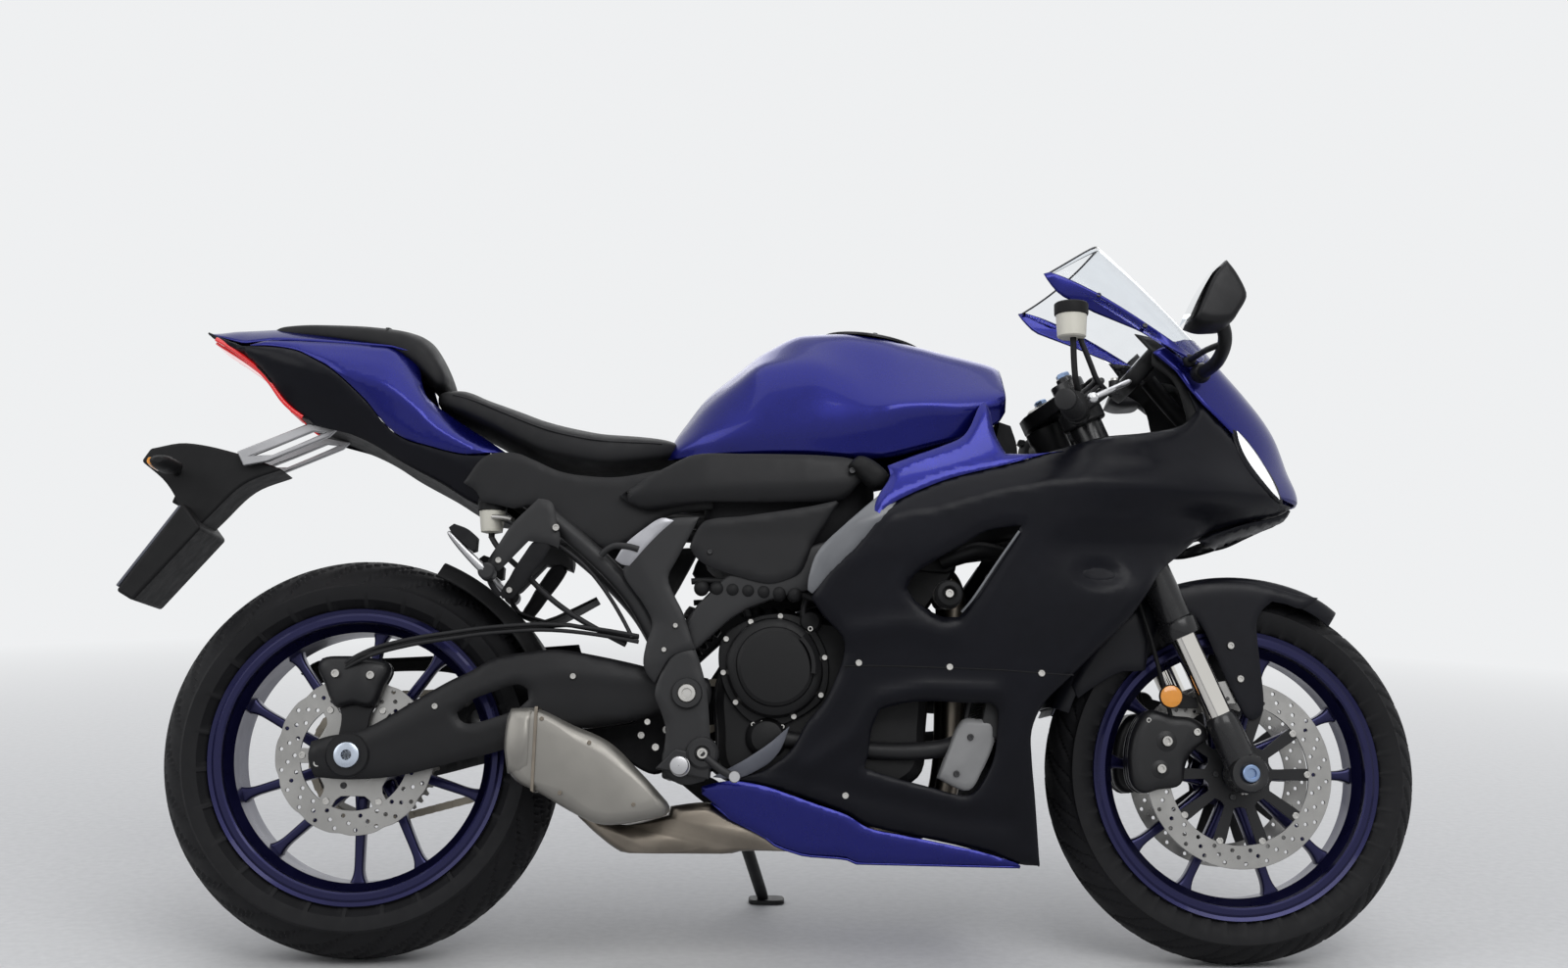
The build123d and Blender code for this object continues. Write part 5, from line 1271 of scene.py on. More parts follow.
rows = []
for x in np.concatenate([np.linspace(476, 510, 9), np.linspace(516, 1000, 68), np.linspace(1004, 1016, 5)]):
    half = tank_section(x)
    full = [(-y, z) for y, z in half[:0:-1]] + [(y, z) for y, z in half]
    row = []
    for y, z in full:
        plane = CAP_AT[1] + (x - CAP_AT[0]) * CAP_SLOPE
        gap = math.hypot(x - CAP_AT[0], y)
        if z > 900 and gap < 100:
            flat = plane - (1.0 if gap > 57 else 4.5)
            mix = min(1.0, max(0.0, (100 - gap) / 30))
            z = min(z, z * (1 - mix) + flat * mix) if gap > 60 else min(z, flat)
        row.append((x, y, z))
    rows.append(row)
tank = grid_object("tank_skin", rows, "paint_blue", replaces=["fuel_tank"])
thicken(tank, 3)
ends = [rows[-1], [(p[0] - 2, p[1] * 0.86, 868 + (p[2] - 868) * 0.82) for p in rows[-1]],
        [(p[0] - 30, p[1] * 0.5, 868 + (p[2] - 868) * 0.5) for p in rows[-1]]]
grid_object("tank_front", ends, "inner_black")

# fuel cap: outer ring on the tank, and the lid that turns with the cap
cap_turn = Matrix.Rotation(math.radians(9.0), 3, "Y")


def on_cap(radius, angle, height):
    """A point of the cap: a radius and an angle on its tilted face, and a height above it."""
    p = cap_turn @ Vector((radius * math.cos(angle), radius * math.sin(angle), height))
    return (CAP_AT[0] + p.x, p.y, CAP_AT[1] + p.z)


def cap_rings(name, profile, mat, body, replaces=()):
    """A part turned about the cap's axis: profile points are (radius, height)."""
    rows = [[on_cap(r, 2 * math.pi * k / 72, h) for k in range(72)] for r, h in profile]
    return grid_object(name, rows, mat, body=body, replaces=replaces, wrap=True, sharp=30)


cap_rings("filler_ring", [(56, -4), (57, -0.2), (60, 0.2), (84, -0.2), (86, -1.5), (86, -5)], "cap_black",
          "root")
cap_rings("cap_lid", [(0.5, 5.5), (20, 5.6), (30, 5.2), (33, 7.4), (45, 8.4), (50, 7.6), (51.8, 5.5),
                      (51.8, 0.6), (0.5, 0.6)], "cap_black", "fuel_cap", ["fuel_cap"])
cap_rings("cap_key_plate", [(0.5, 7.2), (12, 7.2), (13.5, 6.6), (13.5, 5)], "bolt_steel", "fuel_cap")
bolts("filler_bolts", [(on_cap(71, 2 * math.pi * k / 6 + 0.5, 0.0), tuple(cap_turn @ Vector((0, 0, 1))), 4.5)
                       for k in range(6)], "bolt_dark")
pin_at = Vector(on_cap(60, 0, 5.5))
turned_set("cap_hinge_pin", [(pin_at - Vector((0, 12, 0)), (0, 1, 0), [(0, 4.2), (24, 4.2)], 20)],
           "bolt_dark", "fuel_cap")
lug = [(Vector(on_cap(r, 0, h)) + Vector((0, y, 0)))
       for y in (-11, 11) for r, h in ((44, 1), (60, 1.6), (60, 8), (44, 8))]
mesh_object("cap_lug", [tuple(p) for p in lug],
            [(0, 1, 2, 3), (7, 6, 5, 4), (0, 4, 5, 1), (1, 5, 6, 2), (2, 6, 7, 3), (3, 7, 4, 0)],
            "cap_black", "fuel_cap")

# ------------------------------------------------------------------ seats

def pad_rows(stations):
    """Rings of a cushion: stations are x, top, bottom, half width, and the crown's fall at the side."""
    xs = [s[0] for s in stations]
    cols = [s[1:] for s in stations]
    rows = []
    for x in np.linspace(xs[0], xs[-1], 46):
        top, bottom, half, fall = curve_at(xs, cols, float(x))
        ring = []
        for a in angles(30):
            c, s = math.cos(a), math.sin(a)
            y = math.copysign(abs(c) ** 0.55, c) * half
            if s >= 0:
                side = bottom + (top - fall - bottom) * 0.55
                z = side + (top - side - fall * (abs(y) / half) ** 2.4 * 0.7) * abs(s) ** 0.5
            else:
                z = bottom + (top - fall - bottom) * 0.55 * (1 - abs(s) ** 0.42)
            ring.append((float(x), y, z))
        rows.append(ring)
    return rows


seat_rows = pad_rows([
    (100, 900, 886, 60, 4), (108, 907, 876, 82, 8), (139, 910, 862, 99, 12), (190, 892, 838, 113, 14),
    (235, 876, 812, 124, 16), (285, 858, 787, 133, 18), (330, 847, 777, 137, 18), (380, 839, 771, 135, 17),
    (430, 837, 777, 122, 15), (470, 834, 788, 102, 12), (496, 826, 803, 80, 8), (504, 817, 809, 60, 3),
])
seat = closed_grid("rider_seat_pad", seat_rows, "seat_black", replaces=["rider_seat"], levels=1)
for side, tag in SIDES:
    line = []
    for row in seat_rows[2:-2]:
        ring = [p for p in row if p[1] * side > 0 and p[2] > row[0][2]]
        pick = max(ring, key=lambda p: abs(p[1]) * 0.9 + p[2] * 0.55)
        line.append((pick[0], pick[1], pick[2] + 0.6))
    smooth = [tuple(np.mean(line[max(0, i - 3):i + 4], axis=0)) for i in range(len(line))]
    tube("seat_seam_" + tag, smooth[::2], 1.3, "seat_black")

pad = closed_grid("pillion_cushion", pad_rows([
    (-176, 1006, 1000, 30, 1), (-168, 1010, 994, 52, 4), (-150, 1014, 990, 70, 6), (-100, 1017, 984, 84, 9),
    (-32, 1016, 974, 94, 12), (32, 1011, 960, 98, 14), (66, 1004, 940, 97, 16), (88, 992, 918, 94, 20),
    (104, 968, 904, 90, 18), (116, 940, 908, 82, 10), (120, 926, 915, 70, 4),
]), "seat_black", replaces=["pillion_pad"], levels=1)
tube("pillion_seam", [(20, y, 1013.0 - 13.5 * (abs(y) / 97) ** 2.4) for y in np.linspace(-92, 92, 21)], 1.2,
     "seat_black")

# ------------------------------------------------------------------ tail
TAIL = [(-274, 60, 984, 66, 992, 60, 1000), (-208, 78, 952, 98, 962, 92, 974),
        (-143, 84, 884, 118, 940, 106, 972), (-98, 88, 855, 128, 928, 108, 970),
        (20, 96, 806, 134, 900, 104, 964), (84, 100, 768, 133, 858, 98, 910),
        (106, 100, 755, 132, 836, 97, 880), (160, 102, 725, 130, 806, 100, 828),
        (226, 104, 696, 126, 776, 108, 796),]


def tail_y(x, z):
    """Outer side of the tail: narrow below, a crease at its widest, turned in above."""
    x = np.atleast_1d(np.asarray(x, float))
    z = np.atleast_1d(np.asarray(z, float))
    cols = curve_at([r[0] for r in TAIL], [r[1:] for r in TAIL], x)
    out = np.empty(len(x))
    for i, (yb, zb, ym, zm, yt, zt) in enumerate(cols):
        out[i] = np.interp(z[i], [zb - 20, zb, (zb + zm) / 2, zm, (zm + zt) / 2, zt, zt + 12],
                           [yb - 8, yb, (yb + ym) / 2 + 6, ym, (ym + yt) / 2 + 4, yt, yt - 14])
    return out


TAIL_BLUE = [
    (-196, 968), (-160, 978), (-60, 977), (31, 970), (60, 962), (68, 958), (84, 905), (94, 884), (123, 862),
    (180, 826), (222, 796), (158, 790), (100, 803), (60, 816), (31, 836), (-4, 877), (-59, 926), (-90, 944),
    (-117, 957), (-150, 964),
]
TAIL_DARK = [
    (-272, 997), (-255, 988), (-213, 968), (-190, 966), (-150, 963), (-117, 956), (-90, 943), (-59, 925),
    (-4, 876), (31, 835), (60, 815), (100, 802), (158, 789), (224, 790), (224, 706), (174, 716), (120, 748),
    (58, 780), (16, 806), (-17, 822), (-91, 842), (-100, 852), (-117, 861), (-143, 884), (-169, 922),
    (-208, 954), (-261, 986),
]
for side, tag in SIDES:
    skin("tail_blue_" + tag, rounded(TAIL_BLUE, 8), lambda x, z: tail_y(x, z) + 1.5, "paint_blue", side,
         step=8, lip=2.5)
    skin("tail_dark_" + tag, rounded(TAIL_DARK, 9), tail_y, "panel_dark", side, step=8, lip=2,
         replaces=once(side, "tail_cowl"))
    strip = [(-254, 983), (-240, 975), (-208, 953), (-180, 930), (-160, 908), (-143, 884), (-124, 866),
             (-108, 856)]
    fine = rounded(strip, 12, closed=False)
    widths = np.polyval(np.polyfit([p[0] for p in fine], [float(tail_y(x, z)[0]) - 2 for x, z in fine], 2),
                        [p[0] for p in fine])
    line = [(x - 1, side * float(y), z - 1) for (x, z), y in zip(fine, widths)]
    tube("tail_light_strip_" + tag, line, 3.6, "lamp_red")

top_rows = []
for x in np.linspace(-273, 66, 40):
    half = float(np.interp(x, [r[0] for r in TAIL], [r[5] for r in TAIL])) - 4
    low_z = float(np.interp(x, [-273, -208, -160, 31, 66], [996, 974, 978, 970, 962]))
    mid = float(np.interp(x, [-273, -235, -163, -60, 66], [1002, 1009, 1012, 1006, 990]))
    top_rows.append([(x, half * t, low_z + (mid - low_z) * (1 - abs(t) ** 2.6))
                     for t in np.linspace(-1, 1, 31)])
tail_top = grid_object("tail_top", top_rows, "paint_blue")
thicken(tail_top, 2.5)
back_line = rounded([(-272, 997), (-261, 987), (-208, 954), (-169, 922), (-143, 884), (-117, 861), (-98, 852),
                     (-60, 840), (-17, 824), (16, 808), (58, 782), (120, 749), (174, 717), (222, 702)], 14,
                    closed=False)
rows = []
for x, z in back_line:
    half = float(tail_y(x, z)[0]) - 3
    rows.append([(x + 5 * (1 - t * t), half * t, z + 3 * (1 - t * t)) for t in np.linspace(-1, 1, 17)])
under = grid_object("tail_under", rows, "trim_black")
thicken(under, 2.5)
lens_line = rounded([(-262, 986), (-208, 952), (-169, 920), (-150, 894), (-132, 872)], 10, closed=False)
rows = [[(x - 2.5, 44 * t, z - 2.0) for t in np.linspace(-1, 1, 13)] for x, z in lens_line]
lens = grid_object("tail_lamp_lens", rows, "lamp_red", replaces=["tail_lamp"])
thicken(lens, 4, offset=0)
bevel(lens, 1.2, segments=2)

# plate holder, its arms and signals
SIGNAL = (-314, 770)
for side, tag in SIDES:
    arm = [(-216, 801), (-160, 825), (-104, 849), (-58, 840), (-70, 828), (-120, 806), (-166, 786),
           (-205, 778)]
    slot = [(-190, 795), (-150, 812), (-96, 836), (-78, 834), (-120, 814), (-160, 796)]
    plate("plate_arm_" + tag, arm, 50, 61, "silver_arm", side, holes=[slot], edge=2.0)
    side_turned("signal_stalk_" + tag, side, [((SIGNAL[0], 44, SIGNAL[1]), [(0, 8), (20, 7), (26, 9)], 20)],
                "trim_black")
    rows = []
    for y, size in ((70, 0.55), (74, 0.8), (86, 1.0), (124, 0.94), (142, 0.72), (149, 0.35)):
        rows.append([(SIGNAL[0] + 21 * size * math.cos(a), side * y, SIGNAL[1] + 12 * size * math.sin(a))
                     for a in np.linspace(0, 2 * math.pi, 20, endpoint=False)])
    closed_grid("signal_body_" + tag, rows, "trim_black", sharp=40)
    rows = []
    for y, size in ((86, 0.55), (90, 0.82), (122, 0.80), (138, 0.55)):
        rows.append([(SIGNAL[0] - 16 + 8 * size * math.cos(a), side * y, SIGNAL[1] + 10 * size * math.sin(a))
                     for a in np.linspace(0, 2 * math.pi, 20, endpoint=False)])
    closed_grid("signal_lens_" + tag, rows, "amber", sharp=40)
BRACKET = [(-372, 786), (-359, 807), (-303, 817), (-219, 801), (-146, 776), (-207, 750), (-258, 698),
           (-286, 668), (-300, 700), (-330, 750)]
plate("plate_bracket", rounded(BRACKET, 12), -45, 45, "trim_black", 1, edge=6, replaces=["plate_holder"])
plate("plate_board", [(-292, 714), (-261, 674), (-361, 556), (-388, 572)], -79, 79, "trim_black", 1, edge=5)
plate("plate_blank", [(-299, 711), (-295, 708), (-386, 578), (-390, 581)], -74, 74, "tab_grey", 1)
plate("plate_lamp", rounded([(-318, 742), (-290, 752), (-276, 730), (-300, 716), (-326, 722)], 8), -24, 24,
      "trim_black", 1, edge=3)

# dark covers between the seat's lower edge, the tail and the frame
SEAT_COVER = [(159, 742), (192, 785), (238, 791), (269, 780), (312, 762), (361, 755), (404, 755), (459, 765),
              (508, 774), (551, 787), (552, 705), (485, 694), (448, 672), (412, 646), (382, 641), (345, 660),
              (301, 675), (270, 708), (240, 702), (209, 708), (188, 711), (180, 728)]
for side, tag in SIDES:
    skin("seat_cover_" + tag, rounded(SEAT_COVER, 9), flat_face(141), "panel_satin", side, step=10, lip=2)

# ------------------------------------------------------------------ frame covers and side panels
COVER = [(414, 605), (428, 628), (462, 672), (488, 684), (531, 687), (520, 662), (496, 616), (485, 592),
         (494, 566), (508, 539), (520, 506), (528, 482), (500, 474), (488, 466), (475, 444), (467, 428),
         (456, 440), (448, 459), (452, 490), (460, 521), (448, 548), (430, 572), (418, 590)]
# outline of the silver facet on the frame cover, a painted highlight
HIGHLIGHT_FACET = [(402, 618), (417, 642), (446, 667), (473, 684), (492, 680), (472, 662), (452, 641), (435, 621),
         (424, 609), (412, 611)]
PIVOT_OUT = [(492, 478), (500, 486), (527, 484), (536, 460), (546, 421), (552, 360), (554, 300), (545, 282),
             (520, 276), (497, 281), (484, 292), (480, 311), (484, 340), (484, 364), (476, 388), (467, 411),
             (474, 440)]


PIVOT = (516, 414)  # the swingarm's pivot
PEG = (508, 303)  # the rider's foot peg


def cover_form(x, z):
    """Frame cover: sunk in along its rear edge and raised a little towards its top; the silver facet laid on
    it is a painted highlight.
    """
    gap = away(np.stack([x, z], axis=1), [(414, 605), (460, 521), (448, 459), (467, 428)], closed=False)
    return 179 - 7 * np.clip(1 - gap / 26, 0, 1) + 1.5 * np.clip((z - 620) / 60, 0, 1)


for side, tag in SIDES:
    skin("frame_cover_" + tag, rounded(COVER, 8), cover_form, "frame_grey", side, thick=6, step=8, lip=2.5,
         lip_width=5, rim=1.2, replaces=once(side, "main_frame"))
    # silver facet: a painted highlight along the frame cover's upper rear edge
    skin("painted_highlight_facet_" + tag, rounded(HIGHLIGHT_FACET, 6), lambda x, z: cover_form(x, z) + 1.4, "highlight_silver", side,
         step=6, lip=1, lip_width=3, rim=0.6)
    skin("pivot_plate_" + tag, rounded(PIVOT_OUT, 8), flat_face(176), "frame_grey", side, thick=20, step=9,
         lip=3, lip_width=7, rim=1.5)
    ring = [(172, 0.1), (180, 0.1), (180, 13), (184, 15), (184, 22), (181, 24), (176, 24)]
    turned("pivot_ring_" + tag, facing(side, ring), PIVOT, "frame_grey", segments=48, closed=False, sharp=30)
    side_bolts("pivot_bolt_" + tag, side, [(PIVOT[0], 176, PIVOT[1], 15)], height=3.6)
    side_turned("lower_bosses_" + tag, side,
                [((541, 174, 323), [(0, 26), (12, 24), (16, 20), (16, 12), (12, 11), (12, 0.5)], 36),
                 ((PEG[0], 174, PEG[1]), [(0, 17), (9, 16), (12, 13), (12, 8), (8, 7), (8, 0.5)], 36)],
                "frame_grey")
    side_bolts("boss_bolts_" + tag, side, [(541, 187, 323, 9), (PEG[0], 182, PEG[1], 7), (470, 175, 332, 6),
                                           (497, 181, 517, 4), (480, 180, 480, 4), (457, 178, 370, 5)],
               "bolt_steel")
    # beam from the cover to the steering head
    rows = []
    for x, mid, half, low, high in ((500, 163, 8, 452, 520), (560, 163, 8.5, 510, 585),
                                    (600, 163, 9, 548, 620), (680, 163, 9, 570, 640), (760, 163, 9, 590, 660),
                                    (860, 146, 12, 620, 704), (960, 124, 15, 650, 745),
                                    (1040, 90, 16, 672, 782), (1110, 58, 16, 680, 800),
                                    (1160, 36, 14, 686, 800)):
        rows.append([(x, side * (mid + u * half), (low + high) / 2 + v * (high - low) / 2)
                     for u, v in soft_ring(20, 0.5, 0.4, 0.5)])
    closed_grid("frame_beam_" + tag, rows, "frame_grey", levels=1)
    # rails of the subframe
    rail = [(468, 500), (445, 545), (410, 590), (364, 634), (318, 672), (296, 690)]
    tube("side_rail_" + tag, [(x, side * 140, z) for x, z in rail], 15, "frame_grey",
         replaces=once(side, "subframe"))
    tube("upper_rail_" + tag, on_side(side, [(650, 80, 690), (420, 79, 697), (292, 78, 700), (230, 78, 740),
                                             (140, 78, 790), (56, 78, 848)]), 13, "frame_grey")
    tube("rail_link_" + tag, on_side(side, [(322, 84, 692), (300, 110, 694), (288, 138, 692)]), 13,
         "frame_grey")
for x, z in ((290, 700), (600, 691), (72, 838)):
    tube("cross_tube_%d" % x, [(x, -86, z), (x, 86, z)], 9, "frame_grey")

SIDE_PANEL = [(404, 722), (430, 738), (442, 747), (480, 768), (522, 787), (600, 789), (663, 789), (740, 787),
              (774, 782), (788, 770), (786, 752), (778, 741), (752, 717), (680, 713), (600, 711), (532, 710),
              (490, 704), (452, 699), (424, 708)]


def panel_form(x, z):
    """Panel under the tank: flares out to a soft ridge and turns in below it."""
    mid = 738 + 0.05 * (x - 600)
    ridge = np.interp(x, [404, 450, 540, 700, 790], [158, 168, 178, 183, 176])
    return ridge - 13 * np.clip((mid - z) / 36, 0, 1.4) ** 1.6 - 5 * np.clip((z - mid) / 50, 0, 1) ** 1.5


LOWER_PANEL = [(541, 682), (600, 690), (700, 706), (744, 716), (748, 712), (738, 694), (722, 668), (708, 646),
               (700, 624), (690, 603), (672, 592), (641, 584), (600, 592), (547, 609), (528, 622), (516, 640),
               (524, 662)]
RUBBER = [(762, 772), (776, 786), (800, 780), (826, 756), (822, 742), (806, 733), (784, 748)]
for side, tag in SIDES:
    skin("tank_panel_" + tag, rounded(SIDE_PANEL, 8), panel_form, "panel_satin", side, thick=14, step=9,
         lip=3, lip_width=7, rim=1.5, replaces=once(side, "tank_side_panels"))
    skin("lower_panel_" + tag, rounded(LOWER_PANEL, 8), lambda x, z: 177 + 3 * np.clip((z - 660) / 50, 0, 1),
         "panel_satin", side, thick=6, step=9, lip=3, lip_width=7, rim=1.2)
    rows = stacked(rounded(RUBBER, 8, sharp=80), ((150, 0.5), (154, 0.85), (166, 1.0), (186, 0.96),
                                                  (196, 0.8), (200, 0.45)), side, np.mean(RUBBER, axis=0))
    closed_grid("rubber_block_" + tag, rows, "trim_black")
    side_bolts("panel_bolts_" + tag, side, [(768, 183, 762, 5), (548, 178, 632, 4)],
          "bolt_dark")
    lump = [(0, 8), (8, 12), (18, 12), (24, 8), (26, 2)]
    side_turned("airbox_lumps_" + tag, side, [((536 + 24 * k, 150, 577 - 1.3 * k), lump, 18)
                                              for k in range(7)], "trim_black", sharp=0)
    tube("airbox_rod_" + tag, on_side(side, [(520, 158, 588), (560, 160, 592), (690, 160, 574),
                                             (716, 160, 560)]), 5, "trim_black")
# airbox between the panels
rows = []
for x, half, low, high in ((536, 120, 640, 740), (548, 140, 624, 756), (600, 146, 600, 770),
                           (700, 146, 606, 776), (760, 140, 640, 776), (800, 132, 680, 774),
                           (812, 118, 700, 760)):
    rows.append([(x, u * half, (low + high) / 2 + v * (high - low) / 2)
                 for u, v in soft_ring(24, 0.45, 0.45, 0.5)])
closed_grid("airbox", rows, "inner_black", levels=1)

# ------------------------------------------------------------------ engine
ENGINE = [(566, 302), (560, 360), (557, 420), (572, 470), (596, 514), (650, 540), (700, 546), (770, 532),
          (830, 511), (870, 470), (892, 430), (890, 360), (884, 300), (850, 272), (810, 252), (720, 248),
          (640, 250), (600, 270)]
outline = rounded(ENGINE, 12, sharp=70)
rows = stacked(outline, ((-127, 0.72), (-126, 0.9), (-118, 0.97), (-104, 0.985), (-100, 1.0), (-30, 1.0),
                         (-26, 0.985), (-22, 1.0), (70, 1.0), (72, 0.98)))
closed_grid("crankcase_skin", rows, "engine_black", replaces=["crankcase"], sharp=25)
left_case = [(x, z) for x, z in outline if x > 668]
rows = stacked(left_case, ((60, 1.0), (104, 1.0), (114, 0.96), (117, 0.86)))
closed_grid("crankcase_left", rows, "engine_black", sharp=40)


def swelling(a, lobes):
    """How much a cover's radius grows at an angle: lobes are (angle, amount, width), in degrees."""
    grow = 1.0
    for at, amount, width in lobes:
        d = math.degrees(math.atan2(math.sin(a - math.radians(at)), math.cos(a - math.radians(at))))
        grow += amount * math.exp(-(d / width) ** 2)
    return grow


def cover(name, centre, rings, side, lobes=(), replaces=()):
    """Engine cover: rings of (distance from the mid plane, radius) about a centre, swollen by its lobes."""
    rows = []
    for y, r in rings:
        spots = [around(centre, r * swelling(a, lobes), a) for a in angles(120)]
        rows.append([(x, side * y, z) for x, z in spots])
    return closed_grid(name, rows, "engine_black", replaces=replaces, sharp=25)


CLUTCH = (651, 457)
CLUTCH_LOBES = [(150, 0.10, 22), (62, 0.06, 20), (258, 0.10, 26), (330, 0.05, 20)]
cover("clutch_flange", CLUTCH, [(118, 84), (134, 85), (137, 83), (138, 74)], -1, CLUTCH_LOBES,
      ["engine_covers"])
cover("clutch_dome", CLUTCH, [(136, 78), (150, 77), (158, 74), (162, 68), (163, 62), (168, 60), (171, 55),
                              (172, 40), (172.5, 8)], -1, [(20, -0.05, 30), (200, -0.04, 30)])
rib = [[(CLUTCH[0] + r * math.cos(a), -y, CLUTCH[1] + r * math.sin(a))
        for r, y in ((56, 172), (66, 166.5), (69, 169), (62, 175), (56, 175))]
       for a in np.linspace(math.radians(-10), math.radians(48), 18)]
closed_grid("clutch_rib", rib, "engine_black", sharp=40)
spots = []
for a in [math.radians(at) for at in (12, 48, 84, 118, 150, 186, 222, 258, 292, 330)]:
    x, z = around(CLUTCH, 79.5 * swelling(a, CLUTCH_LOBES), a)
    spots.append((x, 138, z, 4.6))
side_bolts("clutch_bolts", -1, spots)
PUMP = (640, 350)
cover("water_pump", PUMP, [(100, 34), (132, 33), (138, 30), (144, 24), (146, 16), (147, 4)], -1)
ring_bolts("pump_bolts", -1, PUMP, radius=29, y=136, turns=(0.6, 2.4, 4.4), size=3.8)
cover("oil_filler", (706, 530), [(96, 20), (128, 19), (136, 18), (140, 14), (141, 3)], -1)
GENERATOR = (760, 400)
cover("generator_dome", GENERATOR, [(112, 73), (128, 73), (132, 70), (140, 69), (148, 64), (151, 54),
                                    (152, 10)], 1, [(90, 0.08, 20), (200, 0.07, 20), (320, 0.07, 20)])
ring_bolts("generator_bolts", 1, GENERATOR, radius=74, y=131, turns=(0.3, 1.57, 2.6, 3.5, 4.6, 5.6), size=4.6)
plate("sprocket_guard", rounded([(546, 352), (546, 440), (566, 478), (684, 478), (690, 420), (684, 352),
                                 (620, 346)], 10), 118.2, 129.5, "engine_black", 1, edge=3)
side_bolts("guard_bolts", 1, [(x, 129.5, z, 5) for x, z in ((560, 366), (560, 440), (672, 466), (672, 364))])
BLOCK = [(735, 548), (800, 528), (860, 508), (905, 570), (940, 620), (924, 664), (905, 700), (850, 708),
         (800, 715), (770, 660), (750, 610)]
sections = [(-104, 0.93)]
for k in range(1, 26):
    sections.append((-104 + 8 * k, 1.0 if k % 2 else 0.975))
sections.append((104, 0.93))
closed_grid("cylinder_skin", stacked(rounded(BLOCK, 12, sharp=60), sections), "engine_black",
            replaces=["cylinder_block"], sharp=40)
plate("head_side", rounded([(800, 640), (850, 620), (926, 612), (940, 622), (905, 700), (800, 714)], 10), 104,
      112, "engine_black", -1, edge=3)
side_bolts("head_bolts", -1, [(x, 112, z, 5) for x, z in ((812, 690), (890, 690), (918, 632), (830, 642))])
tube("oil_line", [(700, -132, 515), (690, -138, 555), (720, -136, 590), (790, -128, 610)], 5, "hose_black")
tube("wire_loom", [(610, -120, 540), (600, -132, 570), (560, -138, 560), (540, -140, 530), (545, -136, 500)],
     7, "hose_black")
tube("brake_line_frame", [(430, -158, 500), (400, -150, 560), (330, -146, 640), (210, -128, 690),
                          (193, -112, 702)], 3.2, "hose_black")

# ------------------------------------------------------------------ radiator, hoses and header pipes
rad_low, rad_high = Vector((984, 0, 352)), Vector((1044, 0, 642))
rad_dir = (rad_high - rad_low).normalized()
rad_out = Vector((rad_dir.z, 0, -rad_dir.x))
points, faces = [], []
for k in range(72):
    at = rad_low + rad_dir * (8 + 280 * k / 71)
    first = len(points)
    for y in (-146, 146):
        for f, g in ((-10, -0.7), (13, -0.7), (13, 0.7), (-10, 0.7)):
            points.append(tuple(at + rad_out * f + rad_dir * g + Vector((0, y, 0))))
    faces += [(first, first + 1, first + 5, first + 4), (first + 1, first + 2, first + 6, first + 5),
              (first + 2, first + 3, first + 7, first + 6), (first + 3, first, first + 4, first + 7)]
mesh_object("radiator_fins", points, faces, "radiator_black", replaces=["radiator"], sharp=20)
for y0, y1, name in ((-165, -145, "right"), (145, 165, "left")):
    ring = []
    for y in (y0, y1):
        ring.append([tuple(rad_low + rad_dir * d + rad_out * f + Vector((0, y, 0)))
                     for d, f in ((0, -16), (0, 16), (6, 18), (290, 18), (296, 16), (296, -16),
                                  (290, -18), (6, -18))])
    tank_part = closed_grid("radiator_tank_" + name, ring, "radiator_black", sharp=30)
    bevel(tank_part, 3)
for d in (2, 294):
    strip = [[tuple(rad_low + rad_dir * (d + e) + rad_out * f + Vector((0, y, 0)))
              for e, f in ((-4, -14), (-4, 16), (4, 16), (4, -14))]
             for y in (-150, 150)]
    closed_grid("radiator_bar_%d" % d, strip, "radiator_black", sharp=30)
tube("radiator_hose_low", [(980, -120, 372), (940, -132, 340), (880, -136, 330), (800, -130, 330),
                           (700, -128, 342), (655, -130, 350)], 14, "hose_black")
tube("radiator_hose_up", [(1010, -120, 640), (980, -130, 650), (940, -128, 640), (915, -118, 630)], 14,
     "hose_black")
tube("radiator_hose_left", [(980, 120, 372), (930, 130, 350), (880, 128, 360)], 14, "hose_black")
tube("overflow_hose", [(948, -150, 380), (955, -150, 420), (990, -146, 480), (1010, -140, 560)], 4,
     "hose_black")
for side, tag in SIDES:
    pipe = [(882, 48 * side, 640), (920, 48 * side, 622), (945, 48 * side, 590), (941, 48 * side, 520),
            (940, 48 * side, 420), (938, 48 * side, 320), (925, 48 * side, 250), (890, 48 * side, 212),
            (830, 48 * side, 203), (755, 48 * side, 204)]
    tube("header_pipe_" + tag, pipe, 19, "exhaust_steel", replaces=once(side, "exhaust_pipes"))
COOLANT_POT = [(942, 379), (966, 380), (988, 379), (992, 366), (988, 340), (970, 300), (951, 272), (928, 277),
               (903, 290), (918, 330)]
rows = stacked(rounded(COOLANT_POT, 7, sharp=80),
               ((128, 0.8), (131, 0.95), (136, 1.0), (158, 1.0), (164, 0.94), (166, 0.8)), -1)
closed_grid("coolant_pot", rows, "coolant_grey", replaces=["coolant_reservoir"])
side_bolts("coolant_bolts", -1, [(952, 166, 352, 5), (930, 166, 296, 5)], "bolt_dark")
# slider pucks in the upper vent
SLIDER = (913, 566)
for side, tag in SIDES:
    puck = [(106, 0.1), (106, 13), (200, 13), (202, 21), (228, 21), (235, 18), (237, 12), (234, 10), (230, 9),
            (230, 0.1)]
    turned("slider_puck_" + tag, facing(side, puck), SLIDER, "trim_black", segments=48, closed=False,
           sharp=30, replaces=once(side, "frame_sliders"))
    ring = [(203, 21.2), (206, 22.4), (209, 22.4), (212, 21.2)]
    turned("slider_ring_" + tag, facing(side, ring), SLIDER, "bolt_steel", segments=48, sharp=30)
    side_bolts("slider_bolt_" + tag, side, [(SLIDER[0], 230, SLIDER[1], 7)], height=4)

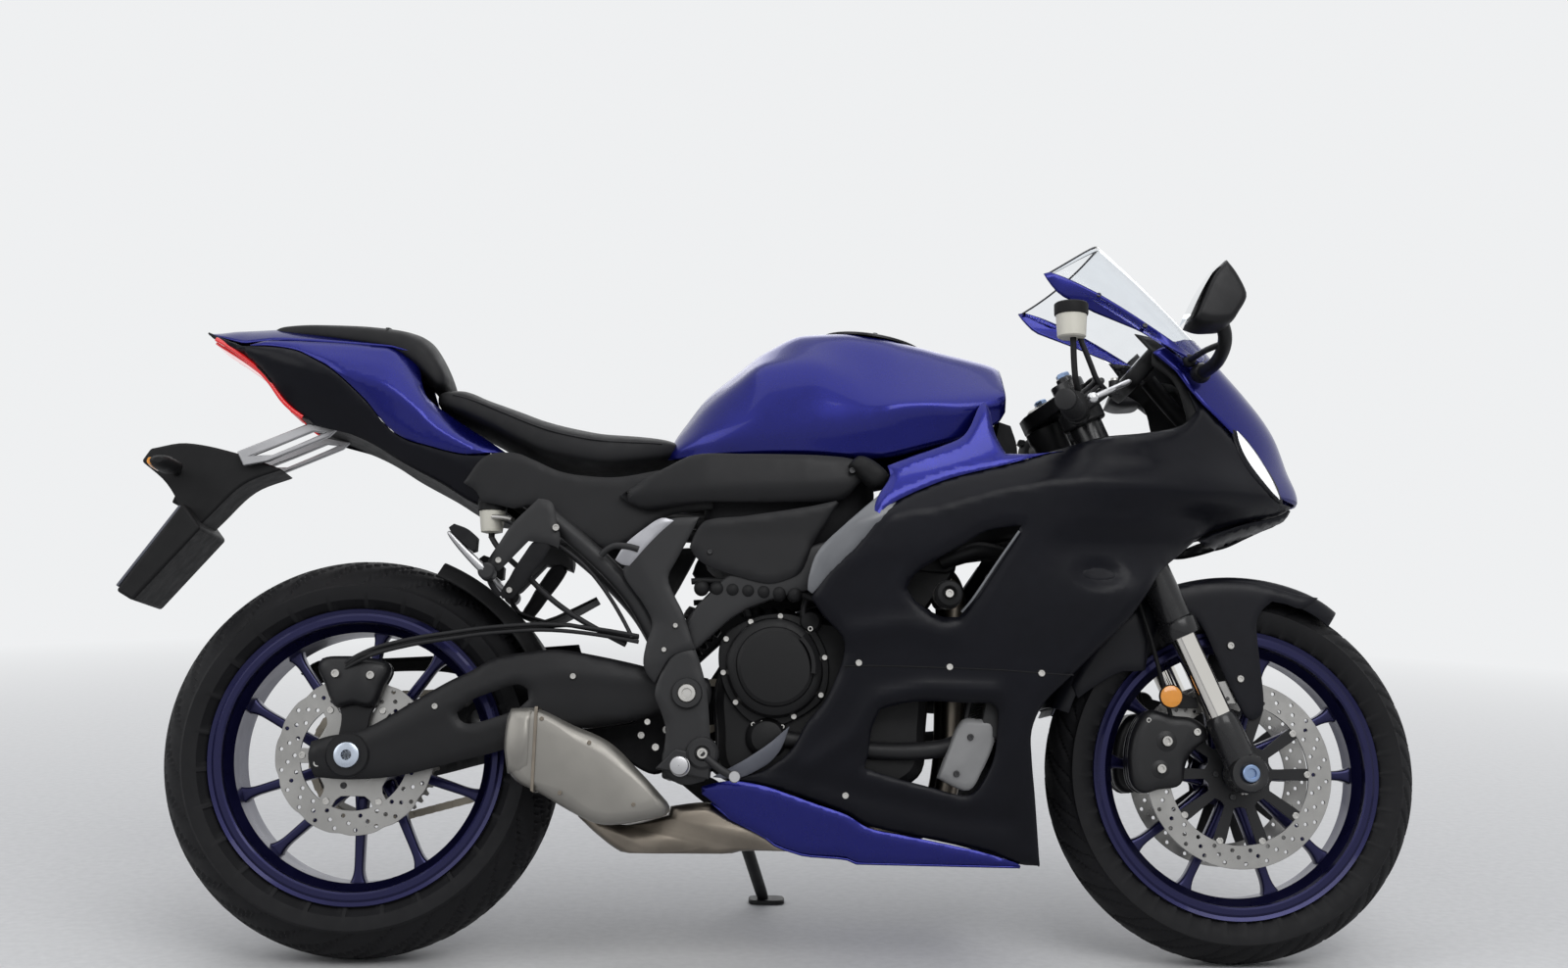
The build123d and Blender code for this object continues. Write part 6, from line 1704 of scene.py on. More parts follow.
# ------------------------------------------------------------------ nose: lamps, bolts and intake
DRL = [(1399, 851), (1413, 838), (1436, 811), (1457, 778), (1474, 743), (1456, 753), (1431, 778), (1411, 806),
       (1401, 832)]
SURROUND = [(1388, 856), (1404, 850), (1420, 836), (1443, 808), (1464, 776), (1483, 738), (1462, 742),
            (1436, 758), (1410, 786), (1394, 820)]
for side, tag in SIDES:
    skin("drl_surround_" + tag, rounded(SURROUND, 5), lambda x, z: half_width(x, z) + 1.6, "panel_dark", side,
         thick=2, step=5, lip=1.5, lip_width=4, rim=0)
    lamp = skin("drl_" + tag, rounded(DRL, 4), lambda x, z: half_width(x, z) + 4.0, "glass_white", side,
                step=4, lip=2.2, lip_width=7, rim=0)
    places = [((x, side * (float(fairing_y(x, z)[0]) + 0.2), z), (0, side, 0), 5.2)
              for x, z in ((778, 462), (917, 457), (1058, 449), (761, 262))]
    bolts("fairing_bolts_" + tag, places, "bolt_steel", height=3)
    seam = [(x, side * (float(fairing_y(x, z)[0]) + 0.15), z)
            for x, z in ((756, 457), (800, 458), (860, 457), (940, 455), (1000, 453), (1060, 449),
                         (1108, 447))]
    tube("fairing_seam_" + tag, seam, 1.1, "inner_black", smooth_line=False)
    edge = [(x, side * (float(fairing_y(x, z)[0]) + 0.5), z)
            for x, z in rounded([(1022, 664), (990, 618), (951, 560), (934, 540)], 10, closed=False)]
    tube("vent_edge_" + tag, edge, 2.0, "strip_grey")
    oval = [(1150 + 30 * math.cos(a), 603 + 13.5 * math.sin(a))
            for a in np.linspace(0, 2 * math.pi, 40, endpoint=False)]
    skin("oval_plug_" + tag, oval, lambda x, z: fairing_y(x, z) + 1.0, "panel_dark", side, thick=2, step=5,
         lip=2, lip_width=5, rim=0)
    lip = [(1503, 731), (1488, 722), (1460, 712), (1421, 702), (1366, 684), (1330, 668), (1352, 664),
           (1400, 672), (1440, 690), (1474, 706), (1496, 716)]
    skin("nose_lip_" + tag, rounded(lip, 7), lambda x, z: half_width(x, z + 10) - 4, "panel_dark", side,
         step=7, lip=2, lip_width=5, rim=0, extra=[(float(nose_at(z)) - s, z) for z in range(690, 730, 6)
                                                   for s in (4, 12, 25)])
LAMP_Z = 779
turned_set("headlamp_lens",
           [((1420, 0, LAMP_Z), (1, 0, 0), [(0, 26), (46, 26), (58, 24), (62, 20), (66, 12), (67, 3)], 48)],
           "lamp_clear", replaces=["headlamp"])
ring = [[(1486 + d, r * math.cos(a), LAMP_Z + r * math.sin(a))
         for a in np.linspace(0, 2 * math.pi, 48, endpoint=False)]
        for d, r in ((-60, 32), (-4, 34), (0, 31), (-4, 27), (-40, 26.4))]
grid_object("headlamp_ring", ring, "inner_black", wrap=True, sharp=30)

# ------------------------------------------------------------------ windscreen
SCREEN_TOP, SCREEN_END = Vector((1196, 0, 1181)), Vector((1378, 0, 992))
SCREEN_BACK = Vector((-0.72, 0, -0.694))


def screen_point(t, s, out=0.0):
    """A point of the windscreen: t down its middle line, s from edge to edge, and a distance out of it."""
    half = 126 - 8 * t
    drop = 122 - 60 * t
    phi = 2 * math.atan2(drop, half)
    fall = drop * (1 - math.cos(s * phi)) / (1 - math.cos(phi))
    p = SCREEN_TOP + (SCREEN_END - SCREEN_TOP) * t + SCREEN_BACK * fall
    p.x -= 18 * abs(s) ** 3 * (1 - t)
    p.z += 6 * abs(s) ** 3 * (1 - t) + 7 * math.sin(math.pi * t)
    p.y = half * math.sin(s * phi) / math.sin(phi) if phi < math.pi / 2 else half * math.sin(s * phi)
    normal = Vector((0.72 * math.cos(s * phi), math.sin(s * phi), 0.694 * math.cos(s * phi)))
    return tuple(p + normal * out)


rows = [[screen_point(t, s) for s in np.linspace(-1, 1, 41)] for t in np.linspace(0, 1, 30)]
screen = grid_object("windscreen_pane", rows, "screen_clear", replaces=["windscreen"])
thicken(screen, 2.4)
tube("screen_edge", [screen_point(0, s, -1) for s in np.linspace(-1, 1, 25)], 1.7, "screen_edge")
LOW_EDGE = [(0, 1083, 1102), (0.06, 1092, 1088), (0.14, 1110, 1068), (0.32, 1168, 1043), (0.62, 1240, 1014),
            (1.0, 1325, 963)]
for side, tag in SIDES:
    rows = []
    for t in np.linspace(0, 1, 26):
        x = float(np.interp(t, [p[0] for p in LOW_EDGE], [p[1] for p in LOW_EDGE]))
        z = float(np.interp(t, [p[0] for p in LOW_EDGE], [p[2] for p in LOW_EDGE]))
        width = float(np.interp(t, [0, 0.1, 0.3, 0.6, 1.0], [0.98, 0.95, 0.92, 0.9, 0.86]))
        a = Vector(screen_point(t, side * width, 1.6))
        b = Vector((x, side * float(np.interp(t, [0, 0.15, 0.32, 0.7, 1], [128, 122, 111, 111, 124])), z))
        mid = (a + b) / 2 + Vector((0, side * 2, 0))
        rows.append([tuple((1 - u) ** 2 * a + 2 * u * (1 - u) * mid + u * u * b)
                     for u in np.linspace(0, 1, 9)])
    band = grid_object("screen_band_" + tag, rows, "paint_blue")
    thicken(band, 2.6, offset=0)
    skin("cowl_cheek_" + tag, rounded([(1236, 1010), (1262, 978), (1298, 949), (1310, 940), (1345, 930),
                                       (1380, 950), (1375, 985), (1335, 1000), (1280, 1004)], 7), lambda x,
         z: np.minimum(half_width(x, z), 120) - 4, "panel_satin", side, thick=2.5, step=8, lip=2, lip_width=5,
         rim=0)
    bolts("screen_bolts_" + tag, [(screen_point(t, side * 0.93, 1.0), (0, side, 0.3), 4.0)
                                  for t in (0.3, 0.62)], "bolt_dark", height=2.5)

# ------------------------------------------------------------------ mirrors
HEAD = [(1306, 1050), (1326, 1071), (1340, 1052), (1354, 1024), (1356, 1010), (1346, 992), (1331, 972),
        (1310, 968), (1289, 968), (1271, 974), (1284, 1004)]
HEAD_SECTIONS = ((262, 0.72), (263, 0.88), (268, 0.97), (278, 1.0), (325, 0.99), (338, 0.94), (344, 0.85),
                 (345, 0.7))
for side, tag in SIDES:
    closed_grid("mirror_shell_" + tag, stacked(rounded(HEAD, 7, sharp=60), HEAD_SECTIONS, side),
                "panel_satin", replaces=once(side, "mirrors"))
    glass = [[(1271 + 35 * u + 17 * u ** 4 - 6.0, side * (304 + 38 * v), 976 + 76 * u + 16 * u ** 4)
              for v in np.linspace(-0.96, 0.96, 9)] for u in np.linspace(0.03, 0.97, 9)]
    grid_object("mirror_glass_" + tag, glass, "mirror_glass")
    tube("mirror_stalk_" + tag, on_side(side, [(1326, 290, 985), (1336, 276, 974), (1342, 256, 960),
                                               (1345, 220, 948), (1346, 170, 942), (1342, 118, 944)]), 11,
         "panel_satin")
    tube("mirror_leg_" + tag, on_side(side, [(1341, 262, 958), (1330, 236, 958), (1322, 190, 960),
                                             (1322, 122, 964)]), 5, "panel_satin")
    side_turned("mirror_foot_" + tag, side, [((1340, 112, 944), [(0, 17), (8, 16), (14, 12)], 32),
                                             ((1322, 112, 964), [(0, 11), (8, 10), (12, 6)], 24)],
                "panel_satin")

# ------------------------------------------------------------------ fork and fender
UP = Vector((-math.sin(RAKE), 0, math.cos(RAKE)))
AHEAD = Vector((math.cos(RAKE), 0, math.sin(RAKE)))


def on_fork(name, outline, start, thick, replaces=()):
    """A clamp square to the fork, its edges eased: its outline is (y, distance ahead of the legs)."""
    edge = 3
    rows = []
    for lift, amount in ((0, edge), (edge * 0.4, 0), (thick - edge * 0.4, 0), (thick, edge)):
        rows.append([tuple(fork_at(start + lift, y, ahead)) for y, ahead in inset(outline, amount)])
    return closed_grid(name, rows, "clamp_black", "steering", replaces, sharp=40)


def clamp_outline(r_leg, r_head):
    """A triple clamp seen from above: round at the legs and at the stem behind them."""
    pts = [around((FORK_Y, 0), r_leg, math.radians(a)) for a in np.linspace(-60, 120, 16)]
    pts += [(40, r_leg * 0.55), (-40, r_leg * 0.55)]
    pts += [around((-FORK_Y, 0), r_leg, math.radians(a)) for a in np.linspace(60, 240, 16)]
    pts += [(-45, STEM_BACK - r_head * 0.8), (-20, STEM_BACK - r_head), (20, STEM_BACK - r_head),
            (45, STEM_BACK - r_head * 0.8)]
    return pts


on_fork("lower_clamp", clamp_outline(37, 30), 398, 34, ["triple_clamps"])
on_fork("upper_clamp", clamp_outline(36, 30), 643, 24)
turned_set("stem_nut",
           [(fork_at(660, 0, STEM_BACK), UP, [(0, 17), (12, 17), (15, 14), (15, 8), (10, 7), (10, 1)], 6)],
           "bolt_steel", "steering")
turned_set("steering_stem", [(fork_at(400, 0, STEM_BACK), UP, [(0, 14), (264, 14)], 32)], "clamp_black",
           "steering")
for side, tag in SIDES:
    y = side * FORK_Y
    foot = [(-27, 6), (-24, 17), (-10, 24), (10, 26), (60, 26), (84, 25.5), (97, 23), (100, 20.8)]
    turned_set("fork_foot_" + tag, [(fork_at(0, y), UP, foot, 48)], "fork_black", "steering",
               once(side, "fork_sliders"))
    turned_set("fork_chrome_" + tag, [(fork_at(0, y), UP, [(98, 20.4), (237, 20.4)], 48)], "fork_chrome",
               "steering")
    tube_profile = [(234, 21), (235, 29), (240, 30.5), (258, 30.5), (262, 29), (264, 27), (394, 27),
                    (680, 27), (682, 26), (683, 14), (690, 13.5), (692, 11), (692, 2)]
    turned_set("fork_leg_" + tag, [(fork_at(0, y), UP, tube_profile, 48)], "fork_black", "steering",
               once(side, "fork_tubes"))
    turned_set("fork_adjuster_" + tag, [(fork_at(692, y), UP, [(-4, 12), (5, 11.5), (7, 9), (7, 2)], 6)],
               "blue_alloy", "steering")
    boss = [(78, 0.5), (78, 27), (82, 31), (126, 31), (131, 28), (132, 20), (130, 14)]
    turned("axle_clamp_" + tag, facing(side, boss), FRONT, "fork_black", segments=64, body="steering",
           closed=False, sharp=30)
    end = [(124, 0.2), (124, 13.5), (136, 13.5), (137, 12), (137, 8), (132, 7.2), (132, 0.2)]
    turned("front_axle_end_" + tag, facing(side, end), FRONT, "blue_alloy", segments=48, body="steering",
           closed=False, sharp=30, replaces=once(side, "front_axle"))
    bolts("pinch_bolts_" + tag, [(fork_at(-24, y + side * 8, -14), tuple(-UP), 5),
                                 (fork_at(-24, y - side * 10, -14), tuple(-UP), 5)], "bolt_steel", "steering")
turned("front_spindle", [(-124, 0.5), (-124, 12.3), (124, 12.3), (124, 0.5)], FRONT, "axle_alloy",
       segments=40, body="steering", closed=False)

rows = []
for k in range(58):
    a = math.radians(56 + 105 * k / 57)
    row = []
    front_in = max(0.0, 1 - k / 7.0)
    for t in np.linspace(-1, 1, 33):
        r = 318.5 - 5 * t * t - 26 * max(0.0, abs(t) - 0.55) ** 2 / 0.2
        half = 68 * (1 - 0.35 * front_in ** 2)
        row.append((FRONT[0] + r * math.cos(a), half * math.sin(t * math.pi / 2), FRONT[1] + r * math.sin(a)))
    rows.append(row)
fender = grid_object("fender_top", rows, "fender_navy", body="steering", replaces=["front_fender"])
thicken(fender, 3)
bevel(fender, 1, segments=2, angle=50)
FENDER = [(1535, 585), (1505, 566), (1480, 573), (1457, 577), (1440, 562), (1431, 540), (1434, 480),
          (1438, 412), (1432, 394), (1420, 387), (1408, 390), (1399, 404), (1370, 468), (1343, 531),
          (1326, 552), (1305, 562), (1275, 540), (1251, 480), (1248, 464), (1230, 462), (1208, 461),
          (1170, 440), (1138, 418), (1128, 440), (1150, 480), (1176, 516), (1216, 556), (1262, 588),
          (1314, 604), (1370, 610), (1437, 606), (1500, 590)]
for side, tag in SIDES:
    skin("fender_side_" + tag, rounded(FENDER, 8), lambda x,
         z: 71.5 - 5 * np.clip((np.hypot(x - FRONT[0], z - FRONT[1]) - 285) / 30, 0, 1) ** 2, "fender_navy",
         side, step=8, lip=2, body="steering")
    side_bolts("fender_bolts_" + tag, side, [(1386, 72, 505, 6), (1400, 72, 452, 6), (1290, 70.5, 574, 4.5)],
               "bolt_steel", "steering", height=3.5)
flap = [[(FRONT[0] + r * math.cos(a), y, FRONT[1] + r * math.sin(a)) for y in np.linspace(-62, 62, 13)]
        for a, r in ((math.radians(152), 309), (math.radians(158), 309), (math.radians(163), 311))]
thicken(grid_object("fender_flap", flap, "tab_grey", body="steering"), 2.5, offset=0)

# ------------------------------------------------------------------ calipers
FRONT_CAL = [(1219, 283), (1214, 310), (1215, 340), (1224, 372), (1243, 398), (1262, 400), (1286, 392),
             (1318, 388), (1340, 372), (1342, 356), (1326, 344), (1312, 330), (1304, 312), (1300, 290),
             (1290, 280), (1262, 276), (1236, 270)]
REAR_CAL = [(-58, 452), (-52, 466), (-20, 470), (20, 468), (50, 460), (54, 446), (44, 424), (36, 400),
            (26, 390), (0, 394), (-26, 390), (-36, 402), (-48, 430)]

cal = rounded(FRONT_CAL, 7, sharp=60)
bridge_line = rounded([(1219, 283), (1214, 310), (1215, 340), (1224, 372), (1243, 398), (1262, 400),
                       (1270, 396), (1252, 372), (1241, 340), (1240, 310), (1245, 283), (1236, 270)], 7,
                      sharp=60)
for side, tag in SIDES:
    block("caliper_outer_" + tag, cal, ((69.6, 9), (70, 3), (73, 0), (84, 0), (90, 4), (93, 10), (94, 18)),
          side, "caliper_black", "steering", once(side, "front_calipers"))
    block("caliper_inner_" + tag, cal, ((54.4, 8), (54, 2), (50, 0), (40, 1), (35, 6), (34, 12)), side,
          "caliper_black", "steering")
    block("caliper_bridge_" + tag, bridge_line, ((53, 1), (71, 1)), side, "caliper_black", "steering")
    side_turned("caliper_bosses_" + tag, side, [((1273, 88, 351), [(0, 19), (5, 18), (7, 15)], 32),
                                                ((1262, 88, 307), [(0, 17), (5, 16), (7, 13)], 32)],
                "caliper_black", "steering")
    side_bolts("caliper_bolts_" + tag, side, [(1273, 95, 351, 9), (1263, 95, 308, 8), (1322, 92, 366, 6.5),
                                              (1246, 90, 384, 4.5)], "bolt_steel", "steering", height=5)
    side_turned("reflector_" + tag, side, [((1280, 100, 421), [(0, 17), (5, 17), (6, 15), (6.5, 4)], 40)],
                "amber", "steering")
    side_turned("reflector_cup_" + tag, side, [((1280, 96, 421), [(0, 17), (4, 19), (7, 19), (7, 17.4)], 40)],
                "trim_black", "steering")
    plate("reflector_arm_" + tag,
          rounded([(1270, 420), (1286, 428), (1322, 420), (1326, 404), (1290, 404)], 8),
          92, 96, "trim_black", side, edge=1, body="steering")
rear_cal = rounded(REAR_CAL, 7, sharp=60)
block("rear_caliper_outer", rear_cal, ((94, 8), (94.4, 2), (98, 0), (112, 0), (121, 5), (125, 12)), -1,
      "caliper_black", "root", ["rear_caliper"])
block("rear_caliper_inner", rear_cal, ((78, 8), (77.6, 2), (74, 1), (70, 8)), -1, "caliper_black", "root")
block("rear_caliper_bridge", rounded([(-58, 452), (-52, 466), (-20, 470), (20, 468), (50, 460), (48, 448),
                                      (20, 446), (-20, 446)], 7), ((77, 0.5), (95, 0.5)), -1, "caliper_black",
      "root")
side_bolts("rear_caliper_bolts", -1, [(-28, 124, 442, 7), (26, 124, 440, 7)])
plate("rear_caliper_bracket", rounded([(-34, 410), (-20, 380), (-24, 340), (20, 340), (26, 380), (40, 408),
                                       (10, 420)], 8), 97, 107, "arm_grey", -1, edge=2)

# ------------------------------------------------------------------ handlebars
BAR_ROOT = fork_at(621, -FORK_Y)
BAR_END = Vector((BAR_ROOT.x - 70.4, -338, BAR_ROOT.z - 21.7))
BAR = (BAR_END - BAR_ROOT).normalized()
BAR_LEN = (BAR_END - BAR_ROOT).length


def flip(v, side):
    """A point of the right bar, mirrored where the side is the left one."""
    return Vector((v[0], v[1] if side < 0 else -v[1], v[2]))


lever_root = BAR_ROOT + Vector((40.6, -65, 34.3))
lever_line = Vector((-0.20, -0.95, -0.22)).normalized()
lever_fore = (AHEAD - lever_line * AHEAD.dot(lever_line)).normalized()
for side, tag in SIDES:
    root_point, way = flip(BAR_ROOT, side), flip(BAR, side)
    turned_set("clip_on_ring_" + tag,
               [(fork_at(606, side * FORK_Y), UP, [(0, 27.2), (0.5, 34), (3, 36), (27, 36), (29.5, 34),
                                                   (30, 27.2)], 48)], "clamp_black", "steering",
               once(side, "clip_ons"))
    turned_set("bar_tube_" + tag, [(root_point + way * 24, way, [(0, 11), (BAR_LEN - 24, 11)], 32)],
               "clamp_black", "steering")
    grip_profile = [(BAR_LEN - 128, 12), (BAR_LEN - 127, 19), (BAR_LEN - 122, 19.5), (BAR_LEN - 120, 16.6)]
    for k in range(13):
        d = BAR_LEN - 118 + 8 * k
        grip_profile += [(d, 16.4), (d + 1, 17.1), (d + 5, 17.1), (d + 6, 16.4)]
    grip_profile += [(BAR_LEN - 9, 17.2), (BAR_LEN - 8, 12)]
    turned_set("grip_" + tag, [(root_point, way, grip_profile, 36)], "grip_rubber", "steering",
               once(side, "grips"))
    turned_set("bar_weight_" + tag,
               [(root_point + way * (BAR_LEN - 8), way, [(0, 12), (2, 16), (8, 16), (9, 13)], 36)],
               "clamp_black", "steering")
    box = [(-18, -12), (-22, 8), (-14, 27), (10, 29), (20, 14), (19, -8), (6, -14)]
    rows = []
    for d, s in ((BAR_LEN - 168, 0.7), (BAR_LEN - 166, 0.95), (BAR_LEN - 160, 1.0), (BAR_LEN - 140, 1.0),
                 (BAR_LEN - 132, 0.92), (BAR_LEN - 130, 0.7)):
        at = root_point + way * d
        rows.append([tuple(at + Vector((a * s, 0, b * s))) for a, b in rounded(box, 6, sharp=80)])
    closed_grid("switch_box_" + tag, rows, "trim_black", "steering")
    turned_set("bar_housing_" + tag,
               [(root_point + way * (BAR_LEN - 158), way,
                 [(0, 14), (2, 18), (24, 19.5), (28, 18), (30, 15)], 36)],
               "trim_black", "steering")
    for k, shift in enumerate((0, 13)):
        loop = [root_point + way * (BAR_LEN - 146) + Vector((shift, 0, 20)),
                root_point + way * (BAR_LEN - 176) + Vector((30 + shift, 0, 48)),
                root_point + way * 60 + Vector((26 + shift, 0, 58)),
                root_point + way * 16 + Vector((2 + shift, 0, 44)),
                root_point + way * -6 + Vector((-8 + shift, 0, 30))]
        tube("cable_%s_%d" % (tag, k), [tuple(q) for q in loop], 3.4, "hose_black", "steering")
    at = root_point + way * (BAR_LEN - 149)
    rows = [[tuple(at + Vector((-22 + a, b, 15 + c)))
             for a, c in ((0, 0), (-7, 5), (-4, 13), (6, 12), (8, 4))]
            for b in (-8, 8)]
    switch = closed_grid("kill_switch" if side < 0 else "horn_switch", rows,
                         "red_plastic" if side < 0 else "trim_black", "steering", sharp=40)
    bevel(switch, 1.2, segments=2)
    path = [(-6, 22), (10, 14), (34, 4), (85, -1), (122, -4), (140, -13), (150, -24), (158, -33)]
    rows = []
    spine = [lever_root + lever_line * u + lever_fore * v for u, v in rounded(path, 7, closed=False)]
    for i, p in enumerate(spine):
        ahead = (spine[min(i + 1, len(spine) - 1)] - spine[max(i - 1, 0)]).normalized()
        across = lever_line.cross(lever_fore).normalized()
        wide = across.cross(ahead).normalized()
        w = 8.0 - 3.0 * i / len(spine)
        ring = []
        for a in angles(12):
            q = p + wide * (w * math.cos(a)) + across * (4.4 * math.sin(a))
            ring.append(tuple(flip(q, side)))
        rows.append(ring)
    closed_grid("lever_blade_" + tag, rows, "lever_alloy", "steering", once(side, "levers"))
    ball = flip(lever_root + lever_line * 163 + lever_fore * -36, side)
    turned_set("lever_ball_" + tag,
               [(ball - Vector((0, 0, 8.5)), (0, 0, 1),
                 [(0.1, 1), (1.2, 4.5), (4, 7.4), (8.5, 8.6), (13, 7.4), (15.8, 4.5), (16.9, 1)], 24)],
               "lever_alloy", "steering", sharp=0)
    turned_set("perch_clamp_" + tag,
               [(root_point + way * 52, way, [(0, 15), (1, 19), (23, 19), (24, 15)], 36)],
               "clamp_black", "steering")
    arm = [flip(BAR_ROOT + BAR * 64 + Vector(v), side)
           for v in ((6, 0, 6), (20, -2, 16), (34, -4, 27), (42, -4, 33))]
    tube("perch_arm_" + tag, arm, 9.5, "clamp_black", "steering")
    turned_set("perch_pivot_" + tag,
               [(flip(lever_root + Vector((0, 0, -11)), side), (0, 0, 1), [(0, 9), (22, 9)], 24)],
               "clamp_black", "steering")
    bolts("perch_bolt_" + tag, [(flip(lever_root + Vector((0, 0, 11)), side), (0, 0, 1), 6)], "bolt_steel",
          "steering")
cup = BAR_ROOT + Vector((-33, -100, 106))
turned_set("brake_pot", [(cup, (0, 0, 1), [(0, 20), (2, 22.5), (36, 24.5), (38, 24.5), (38, 20)], 40)],
           "reservoir_plastic", "steering", ["brake_reservoir"])
cap_profile = [(36, 24), (37, 26.5), (39, 27), (54, 27), (56, 25), (56, 8), (55, 7), (55, 1)]
turned_set("brake_pot_cap", [(cup, (0, 0, 1), cap_profile, 24)], "trim_black", "steering", sharp=20)
tube("brake_pot_stay", [tuple(cup + Vector((2, -2, 0))), tuple(cup + Vector((2, -2, -40))),
                        tuple(cup + Vector((6, 0, -80))), tuple(BAR_ROOT + BAR * 70 + Vector((8, 0, 12)))], 5,
     "trim_black", "steering")
tube("brake_pot_hose", [tuple(cup + Vector((14, 6, 2))), tuple(cup + Vector((30, 12, -34))),
                        tuple(cup + Vector((46, 26, -70))), tuple(BAR_ROOT + Vector((38, -52, 26)))], 4.5,
     "hose_black", "steering")

# ------------------------------------------------------------------ dash and inner cowl
dash_at = Vector((1274, 0, 962))
dash_n = Vector((-0.75, 0, 0.66)).normalized()
dash_up = Vector((0.66, 0, 0.75)).normalized()
rows = []
for d, s in ((0, 0.86), (2, 0.97), (8, 1.0), (20, 1.0), (25, 0.97), (26, 0.93)):
    rows.append([tuple(dash_at + dash_n * d + Vector((0, 1, 0)) * (u * 75 * s) + dash_up * (v * 50 * s))
                 for u, v in soft_ring(48, 0.35, 0.35)])
closed_grid("dash_body", rows, "trim_black", replaces=["instrument"])
face = [[tuple(dash_at + dash_n * 26.6 + Vector((0, 66 * v, 0)) + dash_up * (40 * u))
         for v in np.linspace(-1, 1, 5)] for u in np.linspace(-1, 1, 4)]
thicken(grid_object("dash_glass", face, "screen_edge"), 1, offset=0)
tube("dash_stay", [(1280, 0, 955), (1320, 0, 905), (1372, 0, 850), (1400, 0, 800)], 14, "trim_black")
for side, tag in SIDES:
    inner = [(1262, 958), (1266, 990), (1300, 975), (1345, 965), (1372, 920), (1376, 870), (1340, 850),
             (1316, 856), (1310, 890), (1296, 932)]
    skin("inner_cowl_" + tag, rounded(inner, 10), lambda x, z: np.minimum(half_width(x, z) - 10, 118),
         "trim_black", side, lip=2, rim=0)
    side_in = [(1096, 800), (1162, 824), (1239, 836), (1301, 853), (1330, 880), (1380, 850), (1400, 800),
               (1340, 740), (1240, 744), (1140, 760)]
    skin("inner_shelf_" + tag, rounded(side_in, 12), lambda x, z: np.minimum(half_width(x, z) - 9, 180),
         "inner_black", side, step=14, lip=2, rim=0)

# ------------------------------------------------------------------ steering head, stand and bracket
turned_set("steering_head",
           [(fork_at(435, 0, STEM_BACK), UP, [(0, 30), (2, 33), (14, 33), (18, 30), (180, 30), (186, 33),
                                              (203, 33), (205, 30)], 40)], "frame_grey")
rows = [[(x, y, z) for x, z in ((480, 285), (500, 285), (500, 325), (480, 325))]
        for y in (-172, -60, 60, 172)]
bevel(closed_grid("frame_cross", rows, "frame_grey", sharp=40), 4)
inner_front = [(1012, 868), (1030, 862), (1040, 826), (1036, 780), (1018, 760), (1000, 790)]
rows = [[(x, y, z - 0.0008 * y * y) for x, z in rounded(inner_front, 10)]
        for y in (-104, -100, -60, 0, 60, 100, 104)]
closed_grid("tank_front_cover", rows, "inner_black", sharp=40)

STAND_PIVOT = Vector((588, 164, 258))
STAND_TILT = math.radians(46.5)
STAND_AXIS = Vector((0, math.cos(STAND_TILT), math.sin(STAND_TILT)))
STAND_FOOT = Vector((650, 386 * math.cos(LEAN), 386 * math.sin(LEAN)))
STAND_UP = Vector((0, -math.sin(LEAN), math.cos(LEAN)))
STAND_ACROSS = Vector((0, math.cos(LEAN), math.sin(LEAN)))
leg = STAND_FOOT + STAND_UP * 8 - STAND_PIVOT
plate("stand_bracket", rounded([(496, 286), (552, 292), (604, 250), (592, 230), (560, 238)], 6), 136, 154,
      "frame_grey", 1, edge=2)
turned_set("stand_pivot_bolt",
           [(STAND_PIVOT - STAND_AXIS * 16, STAND_AXIS, [(0, 11), (1, 11.5), (3, 11.5), (3, 6)], 24),
            (STAND_PIVOT + STAND_AXIS * 13, STAND_AXIS, [(0, 6), (0.5, 10), (4, 10), (5, 8), (5, 1)], 6)],
           "bolt_steel")
turned_set("stand_bracket_eye",
           [(STAND_PIVOT - STAND_AXIS * 26, STAND_AXIS, [(0, 12), (2, 17), (13, 17), (13, 6)], 36)],
           "frame_grey")
turned_set("stand_eye",
           [(STAND_PIVOT - STAND_AXIS * 12, STAND_AXIS,
             [(0, 7), (0.5, 16), (2, 17), (22, 17), (23.5, 16), (24, 7)], 40)],
           "stand_black", "side_stand", ["side_stand"])
way = leg.normalized()
turned_set("stand_leg",
           [(STAND_PIVOT + way * 12, way, [(0, 12.5), (30, 12.5), (60, 11), (leg.length - 34, 10.5),
                                           (leg.length - 12, 9.5)], 32)], "stand_black", "side_stand")
foot = []
for d, s in ((0.4, 0.93), (1.5, 1), (6.5, 1), (8, 0.95)):
    foot.append([tuple(STAND_FOOT + STAND_UP * d + Vector((6 + u * 32 * s, 0, 0))
                       + STAND_ACROSS * (v * 21 * s)) for u, v in soft_ring(36, 0.5, 0.5)])
closed_grid("stand_foot", foot, "stand_black", "side_stand", sharp=40)

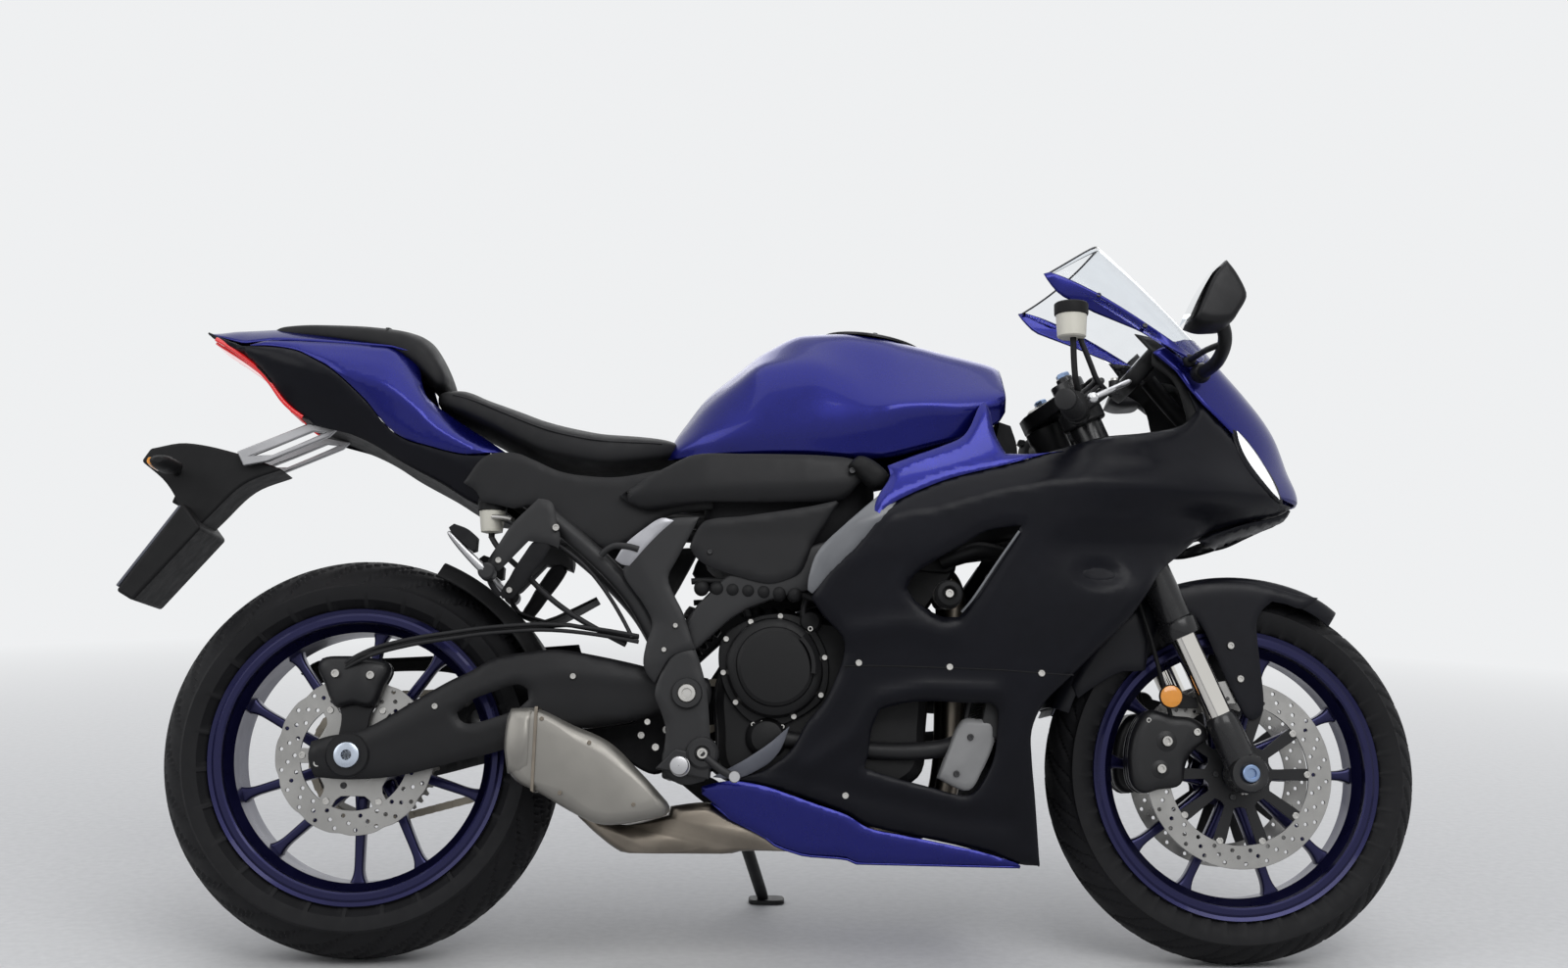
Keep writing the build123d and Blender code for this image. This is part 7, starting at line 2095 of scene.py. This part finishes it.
# ------------------------------------------------------------------ pegs and hangers
ARM_OUTER = [(296, 712), (280, 714), (262, 696), (250, 684), (236, 667), (222, 644), (208, 622), (203, 608),
             (210, 600), (222, 600), (231, 608), (242, 620), (267, 647), (273, 646), (292, 644), (306, 640),
             (313, 637), (316, 652), (310, 676), (304, 704)]
ARM_INNER = [(296, 650), (302, 640), (296, 628), (284, 610), (272, 594), (257, 572), (246, 558), (229, 557),
             (224, 564), (230, 576), (238, 589), (246, 605), (261, 629), (272, 645), (284, 652)]
for side, tag in SIDES:
    skin("hanger_arm_" + tag, rounded(ARM_OUTER, 7), flat_face(167), "frame_grey", side, thick=12, step=8,
         lip=2.5, rim=1.2, replaces=once(side, "foot_pegs"))
    skin("hanger_leg_" + tag, rounded(ARM_INNER, 7), flat_face(164), "inner_black", side, thick=9, step=8,
         lip=2, lip_width=5)
    side_bolts("hanger_bolts_" + tag, side, [(309, 168, 668, 6), (222, 168, 616, 5), (240, 165, 570, 5)])
    tube("hanger_link_" + tag, on_side(side, [(225, 158, 562), (214, 158, 574), (206, 158, 590),
                                              (207, 158, 608)]), 4.5, "inner_black")
    # folded passenger peg: alloy bar with a rubber pad on its upper face
    rows = []
    for x, z, w in ((211, 590, 16), (188, 612, 14), (166, 634, 12), (150, 652, 9), (146, 657, 5)):
        rows.append([tuple(Vector((x, 0, z)) + Vector((0.7, 0, 0.7)) * (u * w * 0.5)
                           + Vector((0, side * (186 + 15 * v), 0))) for u, v in soft_ring(16, 0.6, 0.6)])
    closed_grid("passenger_peg_" + tag, rows, "peg_alloy", levels=1)
    pad = rounded([(148, 662), (156, 668), (177, 660), (192, 648), (191, 628), (184, 626), (168, 640),
                   (152, 655)], 5)
    rows = [[(x, side * y, z) for x, z in pad] for y in (172, 173, 199, 200)]
    bevel(closed_grid("peg_rubber_" + tag, rows, "grip_rubber", sharp=50), 2, segments=2)
    side_turned("peg_pivot_" + tag, side, [((207, 166, 596), [(0, 13), (30, 13), (33, 10)], 32)],
                "frame_grey")
    # rider peg
    plate("rider_hanger_" + tag, rounded([(470, 300), (552, 284), (556, 318), (500, 330)], 7), 172, 185,
          "frame_grey", side, edge=2.5)
    profile = [(178, 0.5), (178, 15), (196, 15), (198, 11), (204, 11), (205, 13.5)]
    for k in range(7):
        profile += [(207 + 9.5 * k, 14.2), (213 + 9.5 * k, 14.2), (214 + 9.5 * k, 12.6),
                    (216 + 9.5 * k, 12.6)]
    profile += [(275, 14.2), (280, 13), (281, 9), (281, 0.5)]
    turned("rider_peg_" + tag, facing(side, profile), PEG, "peg_alloy", segments=32, closed=False, sharp=30)
# brake pedal on the right and gear pedal on the left
for side, tag in ((-1, "brake"), (1, "gear")):
    tube(tag + "_pedal", on_side(side, [(541, 186, 322), (560, 191, 306), (576, 196, 294), (590, 200, 288)]),
         6, "frame_grey")
    side_turned(tag + "_pedal_tip", side, [((590, 198, 288), [(0, 8), (2, 9), (28, 9), (30, 8)], 24)],
                "peg_alloy")
# rear reservoir, its hose and the rear brake line
turned_set("rear_pot", [((203, -110, 666), (0, 0, 1), [(0, 9), (2, 17), (34, 20.5), (36, 20.5)], 36)],
           "reservoir_plastic", replaces=["rear_reservoir"])
turned_set("rear_pot_cap",
           [((203, -110, 701), (0, 0, 1), [(0, 22), (1, 23), (18, 23), (20, 21), (20, 1)], 28)],
           "trim_black", sharp=20)
turned_set("rear_pot_outlet", [((203, -110, 667), (0, 0, -1), [(0, 5), (8, 5), (9, 3)], 16)], "trim_black")
tube("rear_pot_hose", [(203, -110, 660), (214, -116, 640), (250, -128, 610), (300, -132, 560),
                       (360, -138, 520), (420, -146, 490)], 4.5, "hose_black")
tube("rear_pot_stay", [(206, -128, 690), (226, -140, 688), (240, -154, 682)], 4, "bolt_steel")
for k, drop in enumerate((0, 9)):
    tube("rear_line_%d" % k, [(-24, -118, 452 - drop), (10, -134, 476 - drop), (90, -139, 497 - drop),
                              (150, -140, 506 - drop), (210, -140, 516 - drop), (330, -142, 524 - drop),
                              (440, -160, 502 - drop)], 3.2, "hose_black")
# hook on the right frame cover
tube("frame_hook", [(380, -168, 626), (392, -176, 640), (420, -182, 640), (438, -184, 634)], 5, "frame_grey")

# ------------------------------------------------------------------ floor, light and camera
floor_mesh = bpy.data.meshes.new("floor")
floor_mesh.from_pydata([(-9, -9, 0), (9, -9, 0), (9, 9, 0), (-9, 9, 0)], [], [(0, 1, 2, 3)])
floor = bpy.data.objects.new("floor", floor_mesh)
bpy.context.collection.objects.link(floor)
floor_mat, tree, shader, coord = new_material("floor_pale")
speck = noise_node(tree, coord, 60.0, detail=6.0)
tone = ramp_node(tree, speck.outputs["Fac"], [(0.3, 0.60), (0.7, 0.66)])
tree.links.new(tone.outputs["Color"], shader.inputs["Base Color"])
shader.inputs["Roughness"].default_value = 0.75
floor_mesh.materials.append(floor_mat)
span = tree.nodes.new("ShaderNodeVectorMath")
span.operation = "LENGTH"
tree.links.new(coord.outputs["Object"], span.inputs[0])
fade = tree.nodes.new("ShaderNodeMapRange")
fade.inputs["From Min"].default_value = 1.4
fade.inputs["From Max"].default_value = 5.0
tree.links.new(span.outputs["Value"], fade.inputs["Value"])
seen = tree.nodes.new("ShaderNodeLightPath")
seen_far = tree.nodes.new("ShaderNodeMath")
seen_far.operation = "MULTIPLY"
tree.links.new(fade.outputs["Result"], seen_far.inputs[0])
tree.links.new(seen.outputs["Is Camera Ray"], seen_far.inputs[1])
haze = tree.nodes.new("ShaderNodeEmission")
haze.inputs["Color"].default_value = (0.86, 0.87, 0.88, 1)
blend = tree.nodes.new("ShaderNodeMixShader")
tree.links.new(seen_far.outputs[0], blend.inputs["Fac"])
tree.links.new(shader.outputs[0], blend.inputs[1])
tree.links.new(haze.outputs[0], blend.inputs[2])
tree.links.new(blend.outputs[0], tree.nodes["Material Output"].inputs["Surface"])

world = bpy.data.worlds.new("studio")
bpy.context.scene.world = world
world.use_nodes = True
tree = world.node_tree
sky = tree.nodes["Background"]
sky.inputs["Color"].default_value = (0.9, 0.93, 1.0, 1)
sky.inputs["Strength"].default_value = 0.42
backdrop = tree.nodes.new("ShaderNodeBackground")
backdrop.inputs["Color"].default_value = (0.86, 0.87, 0.88, 1)
backdrop.inputs["Strength"].default_value = 1.0
path = tree.nodes.new("ShaderNodeLightPath")
either = tree.nodes.new("ShaderNodeMath")
either.operation = "MAXIMUM"
tree.links.new(path.outputs["Is Camera Ray"], either.inputs[0])
glassy = tree.nodes.new("ShaderNodeMath")
glassy.operation = "MAXIMUM"
tree.links.new(path.outputs["Is Transmission Ray"], glassy.inputs[0])
tree.links.new(path.outputs["Is Glossy Ray"], glassy.inputs[1])
tree.links.new(glassy.outputs[0], either.inputs[1])
mix = tree.nodes.new("ShaderNodeMixShader")
tree.links.new(either.outputs[0], mix.inputs["Fac"])
tree.links.new(sky.outputs[0], mix.inputs[1])
tree.links.new(backdrop.outputs[0], mix.inputs[2])
tree.links.new(mix.outputs[0], tree.nodes["World Output"].inputs["Surface"])


def soft_box(name, place, target, size, power):
    """A rectangular area lamp at a place, facing a target."""
    lamp = bpy.data.lights.new(name, "AREA")
    lamp.shape = "RECTANGLE"
    lamp.size, lamp.size_y = size
    lamp.energy = power
    holder = bpy.data.objects.new(name, lamp)
    holder.location = place
    holder.rotation_euler = (Vector(target) - Vector(place)).to_track_quat("-Z", "Y").to_euler()
    bpy.context.collection.objects.link(holder)


soft_box("key", (1.2, -3.4, 3.6), (0, 0, 0.5), (3.2, 2.2), 82)
soft_box("rear_fill", (-3.2, -2.0, 2.4), (-0.4, 0, 0.5), (2.4, 2.4), 28)
soft_box("far_fill", (0.5, 3.6, 3.0), (0, 0, 0.5), (4.0, 2.6), 42)
soft_box("top", (0.0, -0.3, 4.2), (0, 0, 0.4), (5.0, 3.4), 46)

SENSOR = 36.0
FOCAL, PHOTO_WIDTH = 1895.6, 1600  # in pixels of the photo
EYE = (0.5614, -2.9274, 0.8264)
YAW, PITCH, ROLL = (math.radians(a) for a in (1.99, -1.30, 0.862))
forward = Vector((math.sin(YAW) * math.cos(PITCH), math.cos(YAW) * math.cos(PITCH), math.sin(PITCH)))
right = forward.cross(Vector((0, 0, 1))).normalized()
up = right.cross(forward)
tilted_right = math.cos(ROLL) * right + math.sin(ROLL) * up
tilted_up = -math.sin(ROLL) * right + math.cos(ROLL) * up
camera_data = bpy.data.cameras.new("camera")
camera_data.sensor_width = SENSOR
camera_data.lens = FOCAL / PHOTO_WIDTH * SENSOR
camera = bpy.data.objects.new("camera", camera_data)
turn = Matrix((tilted_right, tilted_up, -forward)).transposed().to_4x4()
camera.matrix_world = Matrix.Translation(Vector(EYE) + SHIFT) @ turn
bpy.context.collection.objects.link(camera)
bpy.context.scene.camera = camera
bpy.context.scene.view_settings.view_transform = "Standard"
